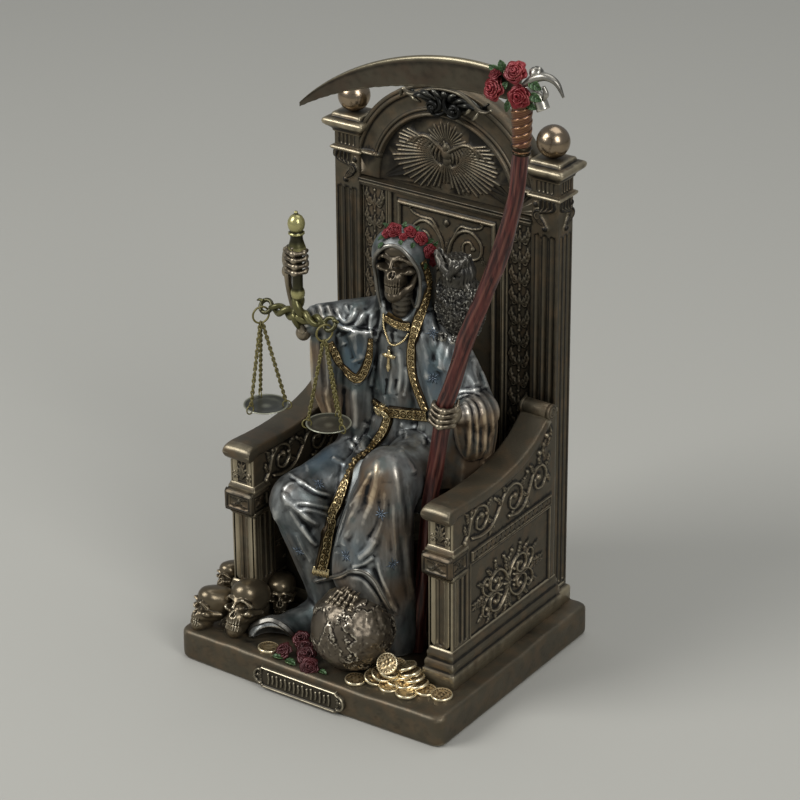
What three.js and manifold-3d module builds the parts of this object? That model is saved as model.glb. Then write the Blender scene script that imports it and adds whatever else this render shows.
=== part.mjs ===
// Seated Santa Muerte statuette: a robed skeleton on a carved throne, holding
// a scythe and a pair of scales, with an owl at its shoulder.
// Millimetres, +Z up, the throne faces -Y, and the origin is the centre of the
// plinth's underside.
import * as THREE from 'three';
import { mergeVertices } from 'three/addons/utils/BufferGeometryUtils.js';
import Module from 'manifold-3d';

// Plinth.
const plinthWidth = 123.9;
const plinthDepth = 107;
const plinthHeight = 12.7;
const plinthCorner = 1.2;
const plinthEdge = 1.3;
const plinthBow = 0.9;

// Throne.
const throneSetback = 1;
const seatWidth = 81.4;
const seatHeight = 50;
const seatDepth = 52.5;
const armWidth = 11.2;
const armLength = 71.9;
const armHeight = 75.5;
const armRise = 12.5;
const armRollRadius = 3.3;
const bandHeight = 47;
const bandDepth = 9.3;
const bandOverhang = 1.15;
const postWidth = 11.9;
const postDepth = 10.8;
const postInset = 1.2;
const postHeight = 188.8;
const capDepth = 7.5;
const capOverhang = 3.6;
const astragalDrop = 15.1;
const footHeight = 7.1;
const footOverhang = 2.2;
const fluteWidth = 1.5;
const fluteDepth = 0.9;
const backRecess = 1.8;
const backThickness = 8;
const beamHeight = 162.5;
const beamThickness = 1.9;
const beamProjection = 0.9;
const lunetteRadius = 31;
const archBead = 2;
const archFace = 7.5;
const archRim = 3.5;
const archSteps = 12;
const panelHalfWidth = 22.6;
const panelTopDrop = 5.2;
const frameWidth = 1.6;
const stileInner = 25.2;
const stileWidth = 1.9;
const reliefHeight = 0.9;
const reliefRoot = 0.3;
const leafRows = 6;
const leafPitch = 14.5;
const finialRadius = 6.4;

// Nameplate on the front of the plinth.
const plateWidth = 36;
const plateHeight = 9.4;
const plateThickness = 1.2;
const plateOffset = -2.6;
const plateGround = 0.8;

// Figure.
const figureHeight = 165.8;
const globeRadius = 16.5;
const skullWidth = 14.4;
const skullDepth = 16.6;
const skullHeight = 24;
const headTurn = 0.26;

// Scythe.
const snathRadius = 3.15;
const wrapRadius = 3.8;
const bladeThickness = 1.8;
const roseRadius = 3.7;

// Scales.
const handleRadius = 2.05;
const beamArm = 15;
const beamRadius = 1.25;
const loopRadius = 2.5;
const loopTube = 0.65;
const loopTilt = 0.6;
const hangerRadius = 3.35;
const hangerWire = 0.35;
const hangTurn = 0.52;
const chainLength = 30.4;
const chainWidth = 1.2;
const chainSpacing = 1.75;
const panRadius = 8.9;
const panThickness = 0.6;
const panDish = 0.9;
const panRingRadius = 1.8;
const panRingWire = 0.25;
const panHoleRadius = 0.9;
const panRingInset = 0.4;
const panRingDrop = 0.55;
const panSwing = 0.9;

// Coins.
const coinRadius = 4.3;
const coinThickness = 1;

// The gap kept between pieces that touch.
const clearance = 0.3;

// Places that follow from the sizes above.
const floorZ = plinthHeight;
const throneRear = plinthDepth / 2 - throneSetback;
const postFront = throneRear - postDepth;
const armFront = postFront - armLength;
const armInner = seatWidth / 2;
const armOuter = armInner + armWidth;
const postInner = armInner - postInset;
const postOuter = postInner + postWidth;
const seatTop = floorZ + seatHeight;
const seatFront = postFront - seatDepth;
const armTop = floorZ + armHeight;
const bandZ = floorZ + bandHeight;
const postTop = floorZ + postHeight;
const astragalZ = postTop - astragalDrop;
const beamZ = floorZ + beamHeight;
const archCentreZ = beamZ + 2.8;
const archOuterRadius = lunetteRadius + archBead + archFace + archRim;
const backFront = postFront + backRecess;

// The figure's stations are drawn at this height, on a floor and a seat front
// at these places, and then take the real height, plinth and seat.
const drawnHeight = 165.8;
const drawnFloor = 12.7;
const drawnSeatFront = -10.8;
const share = figureHeight / drawnHeight;

const wasm = await Module();
wasm.setup();

// Turns a closed three.js geometry into a solid that can be joined and cut.
function solid(geometry) {
  const bare = geometry.clone();
  bare.deleteAttribute('normal');
  bare.deleteAttribute('uv');
  const merged = mergeVertices(bare, 1e-4);
  const source = merged.index.array;
  const index = [];
  for (let i = 0; i < source.length; i += 3) {
    const [a, b, c] = [source[i], source[i + 1], source[i + 2]];
    if (a !== b && b !== c && c !== a) index.push(a, b, c);
  }
  return new wasm.Manifold(new wasm.Mesh({
    numProp: 3,
    vertProperties: new Float32Array(merged.attributes.position.array),
    triVerts: new Uint32Array(index),
  }));
}

function geometryOf(body) {
  const mesh = body.getMesh();
  const geometry = new THREE.BufferGeometry();
  geometry.setAttribute('position', new THREE.BufferAttribute(mesh.vertProperties, 3));
  geometry.setIndex(new THREE.BufferAttribute(mesh.triVerts, 1));
  geometry.computeVertexNormals();
  return geometry;
}

function join(bodies) {
  return bodies.reduce((whole, body) => whole.add(body));
}

function cut(body, tools) {
  return tools.reduce((rest, tool) => rest.subtract(tool), body);
}

function mirrored(body) {
  return body.mirror([1, 0, 0]);
}

function vec(x, y, z) {
  return new THREE.Vector3(x, y, z);
}

// The rotation that takes +Z to the given direction.
function turnTo(direction) {
  return new THREE.Quaternion().setFromUnitVectors(vec(0, 0, 1), direction.clone().normalize());
}

// A station of the figure, given where it is drawn.
function place(x, y, z) {
  return vec(x * share, seatFront + (y - drawnSeatFront) * share, floorZ + (z - drawnFloor) * share);
}

function block(x0, x1, y0, y1, z0, z1) {
  const geometry = new THREE.BoxGeometry(x1 - x0, y1 - y0, z1 - z0);
  geometry.translate((x0 + x1) / 2, (y0 + y1) / 2, (z0 + z1) / 2);
  return solid(geometry);
}

function ellipsoid(centre, rx, ry, rz, around = 8, along = 6, turn = 0) {
  const geometry = new THREE.SphereGeometry(1, around, along);
  geometry.rotateX(Math.PI / 2);
  geometry.scale(rx, ry, rz);
  geometry.rotateZ(turn);
  geometry.translate(centre.x, centre.y, centre.z);
  return solid(geometry);
}

// A turned body on a vertical axis, from [radius, height] points.
function turned(profile, centre, segments = 12) {
  const line = profile.map(([r, h]) => new THREE.Vector2(r, h));
  const geometry = new THREE.LatheGeometry(line, segments);
  geometry.rotateX(Math.PI / 2);
  geometry.translate(centre.x, centre.y, centre.z);
  return solid(geometry);
}

function torus(centre, radius, wire, along, normal, around = 4) {
  const geometry = new THREE.TorusGeometry(radius, wire, around, along);
  geometry.applyQuaternion(turnTo(normal));
  geometry.translate(centre.x, centre.y, centre.z);
  return solid(geometry);
}

// A closed body through rings of equal length, capped at both ends.
function loft(rings) {
  const around = rings[0].length;
  const points = rings.flat();
  const index = [];
  for (let i = 0; i < rings.length - 1; i += 1) {
    for (let j = 0; j < around; j += 1) {
      const a = i * around + j;
      const b = i * around + (j + 1) % around;
      index.push(a, b, b + around, a, b + around, a + around);
    }
  }
  const last = (rings.length - 1) * around;
  const low = points.length;
  const centre = (ring) => ring.reduce((sum, p) => sum.add(p), vec(0, 0, 0)).divideScalar(around);
  points.push(centre(rings[0]), centre(rings[rings.length - 1]));
  for (let j = 0; j < around; j += 1) {
    const next = (j + 1) % around;
    index.push(low, next, j);
    index.push(low + 1, last + j, last + next);
  }
  let volume = 0;
  for (let i = 0; i < index.length; i += 3) {
    const [a, b, c] = [points[index[i]], points[index[i + 1]], points[index[i + 2]]];
    volume += a.dot(b.clone().cross(c));
  }
  if (volume < 0) index.reverse();
  const geometry = new THREE.BufferGeometry();
  geometry.setFromPoints(points);
  geometry.setIndex(index);
  return solid(geometry);
}

// A draped body through level oval stations [x, y, z, rx, ry], with folds that
// run down it: count ridges of the given depth, as a share of the radius.
function drape(stations, around, folds = { count: 0, depth: 0, phase: 0 }) {
  const rings = stations.map(([x, y, z, rx, ry], level) => {
    const low = 1 - level / (stations.length - 1);
    return Array.from({ length: around }, (_, j) => {
      const angle = (j / around) * 2 * Math.PI;
      const wave = 1 + folds.depth * (0.35 + 0.65 * low) * Math.cos(folds.count * angle + folds.phase);
      return place(x + rx * wave * Math.cos(angle), y + ry * wave * Math.sin(angle), z);
    });
  });
  return loft(rings);
}

// A round or flattened bar along points, with a radius for each of them.
function bar(points, radii, sides = 8, steps = points.length * 2, flat = 1, twist = 0) {
  const curve = new THREE.CatmullRomCurve3(points);
  const frames = curve.computeFrenetFrames(steps, false);
  const rings = Array.from({ length: steps + 1 }, (_, i) => {
    const t = i / steps;
    const at = curve.getPoint(curve.getUtoTmapping(t));
    const span = t * (radii.length - 1);
    const k = Math.min(Math.floor(span), radii.length - 2);
    const radius = radii[k] + (radii[k + 1] - radii[k]) * (span - k);
    return Array.from({ length: sides }, (__, j) => {
      const angle = (j / sides) * 2 * Math.PI;
      const wide = radius * Math.cos(angle);
      const thin = radius * flat * Math.sin(angle);
      const turn = twist * i;
      const n = wide * Math.cos(turn) - thin * Math.sin(turn);
      const b = wide * Math.sin(turn) + thin * Math.cos(turn);
      return at.clone().addScaledVector(frames.normals[i], n).addScaledVector(frames.binormals[i], b);
    });
  });
  return loft(rings);
}

// A flat band along points, whose broad side looks along the facing direction.
function strap(points, width, thickness, facing, steps) {
  const curve = new THREE.CatmullRomCurve3(points);
  const rings = Array.from({ length: steps + 1 }, (_, i) => {
    const at = curve.getPoint(i / steps);
    const along = curve.getTangent(i / steps);
    const across = facing.clone().cross(along).normalize();
    const out = along.cross(across).normalize();
    return [[1, 1], [-1, 1], [-1, -1], [1, -1]].map(([a, o]) => (
      at.clone().addScaledVector(across, (a * width) / 2).addScaledVector(out, (o * thickness) / 2)
    ));
  });
  return loft(rings);
}

// Raised work on a face that looks towards -Y: shape x is x, and shape y is z.
function onFront(shape, y, height) {
  const geometry = new THREE.ExtrudeGeometry(shape, { depth: height, bevelEnabled: false });
  geometry.rotateX(Math.PI / 2);
  geometry.translate(0, y, 0);
  return solid(geometry);
}

// Raised work on a face that looks towards +X: shape x is y, and shape y is z.
function onSide(shape, x, height) {
  const geometry = new THREE.ExtrudeGeometry(shape, { depth: height, bevelEnabled: false });
  geometry.applyMatrix4(new THREE.Matrix4().makeBasis(vec(0, 1, 0), vec(0, 0, 1), vec(1, 0, 0)));
  geometry.translate(x, 0, 0);
  return solid(geometry);
}

function polygon(points) {
  return new THREE.Shape(points.map(([u, v]) => new THREE.Vector2(u, v)));
}

function rectangle(u0, u1, v0, v1) {
  return polygon([[u0, v0], [u1, v0], [u1, v1], [u0, v1]]);
}

// A ribbon of the given width along a curve of [u, v] points, thinner at its end.
function ribbon(points, width, taper = 0.5) {
  const sides = [[], []];
  points.forEach(([u, v], i) => {
    const [pu, pv] = points[Math.max(i - 1, 0)];
    const [nu, nv] = points[Math.min(i + 1, points.length - 1)];
    const length = Math.hypot(nu - pu, nv - pv);
    const half = (width / 2) * (1 - taper * (i / (points.length - 1)));
    const [du, dv] = [(-(nv - pv) / length) * half, ((nu - pu) / length) * half];
    sides[0].push([u + du, v + dv]);
    sides[1].unshift([u - du, v - dv]);
  });
  return polygon([...sides[0], ...sides[1]]);
}

// A volute: a ribbon that winds in from its outer radius around [u, v].
function volute(u, v, radius, start, turns, width, steps = 6) {
  const points = Array.from({ length: steps + 1 }, (_, i) => {
    const t = i / steps;
    const angle = start + turns * 2 * Math.PI * t;
    const r = radius * (1 - 0.72 * t);
    return [u + r * Math.cos(angle), v + r * Math.sin(angle)];
  });
  return ribbon(points, width);
}

function leaf(u, v, length, width, angle) {
  const [c, s] = [Math.cos(angle), Math.sin(angle)];
  const outline = [[length * 0.35, -width / 2], [length, 0], [length * 0.35, width / 2], [0, 0]];
  return polygon(outline.map(([a, b]) => [u + a * c - b * s, v + a * s + b * c]));
}

// Vertical grooves cut in a face, evenly spaced over the given width.
function flutesOnFront(x0, x1, count, y, z0, z1) {
  const pitch = (x1 - x0) / count;
  return Array.from({ length: count }, (_, i) => {
    const x = x0 + pitch * (i + 0.5);
    return block(x - fluteWidth / 2, x + fluteWidth / 2, y - 1, y + fluteDepth, z0, z1);
  });
}

function flutesOnSide(y0, y1, count, x, z0, z1) {
  const pitch = (y1 - y0) / count;
  return Array.from({ length: count }, (_, i) => {
    const y = y0 + pitch * (i + 0.5);
    return block(x - fluteDepth, x + 1, y - fluteWidth / 2, y + fluteWidth / 2, z0, z1);
  });
}

// A human skull that faces -Y on its chin, sized by its own width, depth and
// height, then turned about its upright axis and tipped back.
function skull(width, depth, height, at, turn = 0, tip = 0, sides = 10) {
  const cranium = ellipsoid(
    vec(0, depth * 0.02, height * 0.64),
    width / 2, depth / 2, height * 0.36, sides, sides / 2 + 1,
  );
  const face = [
    [0, -0.34, 0.2, 0.11],
    [0.28, -0.29, 0.29, 0.18],
    [0.6, -0.2, 0.42, 0.24],
  ].map(([z, y, rx, ry]) => Array.from({ length: 6 }, (_, j) => {
    const angle = (j / 6) * 2 * Math.PI;
    return vec(rx * width * Math.cos(angle), (y + ry * Math.sin(angle)) * depth, z * height);
  }));
  const sockets = [-1, 1].map((side) => ellipsoid(
    vec(side * width * 0.2, -depth * 0.47, height * 0.5),
    width * 0.135, depth * 0.12, height * 0.085, 5, 3,
  ));
  const nose = ellipsoid(
    vec(0, -depth * 0.48, height * 0.35),
    width * 0.07, depth * 0.08, height * 0.06, 4, 3,
  );
  return cut(join([cranium, loft(face)]), [...sockets, nose])
    .rotate([(-tip * 180) / Math.PI, 0, (turn * 180) / Math.PI])
    .translate([at.x, at.y, at.z]);
}

// A rose seen from its top: petals in a low dome about an axis.
function rose(centre, radius, axis, sides = 5) {
  const quaternion = turnTo(axis);
  const levels = [[-0.6, 0.5, 0], [0.05, 1, 0.2], [0.55, 0.5, 0.7]];
  const rings = levels.map(([h, r, turn]) => Array.from({ length: sides }, (_, j) => {
    const angle = ((j + turn) / sides) * 2 * Math.PI;
    const petal = radius * r * (1 + 0.12 * (j % 2));
    return vec(petal * Math.cos(angle), petal * Math.sin(angle), radius * h)
      .applyQuaternion(quaternion).add(centre);
  }));
  return loft(rings);
}

// Plinth: rounded corners, a softened top edge and a slightly bowed front.
function makePlinth() {
  const levels = [[0, 0.7], [1, 0], [plinthHeight - 1.5, 0.1], [plinthHeight, plinthEdge]];
  const rings = levels.map(([z, inset]) => {
    const halfX = plinthWidth / 2 - inset;
    const halfY = plinthDepth / 2 - inset;
    const corners = [[1, 1, 0], [-1, 1, 1], [-1, -1, 2], [1, -1, 3]];
    const points = corners.flatMap(([sx, sy, quarter]) => Array.from({ length: 3 }, (_, k) => {
      const angle = (quarter + k / 2) * (Math.PI / 2);
      return [
        sx * (halfX - plinthCorner) + plinthCorner * Math.cos(angle),
        sy * (halfY - plinthCorner) + plinthCorner * Math.sin(angle),
      ];
    }));
    const frontStart = points.findIndex(([, y]) => y < 0) + 3;
    const front = [-0.5, 0, 0.5].map((s) => [
      s * halfX, -halfY - plinthBow * (1 - s * s),
    ]);
    points.splice(frontStart, 0, ...front);
    return points.map(([x, y]) => vec(x, y, z));
  });
  return loft(rings);
}

// Nameplate: a framed plate with rounded ornamental ends and plain strokes.
function makeNameplate() {
  const halfW = plateWidth / 2;
  const base = plateGround;
  const top = base + plateHeight;
  const middle = (base + top) / 2;
  const front = -plinthDepth / 2 - plinthBow;
  const body = onFront(
    rectangle(plateOffset - halfW, plateOffset + halfW, base, top),
    front + 2, 2 + plateThickness,
  );
  const ends = [-1, 1].map((side) => onFront(polygon([
    [plateOffset + side * (halfW - 1), base + 1],
    [plateOffset + side * (halfW + 2.6), base + 2.6],
    [plateOffset + side * (halfW + 3.6), middle],
    [plateOffset + side * (halfW + 2.6), top - 2.6],
    [plateOffset + side * (halfW - 1), top - 1],
  ]), front + 2, 1.6 + plateThickness));
  const field = onFront(
    rectangle(plateOffset - halfW + 1, plateOffset + halfW - 1, base + 1, top - 1),
    front - plateThickness + 0.5, 1,
  );
  const strokes = Array.from({ length: 7 }, (_, i) => {
    const x = plateOffset + (i - 3) * 4.2;
    return onFront(rectangle(x - 0.45, x + 0.45, middle - 2, middle + 2), front, plateThickness - 0.1);
  });
  return join([cut(join([body, ...ends]), [field]), ...strokes]);
}

// A post with its foot, flutes, leafy capital, necking and stepped cap.
function makePost() {
  const middle = (postInner + postOuter) / 2;
  const shaft = block(postInner, postOuter, postFront, throneRear, floorZ - 1, postTop - capDepth);
  const foot = block(
    postInner, postOuter + footOverhang,
    postFront - footOverhang, throneRear, floorZ - 1, floorZ + footHeight,
  );
  const cornice = [[0, 0], [0.3, 0.35], [0.5, 1], [0.75, 1], [0.8, 0.25], [1, 0.05]].map(([t, out]) => {
    const o = capOverhang * out;
    const z = postTop - capDepth + capDepth * t;
    return [
      vec(postInner - o, postFront - o * 0.5, z), vec(postOuter + o, postFront - o * 0.5, z),
      vec(postOuter + o, throneRear + o * 0.5, z), vec(postInner - o, throneRear + o * 0.5, z),
    ];
  });
  const astragal = block(
    postInner - 0.8, postOuter + 2,
    postFront - 0.8, throneRear + 0.5, astragalZ, astragalZ + 1.5,
  );
  const shaftLow = floorZ + footHeight + 1.5;
  const shaftHigh = astragalZ - 16;
  const grooves = [
    ...flutesOnFront(postInner + 0.9, postOuter - 0.9, 3, postFront, shaftLow, shaftHigh),
    ...flutesOnSide(postFront + 1.5, throneRear - 1.5, 2, postOuter, armTop + armRise, shaftHigh),
    ...flutesOnFront(
      postInner + 2.5, postOuter - 2.5, 3, postFront,
      astragalZ + 2.3, postTop - capDepth - 0.8,
    ),
  ];
  const down = -Math.PI / 2;
  const leafZ = astragalZ - 0.5;
  const curlZ = astragalZ - 5;
  const frontCurls = [-1, 1].map((side) => onFront(
    volute(middle + side * 2.9, curlZ, 2.7, Math.PI / 2, -side * 1.1, 1.3, 5),
    postFront + reliefRoot, 1.3 + reliefRoot,
  ));
  const frontLeaf = onFront(
    leaf(middle, leafZ, 12.5, 5, down), postFront + reliefRoot, 1 + reliefRoot,
  );
  const sideLeaf = onSide(
    leaf((postFront + throneRear) / 2, leafZ, 12.5, 5.5, down), postOuter - reliefRoot, 1.2 + reliefRoot,
  );
  const sideCurl = onSide(
    volute(postFront + 3.6, curlZ, 2.4, Math.PI / 2, 1.1, 1.2, 5), postOuter - reliefRoot, 1.4 + reliefRoot,
  );
  return join([
    cut(shaft, grooves), foot, loft(cornice), astragal,
    ...frontCurls, frontLeaf, sideLeaf, sideCurl,
  ]);
}

// The line of the arm's top, from its nose to the roll against the post.
function armTopLine(grow) {
  const sweep = Array.from({ length: 7 }, (_, i) => {
    const t = i / 6;
    const y = armFront + 3 + (armLength - 8.5) * t;
    const dip = -1.1 * Math.sin(Math.PI * Math.min(t * 1.7, 1));
    const z = armTop + dip + armRise * Math.max(0, (t - 0.45) / 0.55) ** 2.4;
    return [y, z + grow];
  });
  const nose = [
    [armFront - 2.4 - grow, armTop - 4.5],
    [armFront - 3.2 - grow, armTop - 1.8],
    [armFront - 1 - grow, armTop + 0.3 + grow],
  ];
  return [...nose, ...sweep];
}

function armBody(grow) {
  const outline = [
    [armFront - grow, floorZ - 1],
    [armFront - grow, armTop - 4.5],
    ...armTopLine(grow),
    [postFront + 1, armTop + armRise + grow],
    [postFront + 1, floorZ - 1],
  ];
  return onSide(polygon(outline.reverse()), armInner - grow, armWidth + 2 * grow);
}

// An arm on the +X side: fluted pilaster, banded wall, scrolls and rolled end.
function makeArm() {
  const middle = (armInner + armOuter) / 2;
  const rollCentre = vec(middle, postFront - armRollRadius - 0.9, armTop + armRise + 1.2);
  const rollGeometry = new THREE.CylinderGeometry(armRollRadius, armRollRadius, armWidth + 1.8, 8);
  rollGeometry.rotateZ(Math.PI / 2);
  rollGeometry.translate(rollCentre.x, rollCentre.y, rollCentre.z);
  const web = block(armInner, armOuter, rollCentre.y, postFront + 1, armTop, rollCentre.z);
  const pilasterRear = armFront + 10.5;
  const shaftLow = floorZ + 15.3;
  const wallX = armOuter;
  const grooves = [
    ...flutesOnFront(armInner + 0.9, armOuter - 0.9, 3, armFront, shaftLow, bandZ - 0.5),
    ...flutesOnSide(armFront + 0.9, pilasterRear, 3, armOuter, shaftLow, bandZ - 0.5),
    block(wallX - 0.7, wallX + 1, pilasterRear + 1.5, postFront - 2.5, floorZ + 9.5, bandZ - 1.5),
  ];
  const bandBlock = block(
    armInner - bandOverhang, armOuter + bandOverhang,
    armFront - 3, armFront + 9, bandZ, bandZ + bandDepth,
  );
  const beads = block(armInner, armOuter + 0.7, armFront + 8, postFront + 1, bandZ + 1.2, bandZ + 6);
  const baseSteps = [[0, 6.3, 2.2], [6.3, 10.3, 1.6], [10.3, 15, 0.8]].map(([low, high, out]) => block(
    armInner - out * 0.5, armOuter + out,
    armFront - out - 0.6, postFront + 1, floorZ + low - (low ? 0 : 1), floorZ + high,
  ));
  const friezeZ = armTop - 10.5;
  const frieze = [0, 1, 2].flatMap((i) => {
    const y = armFront + 16 + i * 19;
    const flip = i % 2 ? 1 : -1;
    const lift = armRise * 0.3 * i * (i - 1);
    const z = friezeZ + lift + flip * 1.1;
    return [
      volute(y, z, 4.6, flip > 0 ? Math.PI : 0, flip * 1.15, 1.6, 5),
      leaf(y + 5, z - flip * 3, 9, 3, flip * 0.5),
    ];
  }).map((shape) => onSide(shape, wallX - 0.3, reliefHeight + 0.3));
  const cartoucheY = (pilasterRear + postFront) / 2 - 1;
  const cartoucheZ = floorZ + 28;
  const up = Math.PI / 2;
  const cartouche = [-1, 1].flatMap((side) => [-1, 1].map((rise) => {
    const start = side > 0 ? 0 : Math.PI;
    return volute(cartoucheY + side * 8.6, cartoucheZ + rise * 7, 7.4, start, side * rise * 1.1, 2.6, 5);
  })).map((shape) => onSide(shape, wallX - 1, reliefHeight + 1));
  const boss = onSide(leaf(cartoucheY, cartoucheZ - 9, 20, 7, up), wallX - 1, reliefHeight + 1.2);
  const blockRelief = onFront(
    leaf(middle, bandZ + bandDepth + 2, 11, 6, up), armFront + reliefRoot, reliefHeight + reliefRoot,
  );
  return join([
    cut(armBody(0), grooves), solid(rollGeometry), web, bandBlock, beads,
    ...baseSteps, ...frieze, ...cartouche, boss, blockRelief,
  ]);
}

// The back: wall, arched top with a lunette, frames, leafy strips and scrolls.
function makeBack() {
  const rear = backFront + backThickness;
  const wall = block(-postInner - 1, postInner + 1, backFront, rear, floorZ - 1, beamZ + 5);
  const arch = (radius) => {
    const shape = new THREE.Shape();
    const reach = Math.min(radius, postInner + 1);
    const start = Math.acos(Math.min(reach / radius, 1));
    shape.moveTo(reach, beamZ);
    for (let i = 0; i <= archSteps; i += 1) {
      const angle = start + ((Math.PI - 2 * start) * i) / archSteps;
      shape.lineTo(radius * Math.cos(angle), archCentreZ + radius * Math.sin(angle));
    }
    shape.lineTo(-reach, beamZ);
    return shape;
  };
  const rim = onFront(arch(archOuterRadius), rear, rear - postFront - 0.3);
  const faceCut = onFront(arch(archOuterRadius - archRim), postFront + 0.8, 2);
  const beadRing = onFront(arch(lunetteRadius + archBead), backFront + 1, backRecess + 0.8);
  const lunetteCut = onFront(arch(lunetteRadius), backFront, 8);
  const head = cut(join([cut(rim, [faceCut]), beadRing]), [lunetteCut]);
  const beam = block(
    -postInner - 1, postInner + 1,
    postFront - beamProjection, rear, beamZ, beamZ + beamThickness,
  );
  const impostRight = block(
    lunetteRadius + 0.5, postInner + 1,
    postFront - 0.1, backFront + 1, astragalZ + 0.5, astragalZ + 2,
  );
  const panelTop = beamZ - panelTopDrop;
  const frameLow = seatTop + 6;
  const frameTop = onFront(
    rectangle(-panelHalfWidth, panelHalfWidth, panelTop - frameWidth, panelTop),
    backFront + 0.5, backRecess + 0.2,
  );
  const frameRight = [
    rectangle(panelHalfWidth - frameWidth, panelHalfWidth, frameLow, panelTop - frameWidth / 2),
    rectangle(stileInner, stileInner + stileWidth, frameLow, beamZ + 0.5),
  ].map((shape) => onFront(shape, backFront + 0.5, backRecess + 0.2));
  const stripX = (panelHalfWidth + 4.5 + postInner) / 2;
  const leaves = Array.from({ length: leafRows }, (_, i) => [-1, 1].map((side) => {
    const z = beamZ - 6 - i * leafPitch;
    const x = side * stripX;
    return polygon([[x, z - 8.5], [x + 4.6, z], [x + 2, z - 1], [x, z - 4], [x - 2, z - 1], [x - 4.6, z]]);
  })).flat().map((shape) => onFront(shape, backFront + 0.3, reliefHeight + 0.3));
  const scrolls = [-1, 1].flatMap((side) => [
    volute(side * 11.2, panelTop - 9.6, 5.2, Math.PI * (0.5 + side * 0.3), side * -1.4, 1.5, 7),
    ribbon([
      [side * 1.2, panelTop - 15], [side * 4.2, panelTop - 8],
      [side * 9, panelTop - 4], [side * 17, panelTop - 2.8],
    ], 1.5),
    volute(side * 12.5, panelTop - 33, 5, side > 0 ? 0 : Math.PI, side * 1.2, 1.5),
  ]).map((shape) => onFront(shape, backFront + 0.3, reliefHeight + 0.5));
  const bead = ellipsoid(vec(0, backFront, panelTop - 5.5), 1.3, 1.3, 1.3, 6, 4);
  const right = join([impostRight, ...frameRight]);
  return join([
    wall, head, beam, frameTop, right, mirrored(right),
    ...leaves, ...scrolls, bead, ...makeDove(), ...makeCrest(),
  ]);
}

// A descending dove in a burst of rays, in low relief inside the lunette.
function makeDove() {
  const y = backFront + 0.3;
  const z = archCentreZ + 16.5;
  const rays = Array.from({ length: 8 }, (_, i) => {
    const angle = Math.PI * 2 * ((i + 0.5) / 8);
    const long = 0.5 - 0.5 * Math.sin(angle);
    const length = 8 + 12 * long * Math.abs(Math.cos(angle)) + 2 * (i % 2);
    return onFront(leaf(Math.cos(angle) * 3, z + Math.sin(angle) * 3, length, 2.4, angle), y, 0.9);
  });
  const wings = [-1, 1].map((side) => onFront(polygon([
    [0, z - 3], [side * 6, z - 5], [side * 12, z - 2], [side * 12.5, z + 6],
    [side * 9, z + 3], [side * 8, z + 8], [side * 5, z + 3], [0, z + 3],
  ]), y, 1.4));
  const tail = onFront(polygon([
    [-1.5, z - 3], [1.5, z - 3], [4.5, z - 11], [0, z - 12.5], [-4.5, z - 11],
  ]), y, 1.3);
  const body = ellipsoid(vec(0, y - 0.6, z), 2.2, 1.9, 5, 6, 4);
  return [...rays, ...wings, tail, body];
}

// The crest over the arch: two volutes between spreading wings.
function makeCrest() {
  const z = archCentreZ + archOuterRadius - 5.5;
  const y = postFront + 0.5;
  const back = onFront(polygon([
    [-21, z - 3], [-17, z - 6], [-9, z - 6.5], [0, z - 8], [9, z - 6.5], [17, z - 6], [21, z - 3],
    [13, z + 2.5], [7, z + 4.5], [0, z + 6.5], [-7, z + 4.5], [-13, z + 2.5],
  ]), y + 1.5, 2.6);
  const curls = [-1, 1].flatMap((side) => [
    volute(side * 5.6, z - 2.2, 4.4, side > 0 ? Math.PI : 0, side * -1.3, 1.7),
    ribbon([[side * 7, z + 2.5], [side * 12, z + 1.5], [side * 16, z - 2], [side * 20.5, z - 3.4]], 2, 0.3),
  ]).map((shape) => onFront(shape, y, 2.6));
  return [back, ...curls];
}

// Places on the plinth, from its left or right side and from its front.
function fromLeft(across, back, z) {
  return vec(across - plinthWidth / 2, back - plinthDepth / 2, z);
}

function fromRight(across, back, z) {
  return vec(plinthWidth / 2 - across, back - plinthDepth / 2, z);
}

// Coins lie about the globe's right foot in two leaning stacks.
function makeCoins() {
  const disc = (across, back, z, tiltX = 0, tiltY = 0) => {
    const geometry = new THREE.CylinderGeometry(coinRadius, coinRadius, coinThickness, 7);
    geometry.rotateX(Math.PI / 2);
    geometry.rotateX(tiltX);
    geometry.rotateY(tiltY);
    const at = fromRight(across, back, z);
    geometry.translate(at.x, at.y, at.z);
    return solid(geometry);
  };
  const lying = floorZ + coinThickness / 2 - 0.1;
  const flat = [[85, 6.7], [43, 6], [29.5, 9.3], [21.4, 8.5], [16.4, 14.5], [9.4, 14.9]];
  const leftStack = [0, 1, 2].map((i) => (
    disc(36.8 - i * 2.2, 9.9 + i * 1.7, floorZ + 1.6 + i * 1.5, 0.1, 0.35)
  ));
  const rightStack = [0, 1, 2, 3].map((i) => (
    disc(20.5 + i * 2.4, 15.5 + i * 0.8, floorZ + 1.2 + i * 1.5, 0, -0.3)
  ));
  const upright = disc(32.5, 12.1, floorZ + 8.2, 0.95, 0.35);
  const [near, far] = [fromRight(36, 11.5, floorZ - 1), fromRight(24, 19.5, floorZ + 5)];
  const heap = block(near.x, far.x, near.y, far.y, near.z, far.z);
  return [
    ...flat.map(([across, back]) => disc(across, back, lying)),
    ...leftStack, ...rightStack, upright, heap,
  ];
}

function makeSkulls() {
  const floor = floorZ - 1.3;
  return [
    skull(15, 19, 22, fromLeft(22, 10.9, floor), 0.12, 0.12, 8),
    skull(12.5, 15.5, 17, fromLeft(7.4, 7.9, floor), -0.12, 0.14, 6),
    skull(11.5, 13.5, 16.5, fromLeft(26, 32.9, floor), 0.55, 0.1, 6),
    skull(9, 11, 12.5, fromLeft(5, 26, floorZ + 6.4), 0, 0.1, 6),
    ellipsoid(fromLeft(6.5, 25.5, floorZ), 5.5, 7, 9, 6, 3),
  ];
}

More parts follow.
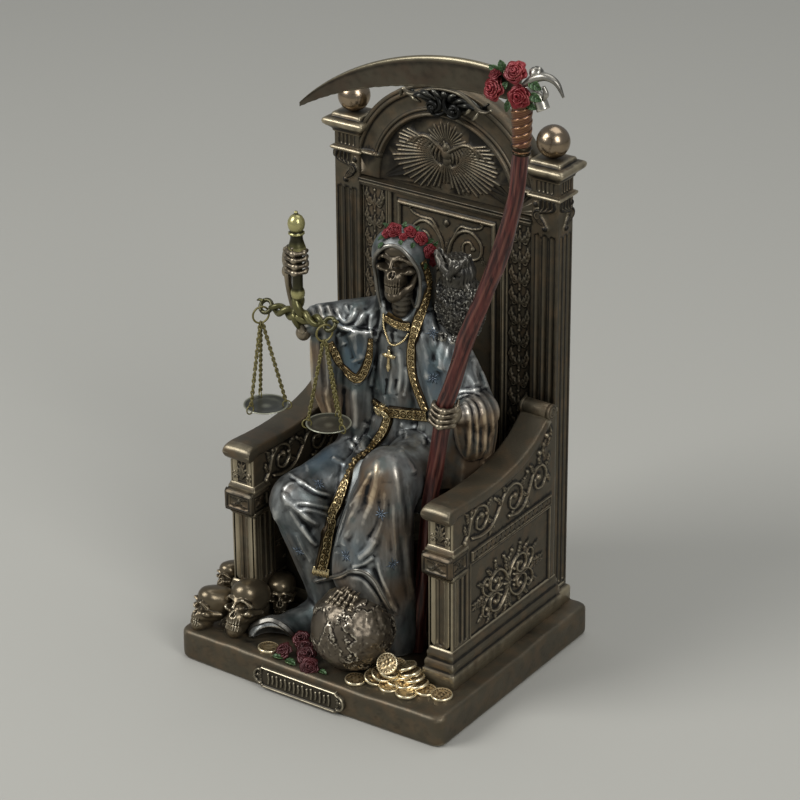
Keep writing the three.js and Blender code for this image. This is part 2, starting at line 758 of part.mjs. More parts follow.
function makeFloorRoses() {
  const up = vec(0.3, -0.5, 1);
  const roses = [
    [47.5, 17, 1.4, 2.8], [47, 6.5, 1.3, 3.1], [56.5, 8, 1.5, 3.2],
    [61.5, 3.2, 1.1, 3.3], [52.8, 12, 1.6, 3],
  ].map(([across, back, lift, r]) => rose(fromLeft(across, back, floorZ + lift), r, up));
  const leaves = [[52.5, 1.8, 2.4], [67.8, 3.9, 2]].map(([across, back, r]) => (
    ellipsoid(fromLeft(across, back, floorZ + 0.5), r, 1.3, 1, 5, 3)
  ));
  return [...roses, ...leaves];
}

function makeThrone() {
  const post = makePost();
  const arm = makeArm();
  const seat = block(-armInner - 1, armInner + 1, seatFront, backFront + 1, floorZ - 1, seatTop);
  const robeRoom = [...makeSkirt(), makeGlobe()].flatMap((body) => (
    [[clearance, 0, 0], [-clearance, 0, 0], [0, clearance, 0], [0, -clearance, 0], [0, 0, clearance]]
      .map((step) => body.translate(step))
  ));
  const strewn = cut(join([...makeSkulls(), ...makeCoins(), ...makeFloorRoses()]), robeRoom);
  return join([
    makePlinth(), seat, makeBack(), post, mirrored(post), arm, mirrored(arm),
    strewn, makeNameplate(),
  ]);
}

// Everything of the throne that the figure must stay clear of.
function throneKeepOut() {
  const far = 200;
  const arm = join([armBody(clearance), block(
    armInner - bandOverhang - clearance, armOuter,
    armFront - 3 - clearance, armFront + 9 + clearance,
    bandZ - clearance, bandZ + bandDepth + clearance,
  )]);
  const post = block(postInner - clearance, far, postFront - clearance, far, -1, 400);
  return [
    block(-far, far, -far, far, -50, floorZ + clearance),
    block(-far, far, seatFront - clearance, far, -1, seatTop + clearance),
    block(-far, far, postFront - beamProjection - clearance, far, -1, 400),
    arm, mirrored(arm), post, mirrored(post),
  ];
}

// The line of the snath, from its foot beside the globe to its head.
const snathLine = [
  [25.9, -15.7, 13], [27.3, -15.1, 35.5], [28.9, -14.7, 53.4], [30.9, -14, 79.6],
  [33.8, -13.6, 97.2], [36.2, -13.1, 117.7], [40, -12.8, 129.7], [47.5, -12.2, 153.8],
  [53.2, -11.8, 168.2], [58.5, -11.4, 183.1], [63.2, -11, 198.5], [66.2, -10.7, 212.4],
  [67.5, -10.4, 224],
].map(([x, y, z]) => place(x, y, z));
const scytheHead = place(67.4, -10, 247);
const snathHand = place(36.2, -13.1, 117.2);

function makeSnath(grow) {
  const radii = snathLine.map((_, i) => {
    const waver = i === 0 ? 0.85 : 1 + 0.06 * Math.sin(i * 2.1);
    return snathRadius * waver + grow;
  });
  const shaft = bar(snathLine, radii, 6, 14);
  const top = snathLine[snathLine.length - 1];
  const wrapRadii = [0.95, 1, 0.95, 0.8].map((swell) => wrapRadius * swell + grow);
  const wrap = bar([top, place(67.6, -10.2, 232), place(67.5, -10, 240), scytheHead], wrapRadii, 6, 3);
  return join([shaft, wrap]);
}

function makeScythe() {
  const outline = new THREE.Shape();
  outline.moveTo(-29.4, 224.1);
  outline.bezierCurveTo(-10, 235.5, 20, 246.5, 60, 245.9);
  outline.lineTo(67, 247.5);
  outline.lineTo(67, 254.6);
  outline.lineTo(62.3, 255.6);
  outline.bezierCurveTo(36, 262, -4, 251, -29.2, 225.5);
  const geometry = new THREE.ExtrudeGeometry(outline, {
    depth: bladeThickness - 1,
    bevelThickness: 0.5,
    bevelSize: 0.4,
    bevelOffset: -0.4,
    bevelSegments: 1,
    curveSegments: 6,
  });
  geometry.rotateX(Math.PI / 2);
  geometry.translate(0, -10 + bladeThickness / 2 - 0.5, 0);
  geometry.translate(0, -drawnSeatFront, -drawnFloor);
  geometry.scale(share, share, share);
  geometry.translate(0, seatFront, floorZ);
  const tang = bar([
    place(70, -10, 252.5), place(77, -10, 256.6), place(82, -10, 255), place(84.8, -10, 250.2),
  ], [2.1, 1.9, 1.7, 0.8], 6, 5);
  const ferrule = bar([
    place(69, -10, 251), place(74, -9.8, 248.4), place(76, -9.8, 244.6),
  ], [2, 2.2, 1.6], 6, 3);
  const forward = vec(0.3, -1, 0.25);
  const blooms = [
    [57.8, 249.4, 1.08], [67, 257.8, 1], [68.7, 250.4, 1], [73.4, 257.4, 0.65],
  ].map(([x, z, size]) => rose(place(x, -12.2, z), roseRadius * size, forward));
  const leaves = [[57.2, 256.6], [73.8, 253.4], [75.6, 249.8], [63.4, 245.6]].map(([x, z]) => (
    ellipsoid(place(x, -11.2, z), 3, 1.3, 2, 5, 3)
  ));
  const knot = ellipsoid(place(66, -10.2, 252.4), 10, 2.2, 6.4, 6, 4);
  const ringAt = place(67.6, -10.3, 226.4);
  const cord = turned([[0, -1], [wrapRadius + 1, -0.5], [wrapRadius + 1, 0.5], [0, 1]], ringAt, 8);
  return join([makeSnath(0), solid(geometry), tang, ferrule, knot, cord, ...blooms, ...leaves]);
}

// The scales: a turned handle, a twisted beam and everything hung from it.
const handleTop = place(-30, -13, 183.4);
const beamCentre = place(-30.3, -13, 140.6);
const loopCentres = [-1, 1].map((side) => beamCentre.clone().add(vec(side * beamArm, 0, 0)));
const gripHeight = 16.3;

function handleProfile(grow) {
  const shape = [
    [0.7, 0], [1.1, 1.2], [2.4, 2.2], [3.35, 4.6], [2.5, 8.2], [3, 8.9], [2.7, 10.4],
    [3.55, 14.6], [3.5, 15.6], [handleRadius, gripHeight], [handleRadius, 31],
    [2.65, 33.3], [handleRadius, 35.8], [3.1, 40], [2.9, 46], [2.1, 49.6],
  ];
  const closed = [[0, 0], ...shape.map(([r, down]) => [r + grow, -down]), [0, -50.2]];
  return closed.reverse();
}

function makeScaleBeam() {
  const handle = turned(handleProfile(0), handleTop, 7);
  const arms = [-1, 1].map((side) => bar([
    beamCentre,
    vec(beamCentre.x + side * 4.5, beamCentre.y, beamCentre.z + 1),
    vec(beamCentre.x + side * (beamArm - loopRadius - 1.2), beamCentre.y, beamCentre.z - 0.4),
    vec(beamCentre.x + side * (beamArm - loopRadius + 0.3), beamCentre.y, beamCentre.z),
  ], [2, 1.9, beamRadius * 1.3, beamRadius * 0.7], 5, 4, 0.75, 0.5));
  const loopNormal = vec(0, -Math.sin(loopTilt), Math.cos(loopTilt));
  const loops = loopCentres.map((centre) => torus(centre, loopRadius, loopTube, 8, loopNormal, 4));
  const tips = [-1, 1].map((side) => bar([
    vec(beamCentre.x + side * (beamArm + loopRadius), beamCentre.y, beamCentre.z),
    vec(beamCentre.x + side * (beamArm + loopRadius + 2.2), beamCentre.y, beamCentre.z + 0.8),
    vec(beamCentre.x + side * (beamArm + loopRadius + 3.6), beamCentre.y, beamCentre.z + 2.6),
  ], [0.9, 0.8, 0.5], 4, 2));
  return join([handle, ...arms, ...loops, ...tips]);
}

// Each hanging ring goes round its loop at the low front, square to the wire
// there, and the three chain tops lie side by side in the ring's plane.
const hangNormal = vec(Math.cos(hangTurn), -Math.sin(hangTurn), 0);
const hangAxis = vec(Math.sin(hangTurn), Math.cos(hangTurn), 0);
const hangerCentres = loopCentres.map((centre) => centre.clone().add(vec(
  -loopRadius * hangAxis.x,
  -loopRadius * hangAxis.y * Math.cos(loopTilt),
  -loopRadius * hangAxis.y * Math.sin(loopTilt) + loopTube + hangerWire + clearance - hangerRadius,
)));
const panCentres = hangerCentres.map((centre) => centre.clone().add(vec(
  panSwing, panSwing / 2,
  -hangerRadius - hangerWire - clearance - chainLength - panRingRadius * 2 - clearance,
)));
const panAngles = [[1.45, 0.79, 0.12], [1.25, 0.57, 1.91]].map((turns) => (
  turns.map((turn) => turn * Math.PI)
));

function makeHanger(centre) {
  return torus(centre, hangerRadius, hangerWire, 10, hangNormal, 3);
}

// The ring of one chain in the pan's rim stands in the plane through the axis.
function panRingCentre(pan, angle) {
  const out = panRadius - panRingInset;
  const lift = panRingRadius - panRingWire - panRingDrop;
  return vec(pan.x + out * Math.cos(angle), pan.y + out * Math.sin(angle), pan.z + lift);
}

function makePanRing(pan, angle) {
  const across = vec(-Math.sin(angle), Math.cos(angle), 0);
  return torus(panRingCentre(pan, angle), panRingRadius, panRingWire, 7, across, 3);
}

function makePan(centre) {
  const [r, t] = [panRadius, panThickness];
  const profile = [
    [0, -panDish], [r * 0.72, -panDish], [r, 0], [r, t], [r * 0.7, t - panDish], [0, t - panDish],
  ];
  return turned(profile, centre, 11);
}

function panHole(pan, angle) {
  const out = panRadius - panRingInset - panRingRadius * 0.6;
  const geometry = new THREE.CylinderGeometry(panHoleRadius, panHoleRadius, 6, 6);
  geometry.rotateX(Math.PI / 2);
  geometry.translate(pan.x + out * Math.cos(angle), pan.y + out * Math.sin(angle), pan.z);
  return solid(geometry);
}

// A chain drawn as one straight six-sided bar as wide as its links.
function makeChain(top, bottom) {
  return bar([top, bottom], [chainWidth / 2, chainWidth / 2], 6, 1);
}

// The figure's head: hood, skull, collar and crown of roses.
function makeHead() {
  const hood = cut(drape([
    [3, 12.5, 136, 17, 10], [3.2, 11.5, 143, 13, 10.5], [3.5, 10.5, 150, 11.6, 11], [3.8, 9.5, 160, 12, 11.6],
    [3.8, 8.8, 169, 11, 11.2], [3.6, 8.2, 176, 7.6, 8], [3.6, 8, 178.6, 2.5, 2.5],
  ], 10), [
    ellipsoid(place(5.2, -2.6, 158.5), 9 * share, 10.5 * share, 17.5 * share, 8, 5, headTurn),
  ]);
  const head = skull(skullWidth, skullDepth, skullHeight, place(4.4, 5.4, 151.4), headTurn, -0.12);
  const neck = bar([place(3.4, 11, 140), place(4, 9, 148), place(4.2, 8, 154)], [3.6, 3.1, 3], 6, 2);
  const crown = [
    [3, -1.4, 176.4, 2.1], [9, -1.2, 177, 2], [13.4, 1.4, 174.6, 2], [15.6, 3, 169.6, 2.1],
  ].map(([x, y, z, r]) => rose(place(x, y, z), r * share, vec(x * 0.05, -0.8, 0.6)));
  const band = strap([
    place(-4.6, 0.6, 172.5), place(3, -1.2, 176), place(11, 0.6, 175.4), place(15.4, 4, 168),
  ], 3, 2.4, vec(0.1, -1, 0.4), 4);
  return [hood, head, neck, band, ...crown];
}

function folds(count, depth, phase = 0) {
  return { count, depth, phase };
}

// The robe over the shins, and its fold on the plinth with an open lip.
function makeSkirt() {
  const legRight = drape([
    [-12.5, -8, 12, 13.5, 12], [-16, -14, 32, 12, 11.6], [-21, -20, 55, 12.8, 12.2],
    [-23.8, -23.6, 70, 11.8, 12.2], [-23.6, -23.4, 78, 4.6, 5.6],
  ], 12, folds(6, 0.07, 0.5));
  const legLeft = drape([
    [13, -15, 12, 14, 12], [12.4, -22, 38, 15, 14.4], [11.6, -25, 51, 16, 15.6], [15, -25, 75, 13.2, 13.2],
    [18, -23.6, 94, 10.2, 10.4], [18.6, -23, 101, 4.4, 5.2],
  ], 12, folds(6, 0.07));
  const lipTurn = 0.59;
  const hemFold = cut(join([
    ellipsoid(place(-27.4, -37, 12), 10.4 * share, 7 * share, 9 * share, 8, 5, lipTurn),
    bar([place(-27, -35, 11), place(-22, -24, 12), place(-17, -14, 14)], [8, 8.5, 11], 7, 2),
  ]), [
    ellipsoid(place(-24.8, -41.8, 11.4), 8.2 * share, 6.4 * share, 7.4 * share, 7, 4, lipTurn),
  ]);
  return [legRight, legLeft, hemFold];
}

// Robe, mantle and sleeves, each a draped body of its own.
function makeRobe() {
  const torso = drape([
    [0, 16, 62, 28, 20], [1, 15, 80, 22, 16.6], [3, 14, 100, 14.6, 11.4], [3, 14, 104, 15.6, 12.2],
    [2.8, 13.6, 130, 19, 12], [2.8, 12, 143, 9, 7.5],
  ], 12, folds(6, 0.05));
  const mantleLeft = drape([
    [24, 12, 76, 15, 10], [26, 12, 102, 16.6, 12], [23, 12, 116, 15.6, 12], [19, 12, 128, 13, 11],
    [14, 12, 138, 10, 9], [8, 12, 147, 5, 6],
  ], 10, folds(5, 0.06, 0.8));
  const mantleRight = drape([
    [-16, 9, 76, 9, 7], [-18, 8, 104, 10, 7.4], [-14, 9.5, 128, 11.5, 9.4], [-9, 11, 138, 10, 9],
    [-3, 12, 147, 5, 6],
  ], 10, folds(5, 0.06));
  const lobe = drape([
    [-12, -0.8, 111.6, 1.4, 1.4], [-12.6, 0.6, 116, 5, 3.4], [-13.4, 2, 125, 8.6, 5], [-13, 3.5, 135, 9, 7],
  ], 8);
  const sleeveRight = bar([
    place(-11, 12, 135), place(-21, 3, 136.4), place(-28, -5, 134.4), place(-31, -8.6, 131.6),
  ], [9.5, 9.4, 7.6, 5.2], 8, 4);
  const sleeveFall = drape([
    [-20.6, -2.4, 91, 1.8, 2], [-24.6, -0.5, 99, 4.6, 4.4], [-26.4, 0, 109, 6.2, 5.4], [-25, 0, 134, 7, 6.6],
  ], 10, folds(5, 0.12));
  const thighRight = bar([
    place(-23.6, -22, 67.5), place(-18, -2, 71), place(-11, 16, 75),
  ], [10.4, 13, 14.5], 8, 2);
  const thighLeft = bar([place(18, -19, 86), place(15, 0, 84), place(12, 17, 82)], [11, 12.5, 14], 8, 2);
  const between = drape([
    [0, -9, 12, 18, 9], [-2, -12, 45, 17, 9], [-2, -8, 68, 18, 13], [2, 2, 88, 12, 12],
  ], 10, folds(5, 0.08));
  const sleeveLeft = bar([
    place(28, 14, 108), place(37, 10, 108.6), place(39.4, 1.5, 111.6), place(39.4, -5.6, 114.6),
  ], [9, 8, 6, 3.8], 8, 3);
  const sleeveFallLeft = drape([
    [37, 7, 91, 3, 4], [37.6, 5, 97, 5, 6.4], [38, 3, 106, 5.4, 8], [38.6, 0, 113, 4.4, 6],
  ], 8, folds(4, 0.1));
  return [
    torso, mantleLeft, mantleRight, lobe, sleeveRight, sleeveFall, sleeveLeft, sleeveFallLeft,
    thighRight, thighLeft, between, ...makeSkirt(),
  ];
}

// Bands of trim, the belt's knot, the hanging sash and the pendant cross.
function makeTrim() {
  const edge = strap([
    place(15, 2.4, 168), place(16.2, 2, 158), place(16.4, 2, 150), place(14, 2.4, 140),
    place(13.4, 2.4, 128), place(13.6, 2.2, 116), place(18, 0.8, 107),
  ], 4.4, 3, vec(0.1, -1, 0), 7);
  const knot = ellipsoid(place(4.2, 2.4, 103), 4.4, 2.6, 4.6, 6, 4);
  const sash = strap([
    place(4.4, 1.6, 101), place(1, -3.4, 96.4), place(-2, -10, 90.4), place(-4.6, -17.5, 86.4),
    place(-6, -25, 81), place(-6.6, -28.4, 73), place(-7.6, -28.8, 64), place(-9.6, -28.4, 54),
    place(-11.4, -28.2, 43.6),
  ], 6, 3, vec(-0.1, -1, 0.5), 9);
  const upright = block(-0.7, 0.7, -1, 1, -4.4, 4.4);
  const crossbar = block(-2.7, 2.7, -1, 1, 0.9, 2.3);
  const seat = place(4.2, 2.6, 125);
  const cross = join([upright, crossbar]).translate([seat.x, seat.y, seat.z]);
  const collar = strap([
    place(-2, 6.4, 142.4), place(3.6, 4, 141), place(9, 6, 142),
  ], 3, 3, vec(0, -1, 0.3), 3);
  return [edge, knot, sash, cross, collar];
}

// Both hands: stacked fingers about the bar they grip, and the forearm bones.
function makeHands() {
  const grip = (centre, inner, rows, pitch) => {
    const profile = [];
    for (let i = 0; i < rows; i += 1) {
      profile.push([inner + 1.4, i * pitch], [inner + 2.1, (i + 0.5) * pitch]);
    }
    profile.push([inner + 1.4, rows * pitch], [inner, rows * pitch], [inner, 0], [inner + 1.4, 0]);
    return turned(profile, centre, 6);
  };
  const left = grip(vec(snathHand.x, snathHand.y, snathHand.z - 4.6), snathRadius * 0.9, 4, 2.3);
  const wristLeft = bar([
    place(39.2, -10.5, 116.8), place(40.2, -4, 114), place(40, 3, 110),
  ], [2.4, 2, 2.4], 5, 2);
  const palm = vec(handleTop.x, handleTop.y, handleTop.z - gripHeight - 10.2);
  const right = grip(palm, handleRadius * 0.9, 4, 2.45);
  const heel = ellipsoid(
    vec(palm.x - 3.6, palm.y + 1.4, palm.z + 4),
    3 * share, 3.2 * share, 5.4 * share, 6, 4,
  );
  const forearm = bar([
    vec(palm.x - 4, palm.y + 1.6, palm.z + 1),
    place(-35, -11, 152), place(-34, -8.4, 143), place(-31, -8, 131),
  ], [2.2, 1.6, 1.7, 2.4], 5, 3);
  return [left, wristLeft, right, heel, forearm];
}

// The skeletal foot on the globe: heel block and five toes.
function makeFoot() {
  const toes = Array.from({ length: 5 }, (_, i) => {
    const spread = i - 2;
    return bar([
      place(9.6 + spread * 0.7, -36, 48),
      place(7.6 + spread * 1.35, -41.5, 46),
      place(6 + spread * 1.7, -46, 42.6),
    ], [1, 0.85, 0.8], 3, 2);
  });
  return [...toes, ellipsoid(place(10, -34, 47.4), 4, 5, 3.4, 7, 4)];
}

function makeOwl() {
  const body = drape([
    [27, 13, 136, 2, 2], [27, 12.4, 143, 7, 6.6], [27, 12, 152, 8.4, 7.2], [27, 11, 160.4, 6.4, 5.8],
    [27, 10.6, 165, 7, 6.2], [27, 10.8, 170, 4.6, 4.2],
  ], 8);
  const tufts = [-1, 1].map((side) => bar([
    place(27 + side * 3.6, 9.6, 167), place(27 + side * 5.2, 9.2, 170), place(27 + side * 7, 9.4, 172.6),
  ], [1.9, 1.3, 0.3], 4, 2));
  const beak = ellipsoid(place(27.6, 4.8, 163.4), 1, 1.2, 1.6, 4, 3);
  return [body, ...tufts, beak];
}

function makeGlobe() {
  const at = place(10.5, -37, drawnFloor);
  return ellipsoid(
    vec(at.x, at.y, floorZ + globeRadius - 0.7),
    globeRadius, globeRadius, globeRadius, 12, 7,
  );
}

function makeFigure() {
  const whole = join([
    ...makeRobe(), ...makeHead(), ...makeTrim(), ...makeHands(), ...makeFoot(), ...makeOwl(),
    makeGlobe(),
  ]);
  return cut(whole, [
    ...throneKeepOut(),
    makeSnath(clearance),
    turned(handleProfile(clearance), handleTop, 7),
  ]);
}

const bronze = { color: 0x564c3f, roughness: 0.48, metalness: 0.75 };
const robe = { color: 0x56606a, roughness: 0.5, metalness: 0.45 };
const polished = { color: 0xb09a7c, roughness: 0.22, metalness: 0.95 };
const brass = { color: 0x7c7240, roughness: 0.34, metalness: 0.9 };
const darkBrass = { color: 0x5c5e54, roughness: 0.42, metalness: 0.85 };
const rosewood = { color: 0x6b3a33, roughness: 0.45, metalness: 0.2 };

const model = new THREE.Group();

function addPiece(name, body, finish) {
  const mesh = new THREE.Mesh(geometryOf(body), new THREE.MeshStandardMaterial(finish));
  mesh.name = name;
  model.add(mesh);
}

addPiece('throne', makeThrone(), bronze);
addPiece('figure', makeFigure(), robe);
addPiece('scythe', makeScythe(), rosewood);
addPiece('scale_beam', makeScaleBeam(), brass);

['left', 'right'].forEach((name, i) => {
  const side = i ? 1 : -1;
  const finialCentre = vec(
    (side * (postInner + postOuter)) / 2,
    (postFront + throneRear) / 2,
    postTop + clearance + finialRadius - 0.2,
  );
  const finial = ellipsoid(finialCentre, finialRadius, finialRadius, finialRadius, 9, 6);
  const bed = block(-100, 100, 0, 100, 0, postTop + clearance);
  addPiece(`finial_${name}`, finial.subtract(bed), polished);
  addPiece(`hanger_${name}`, makeHanger(hangerCentres[i]), brass);
  const pan = panCentres[i];
  const holes = panAngles[i].map((angle) => panHole(pan, angle));
  addPiece(`pan_${name}`, cut(makePan(pan), holes), darkBrass);
  const reach = panAngles[i].map((angle) => (
    hangAxis.x * Math.cos(angle) + hangAxis.y * Math.sin(angle)
  ));
  panAngles[i].forEach((angle, k) => {
    const rank = reach.filter((value) => value < reach[k]).length - 1;
    const ring = panRingCentre(pan, angle);
    const top = hangerCentres[i].clone().addScaledVector(hangAxis, rank * chainSpacing);
    const sag = hangerRadius - Math.sqrt(hangerRadius ** 2 - (rank * chainSpacing) ** 2);
    top.z -= hangerRadius + hangerWire + clearance - sag * 0.4;
    const bottom = ring.clone().add(vec(0, 0, panRingRadius + panRingWire + clearance));
    addPiece(`pan_ring_${name}_${k + 1}`, makePanRing(pan, angle), brass);
    addPiece(`chain_${name}_${k + 1}`, makeChain(top, bottom), brass);
  });
});

export default model;
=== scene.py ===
"""A seated, robed skeleton statuette on a carved throne, finished for its render.

Lengths in the making functions are millimetres in the CAD frame: +Z up, the
throne faces -Y, and the origin is the centre of the plinth's underside.
"""
import math
import random

import bpy
import numpy as np
from mathutils import Matrix, Vector, noise
from mathutils.bvhtree import BVHTree


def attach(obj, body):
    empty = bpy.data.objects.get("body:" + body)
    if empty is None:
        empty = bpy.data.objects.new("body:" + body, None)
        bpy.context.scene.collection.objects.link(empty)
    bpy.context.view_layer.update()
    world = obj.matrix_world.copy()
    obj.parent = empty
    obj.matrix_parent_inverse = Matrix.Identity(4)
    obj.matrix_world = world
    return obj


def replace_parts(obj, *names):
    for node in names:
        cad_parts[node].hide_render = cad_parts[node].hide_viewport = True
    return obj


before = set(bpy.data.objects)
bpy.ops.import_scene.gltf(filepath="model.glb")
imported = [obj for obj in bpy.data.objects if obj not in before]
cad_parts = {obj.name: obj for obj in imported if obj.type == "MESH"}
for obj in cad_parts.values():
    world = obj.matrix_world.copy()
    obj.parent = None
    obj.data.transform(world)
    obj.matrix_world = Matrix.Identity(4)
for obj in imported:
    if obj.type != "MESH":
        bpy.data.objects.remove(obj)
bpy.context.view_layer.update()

MM = 0.001
TAU = 2 * math.pi

# The camera, fitted to the photograph's straight edges.
EYE = np.array([602.47, -858.91, 616.62])
BACKWARD = np.array([0.51220, -0.73966, 0.43653])
RIGHT = np.array([0.82399, 0.56657, -0.00683])
UPWARD = np.array([-0.24227, 0.36319, 0.89966])
FOCAL_PX = 3045.26
HALF_FRAME = 400
SENSOR_MM = 36


# Points and lines

def arr(points):
    return np.asarray(points, dtype=float)


def spline(points, count):
    """Smooth points through the given stations, all their columns alike."""
    p = arr(points)
    p = np.vstack([2 * p[0] - p[1], p, 2 * p[-1] - p[-2]])
    t = np.linspace(0, len(p) - 3, count)
    i = np.minimum(t.astype(int), len(p) - 4)
    f = (t - i)[:, None]
    a, b, c, d = p[i], p[i + 1], p[i + 2], p[i + 3]
    return 0.5 * (2 * b + (c - a) * f + (2 * a - 5 * b + 4 * c - d) * f ** 2
                  + (3 * b - a - 3 * c + d) * f ** 3)


def even(points, gap):
    """The same line with its points an even distance apart."""
    p = arr(points)
    lengths = np.linalg.norm(np.diff(p, axis=0), axis=1)
    along = np.concatenate([[0], np.cumsum(lengths)])
    count = max(2, int(round(along[-1] / gap)) + 1)
    t = np.linspace(0, along[-1], count)
    return np.stack([np.interp(t, along, p[:, k]) for k in range(p.shape[1])], axis=1)


def unit(v):
    """Vectors brought to length 1."""
    v = arr(v)
    return v / np.maximum(np.linalg.norm(v, axis=-1, keepdims=True), 1e-12)


def clamp(x):
    """The values held between 0 and 1."""
    return np.clip(x, 0, 1)


def dome(x):
    """A half circle over -1 to 1, and zero outside."""
    return np.sqrt(np.clip(1 - x ** 2, 0, 1))


def bell(x):
    """A smooth bump about zero, 1 high."""
    return np.exp(-x ** 2)


def wobble(p, scale, seed=0.0):
    """Smooth low noise between about -1 and 1 at each point."""
    rng = random.Random(int(seed * 100) + 7)
    total = 0
    for _ in range(5):
        way = unit([rng.gauss(0, 1) for _ in range(3)])
        total = total + np.sin(p @ way * (rng.uniform(0.6, 1.6) * TAU / scale) + rng.uniform(0, TAU))
    return total / 3


def crumbly(p, size, octaves=4):
    """Uneven noise of several sizes at each point, about -1 to 1."""
    return arr([noise.fractal(Vector(place), 0.8, 2.1, octaves) for place in (p / size).tolist()])


# Shapes: vertices, quads and triangles

class Shape:
    """A mesh in plain arrays, placed by functions that return a new one."""

    def __init__(self, v, q=(), t=()):
        self.v = arr(v).reshape(-1, 3)
        self.q = np.asarray(q, dtype=np.int64).reshape(-1, 4)
        self.t = np.asarray(t, dtype=np.int64).reshape(-1, 3)

    def turned(self, matrix):
        m = arr(matrix)
        flip = np.linalg.det(m) < 0
        q = self.q[:, ::-1] if flip else self.q
        t = self.t[:, ::-1] if flip else self.t
        return Shape(self.v @ m.T, q, t)

    def moved(self, offset):
        return Shape(self.v + arr(offset), self.q, self.t)

    def scaled(self, *factors):
        return self.turned(np.diag(arr(factors if len(factors) == 3 else factors * 3)))

    def mirrored(self):
        return self.scaled(-1, 1, 1)


def merge(shapes):
    """Several shapes as one."""
    v, q, t, base = [], [], [], 0
    for s in shapes:
        v.append(s.v)
        q.append(s.q + base)
        t.append(s.t + base)
        base += len(s.v)
    return Shape(np.vstack(v), np.vstack(q), np.vstack(t))


def turn_z(angle):
    c, s = math.cos(angle), math.sin(angle)
    return arr([[c, -s, 0], [s, c, 0], [0, 0, 1]])


def turn_x(angle):
    c, s = math.cos(angle), math.sin(angle)
    return arr([[1, 0, 0], [0, c, -s], [0, s, c]])


def turn_y(angle):
    c, s = math.cos(angle), math.sin(angle)
    return arr([[c, 0, s], [0, 1, 0], [-s, 0, c]])


def basis_to(normal, spin=0.0):
    """The rotation that takes +Z to the normal, after a spin about it."""
    z = unit(normal)
    side = unit(np.cross([0, 0, 1] if abs(z[2]) < 0.95 else [0, 1, 0], z))
    return np.stack([side, np.cross(z, side), z], axis=1) @ turn_z(spin)


def net(points, loop=False):
    """A quad grid through points[i][j], closed along j when loop is set."""
    p = arr(points)
    n, m = p.shape[:2]
    i, j = np.meshgrid(np.arange(n - 1), np.arange(m if loop else m - 1), indexing="ij")
    k = (j + 1) % m
    q = np.stack([i * m + j, i * m + k, (i + 1) * m + k, (i + 1) * m + j], axis=-1)
    return Shape(p.reshape(-1, 3), q.reshape(-1, 4))


def rings(points):
    """A closed body through rings of points, with both ends capped."""
    body = net(points, loop=True)
    n, m = arr(points).shape[:2]
    ends = arr([arr(points)[0].mean(axis=0), arr(points)[-1].mean(axis=0)])
    low, high = n * m, n * m + 1
    j = np.arange(m)
    k = (j + 1) % m
    t = np.vstack([
        np.stack([np.full(m, low), k, j], axis=1),
        np.stack([np.full(m, high), (n - 1) * m + j, (n - 1) * m + k], axis=1),
    ])
    shape = Shape(np.vstack([body.v, ends]), body.q, t)
    return outward(shape)


def outward(shape):
    """The same closed shape with its faces pointing out."""
    a, b, c = (shape.v[np.concatenate([shape.t, shape.q[:, :3]])[:, k]] for k in range(3))
    volume = np.einsum("ij,ij->i", a, np.cross(b, c)).sum()
    e, f, g = (shape.v[shape.q[:, k]] for k in (0, 2, 3))
    volume += np.einsum("ij,ij->i", e, np.cross(f, g)).sum()
    if volume < 0:
        return Shape(shape.v, shape.q[:, ::-1], shape.t[:, ::-1])
    return shape


def frames_along(line):
    """Unit tangents, normals and binormals that turn as little as they can."""
    p = arr(line)
    tangent = unit(np.gradient(p, axis=0))
    first = np.cross(tangent[0], [0, 0, 1] if abs(tangent[0][2]) < 0.9 else [1, 0, 0])
    normal = [unit(first)]
    for t in tangent[1:]:
        normal.append(unit(normal[-1] - t * (normal[-1] @ t)))
    normal = arr(normal)
    return tangent, normal, np.cross(tangent, normal)


def tube(points, radii, sides=10, gap=None, flat=1.0, bumps=None):
    """A round bar along points. bumps(t, angle) adds to the radius in mm."""
    line = spline(points, max(8, 6 * len(points))) if len(points) > 2 else arr(points)
    line = even(line, gap or max(0.4, float(np.min(radii))))
    t = np.linspace(0, 1, len(line))
    radius = np.interp(t, np.linspace(0, 1, len(radii)), radii)
    _, normal, binormal = frames_along(line)
    angle = np.arange(sides) / sides * TAU
    r = np.broadcast_to(radius[:, None], (len(line), sides)).copy()
    if bumps is not None:
        r += bumps(t[:, None], angle[None, :])
    wide, thin = r * np.cos(angle), r * flat * np.sin(angle)
    return rings(line[:, None] + wide[..., None] * normal[:, None] + thin[..., None] * binormal[:, None])


def lathe(profile, centre=(0, 0, 0), sides=32, bumps=None):
    """A turned body from [radius, height] points, closed on its axis."""
    line = arr(profile)
    angle = np.arange(sides) / sides * TAU
    r = np.maximum(line[:, :1], 0.0) * np.ones((1, sides))
    if bumps is not None:
        r = r + bumps(line[:, 1:2], angle[None, :])
    z = np.broadcast_to(line[:, 1:2], r.shape)
    return rings(np.stack([r * np.cos(angle), r * np.sin(angle), z], axis=-1)).moved(centre)


def ball(centre, radii, across=20, along=12):
    """An ellipsoid, closed at its poles by small flat caps."""
    r = arr([radii] * 3 if np.isscalar(radii) else radii)
    a = np.linspace(-math.pi / 2 + 0.12, math.pi / 2 - 0.12, along)
    angle = np.arange(across) / across * TAU
    p = np.stack([
        np.cos(a)[:, None] * np.cos(angle),
        np.cos(a)[:, None] * np.sin(angle),
        np.sin(a)[:, None] * np.ones_like(angle),
    ], axis=-1)
    return rings(p * r + arr(centre))


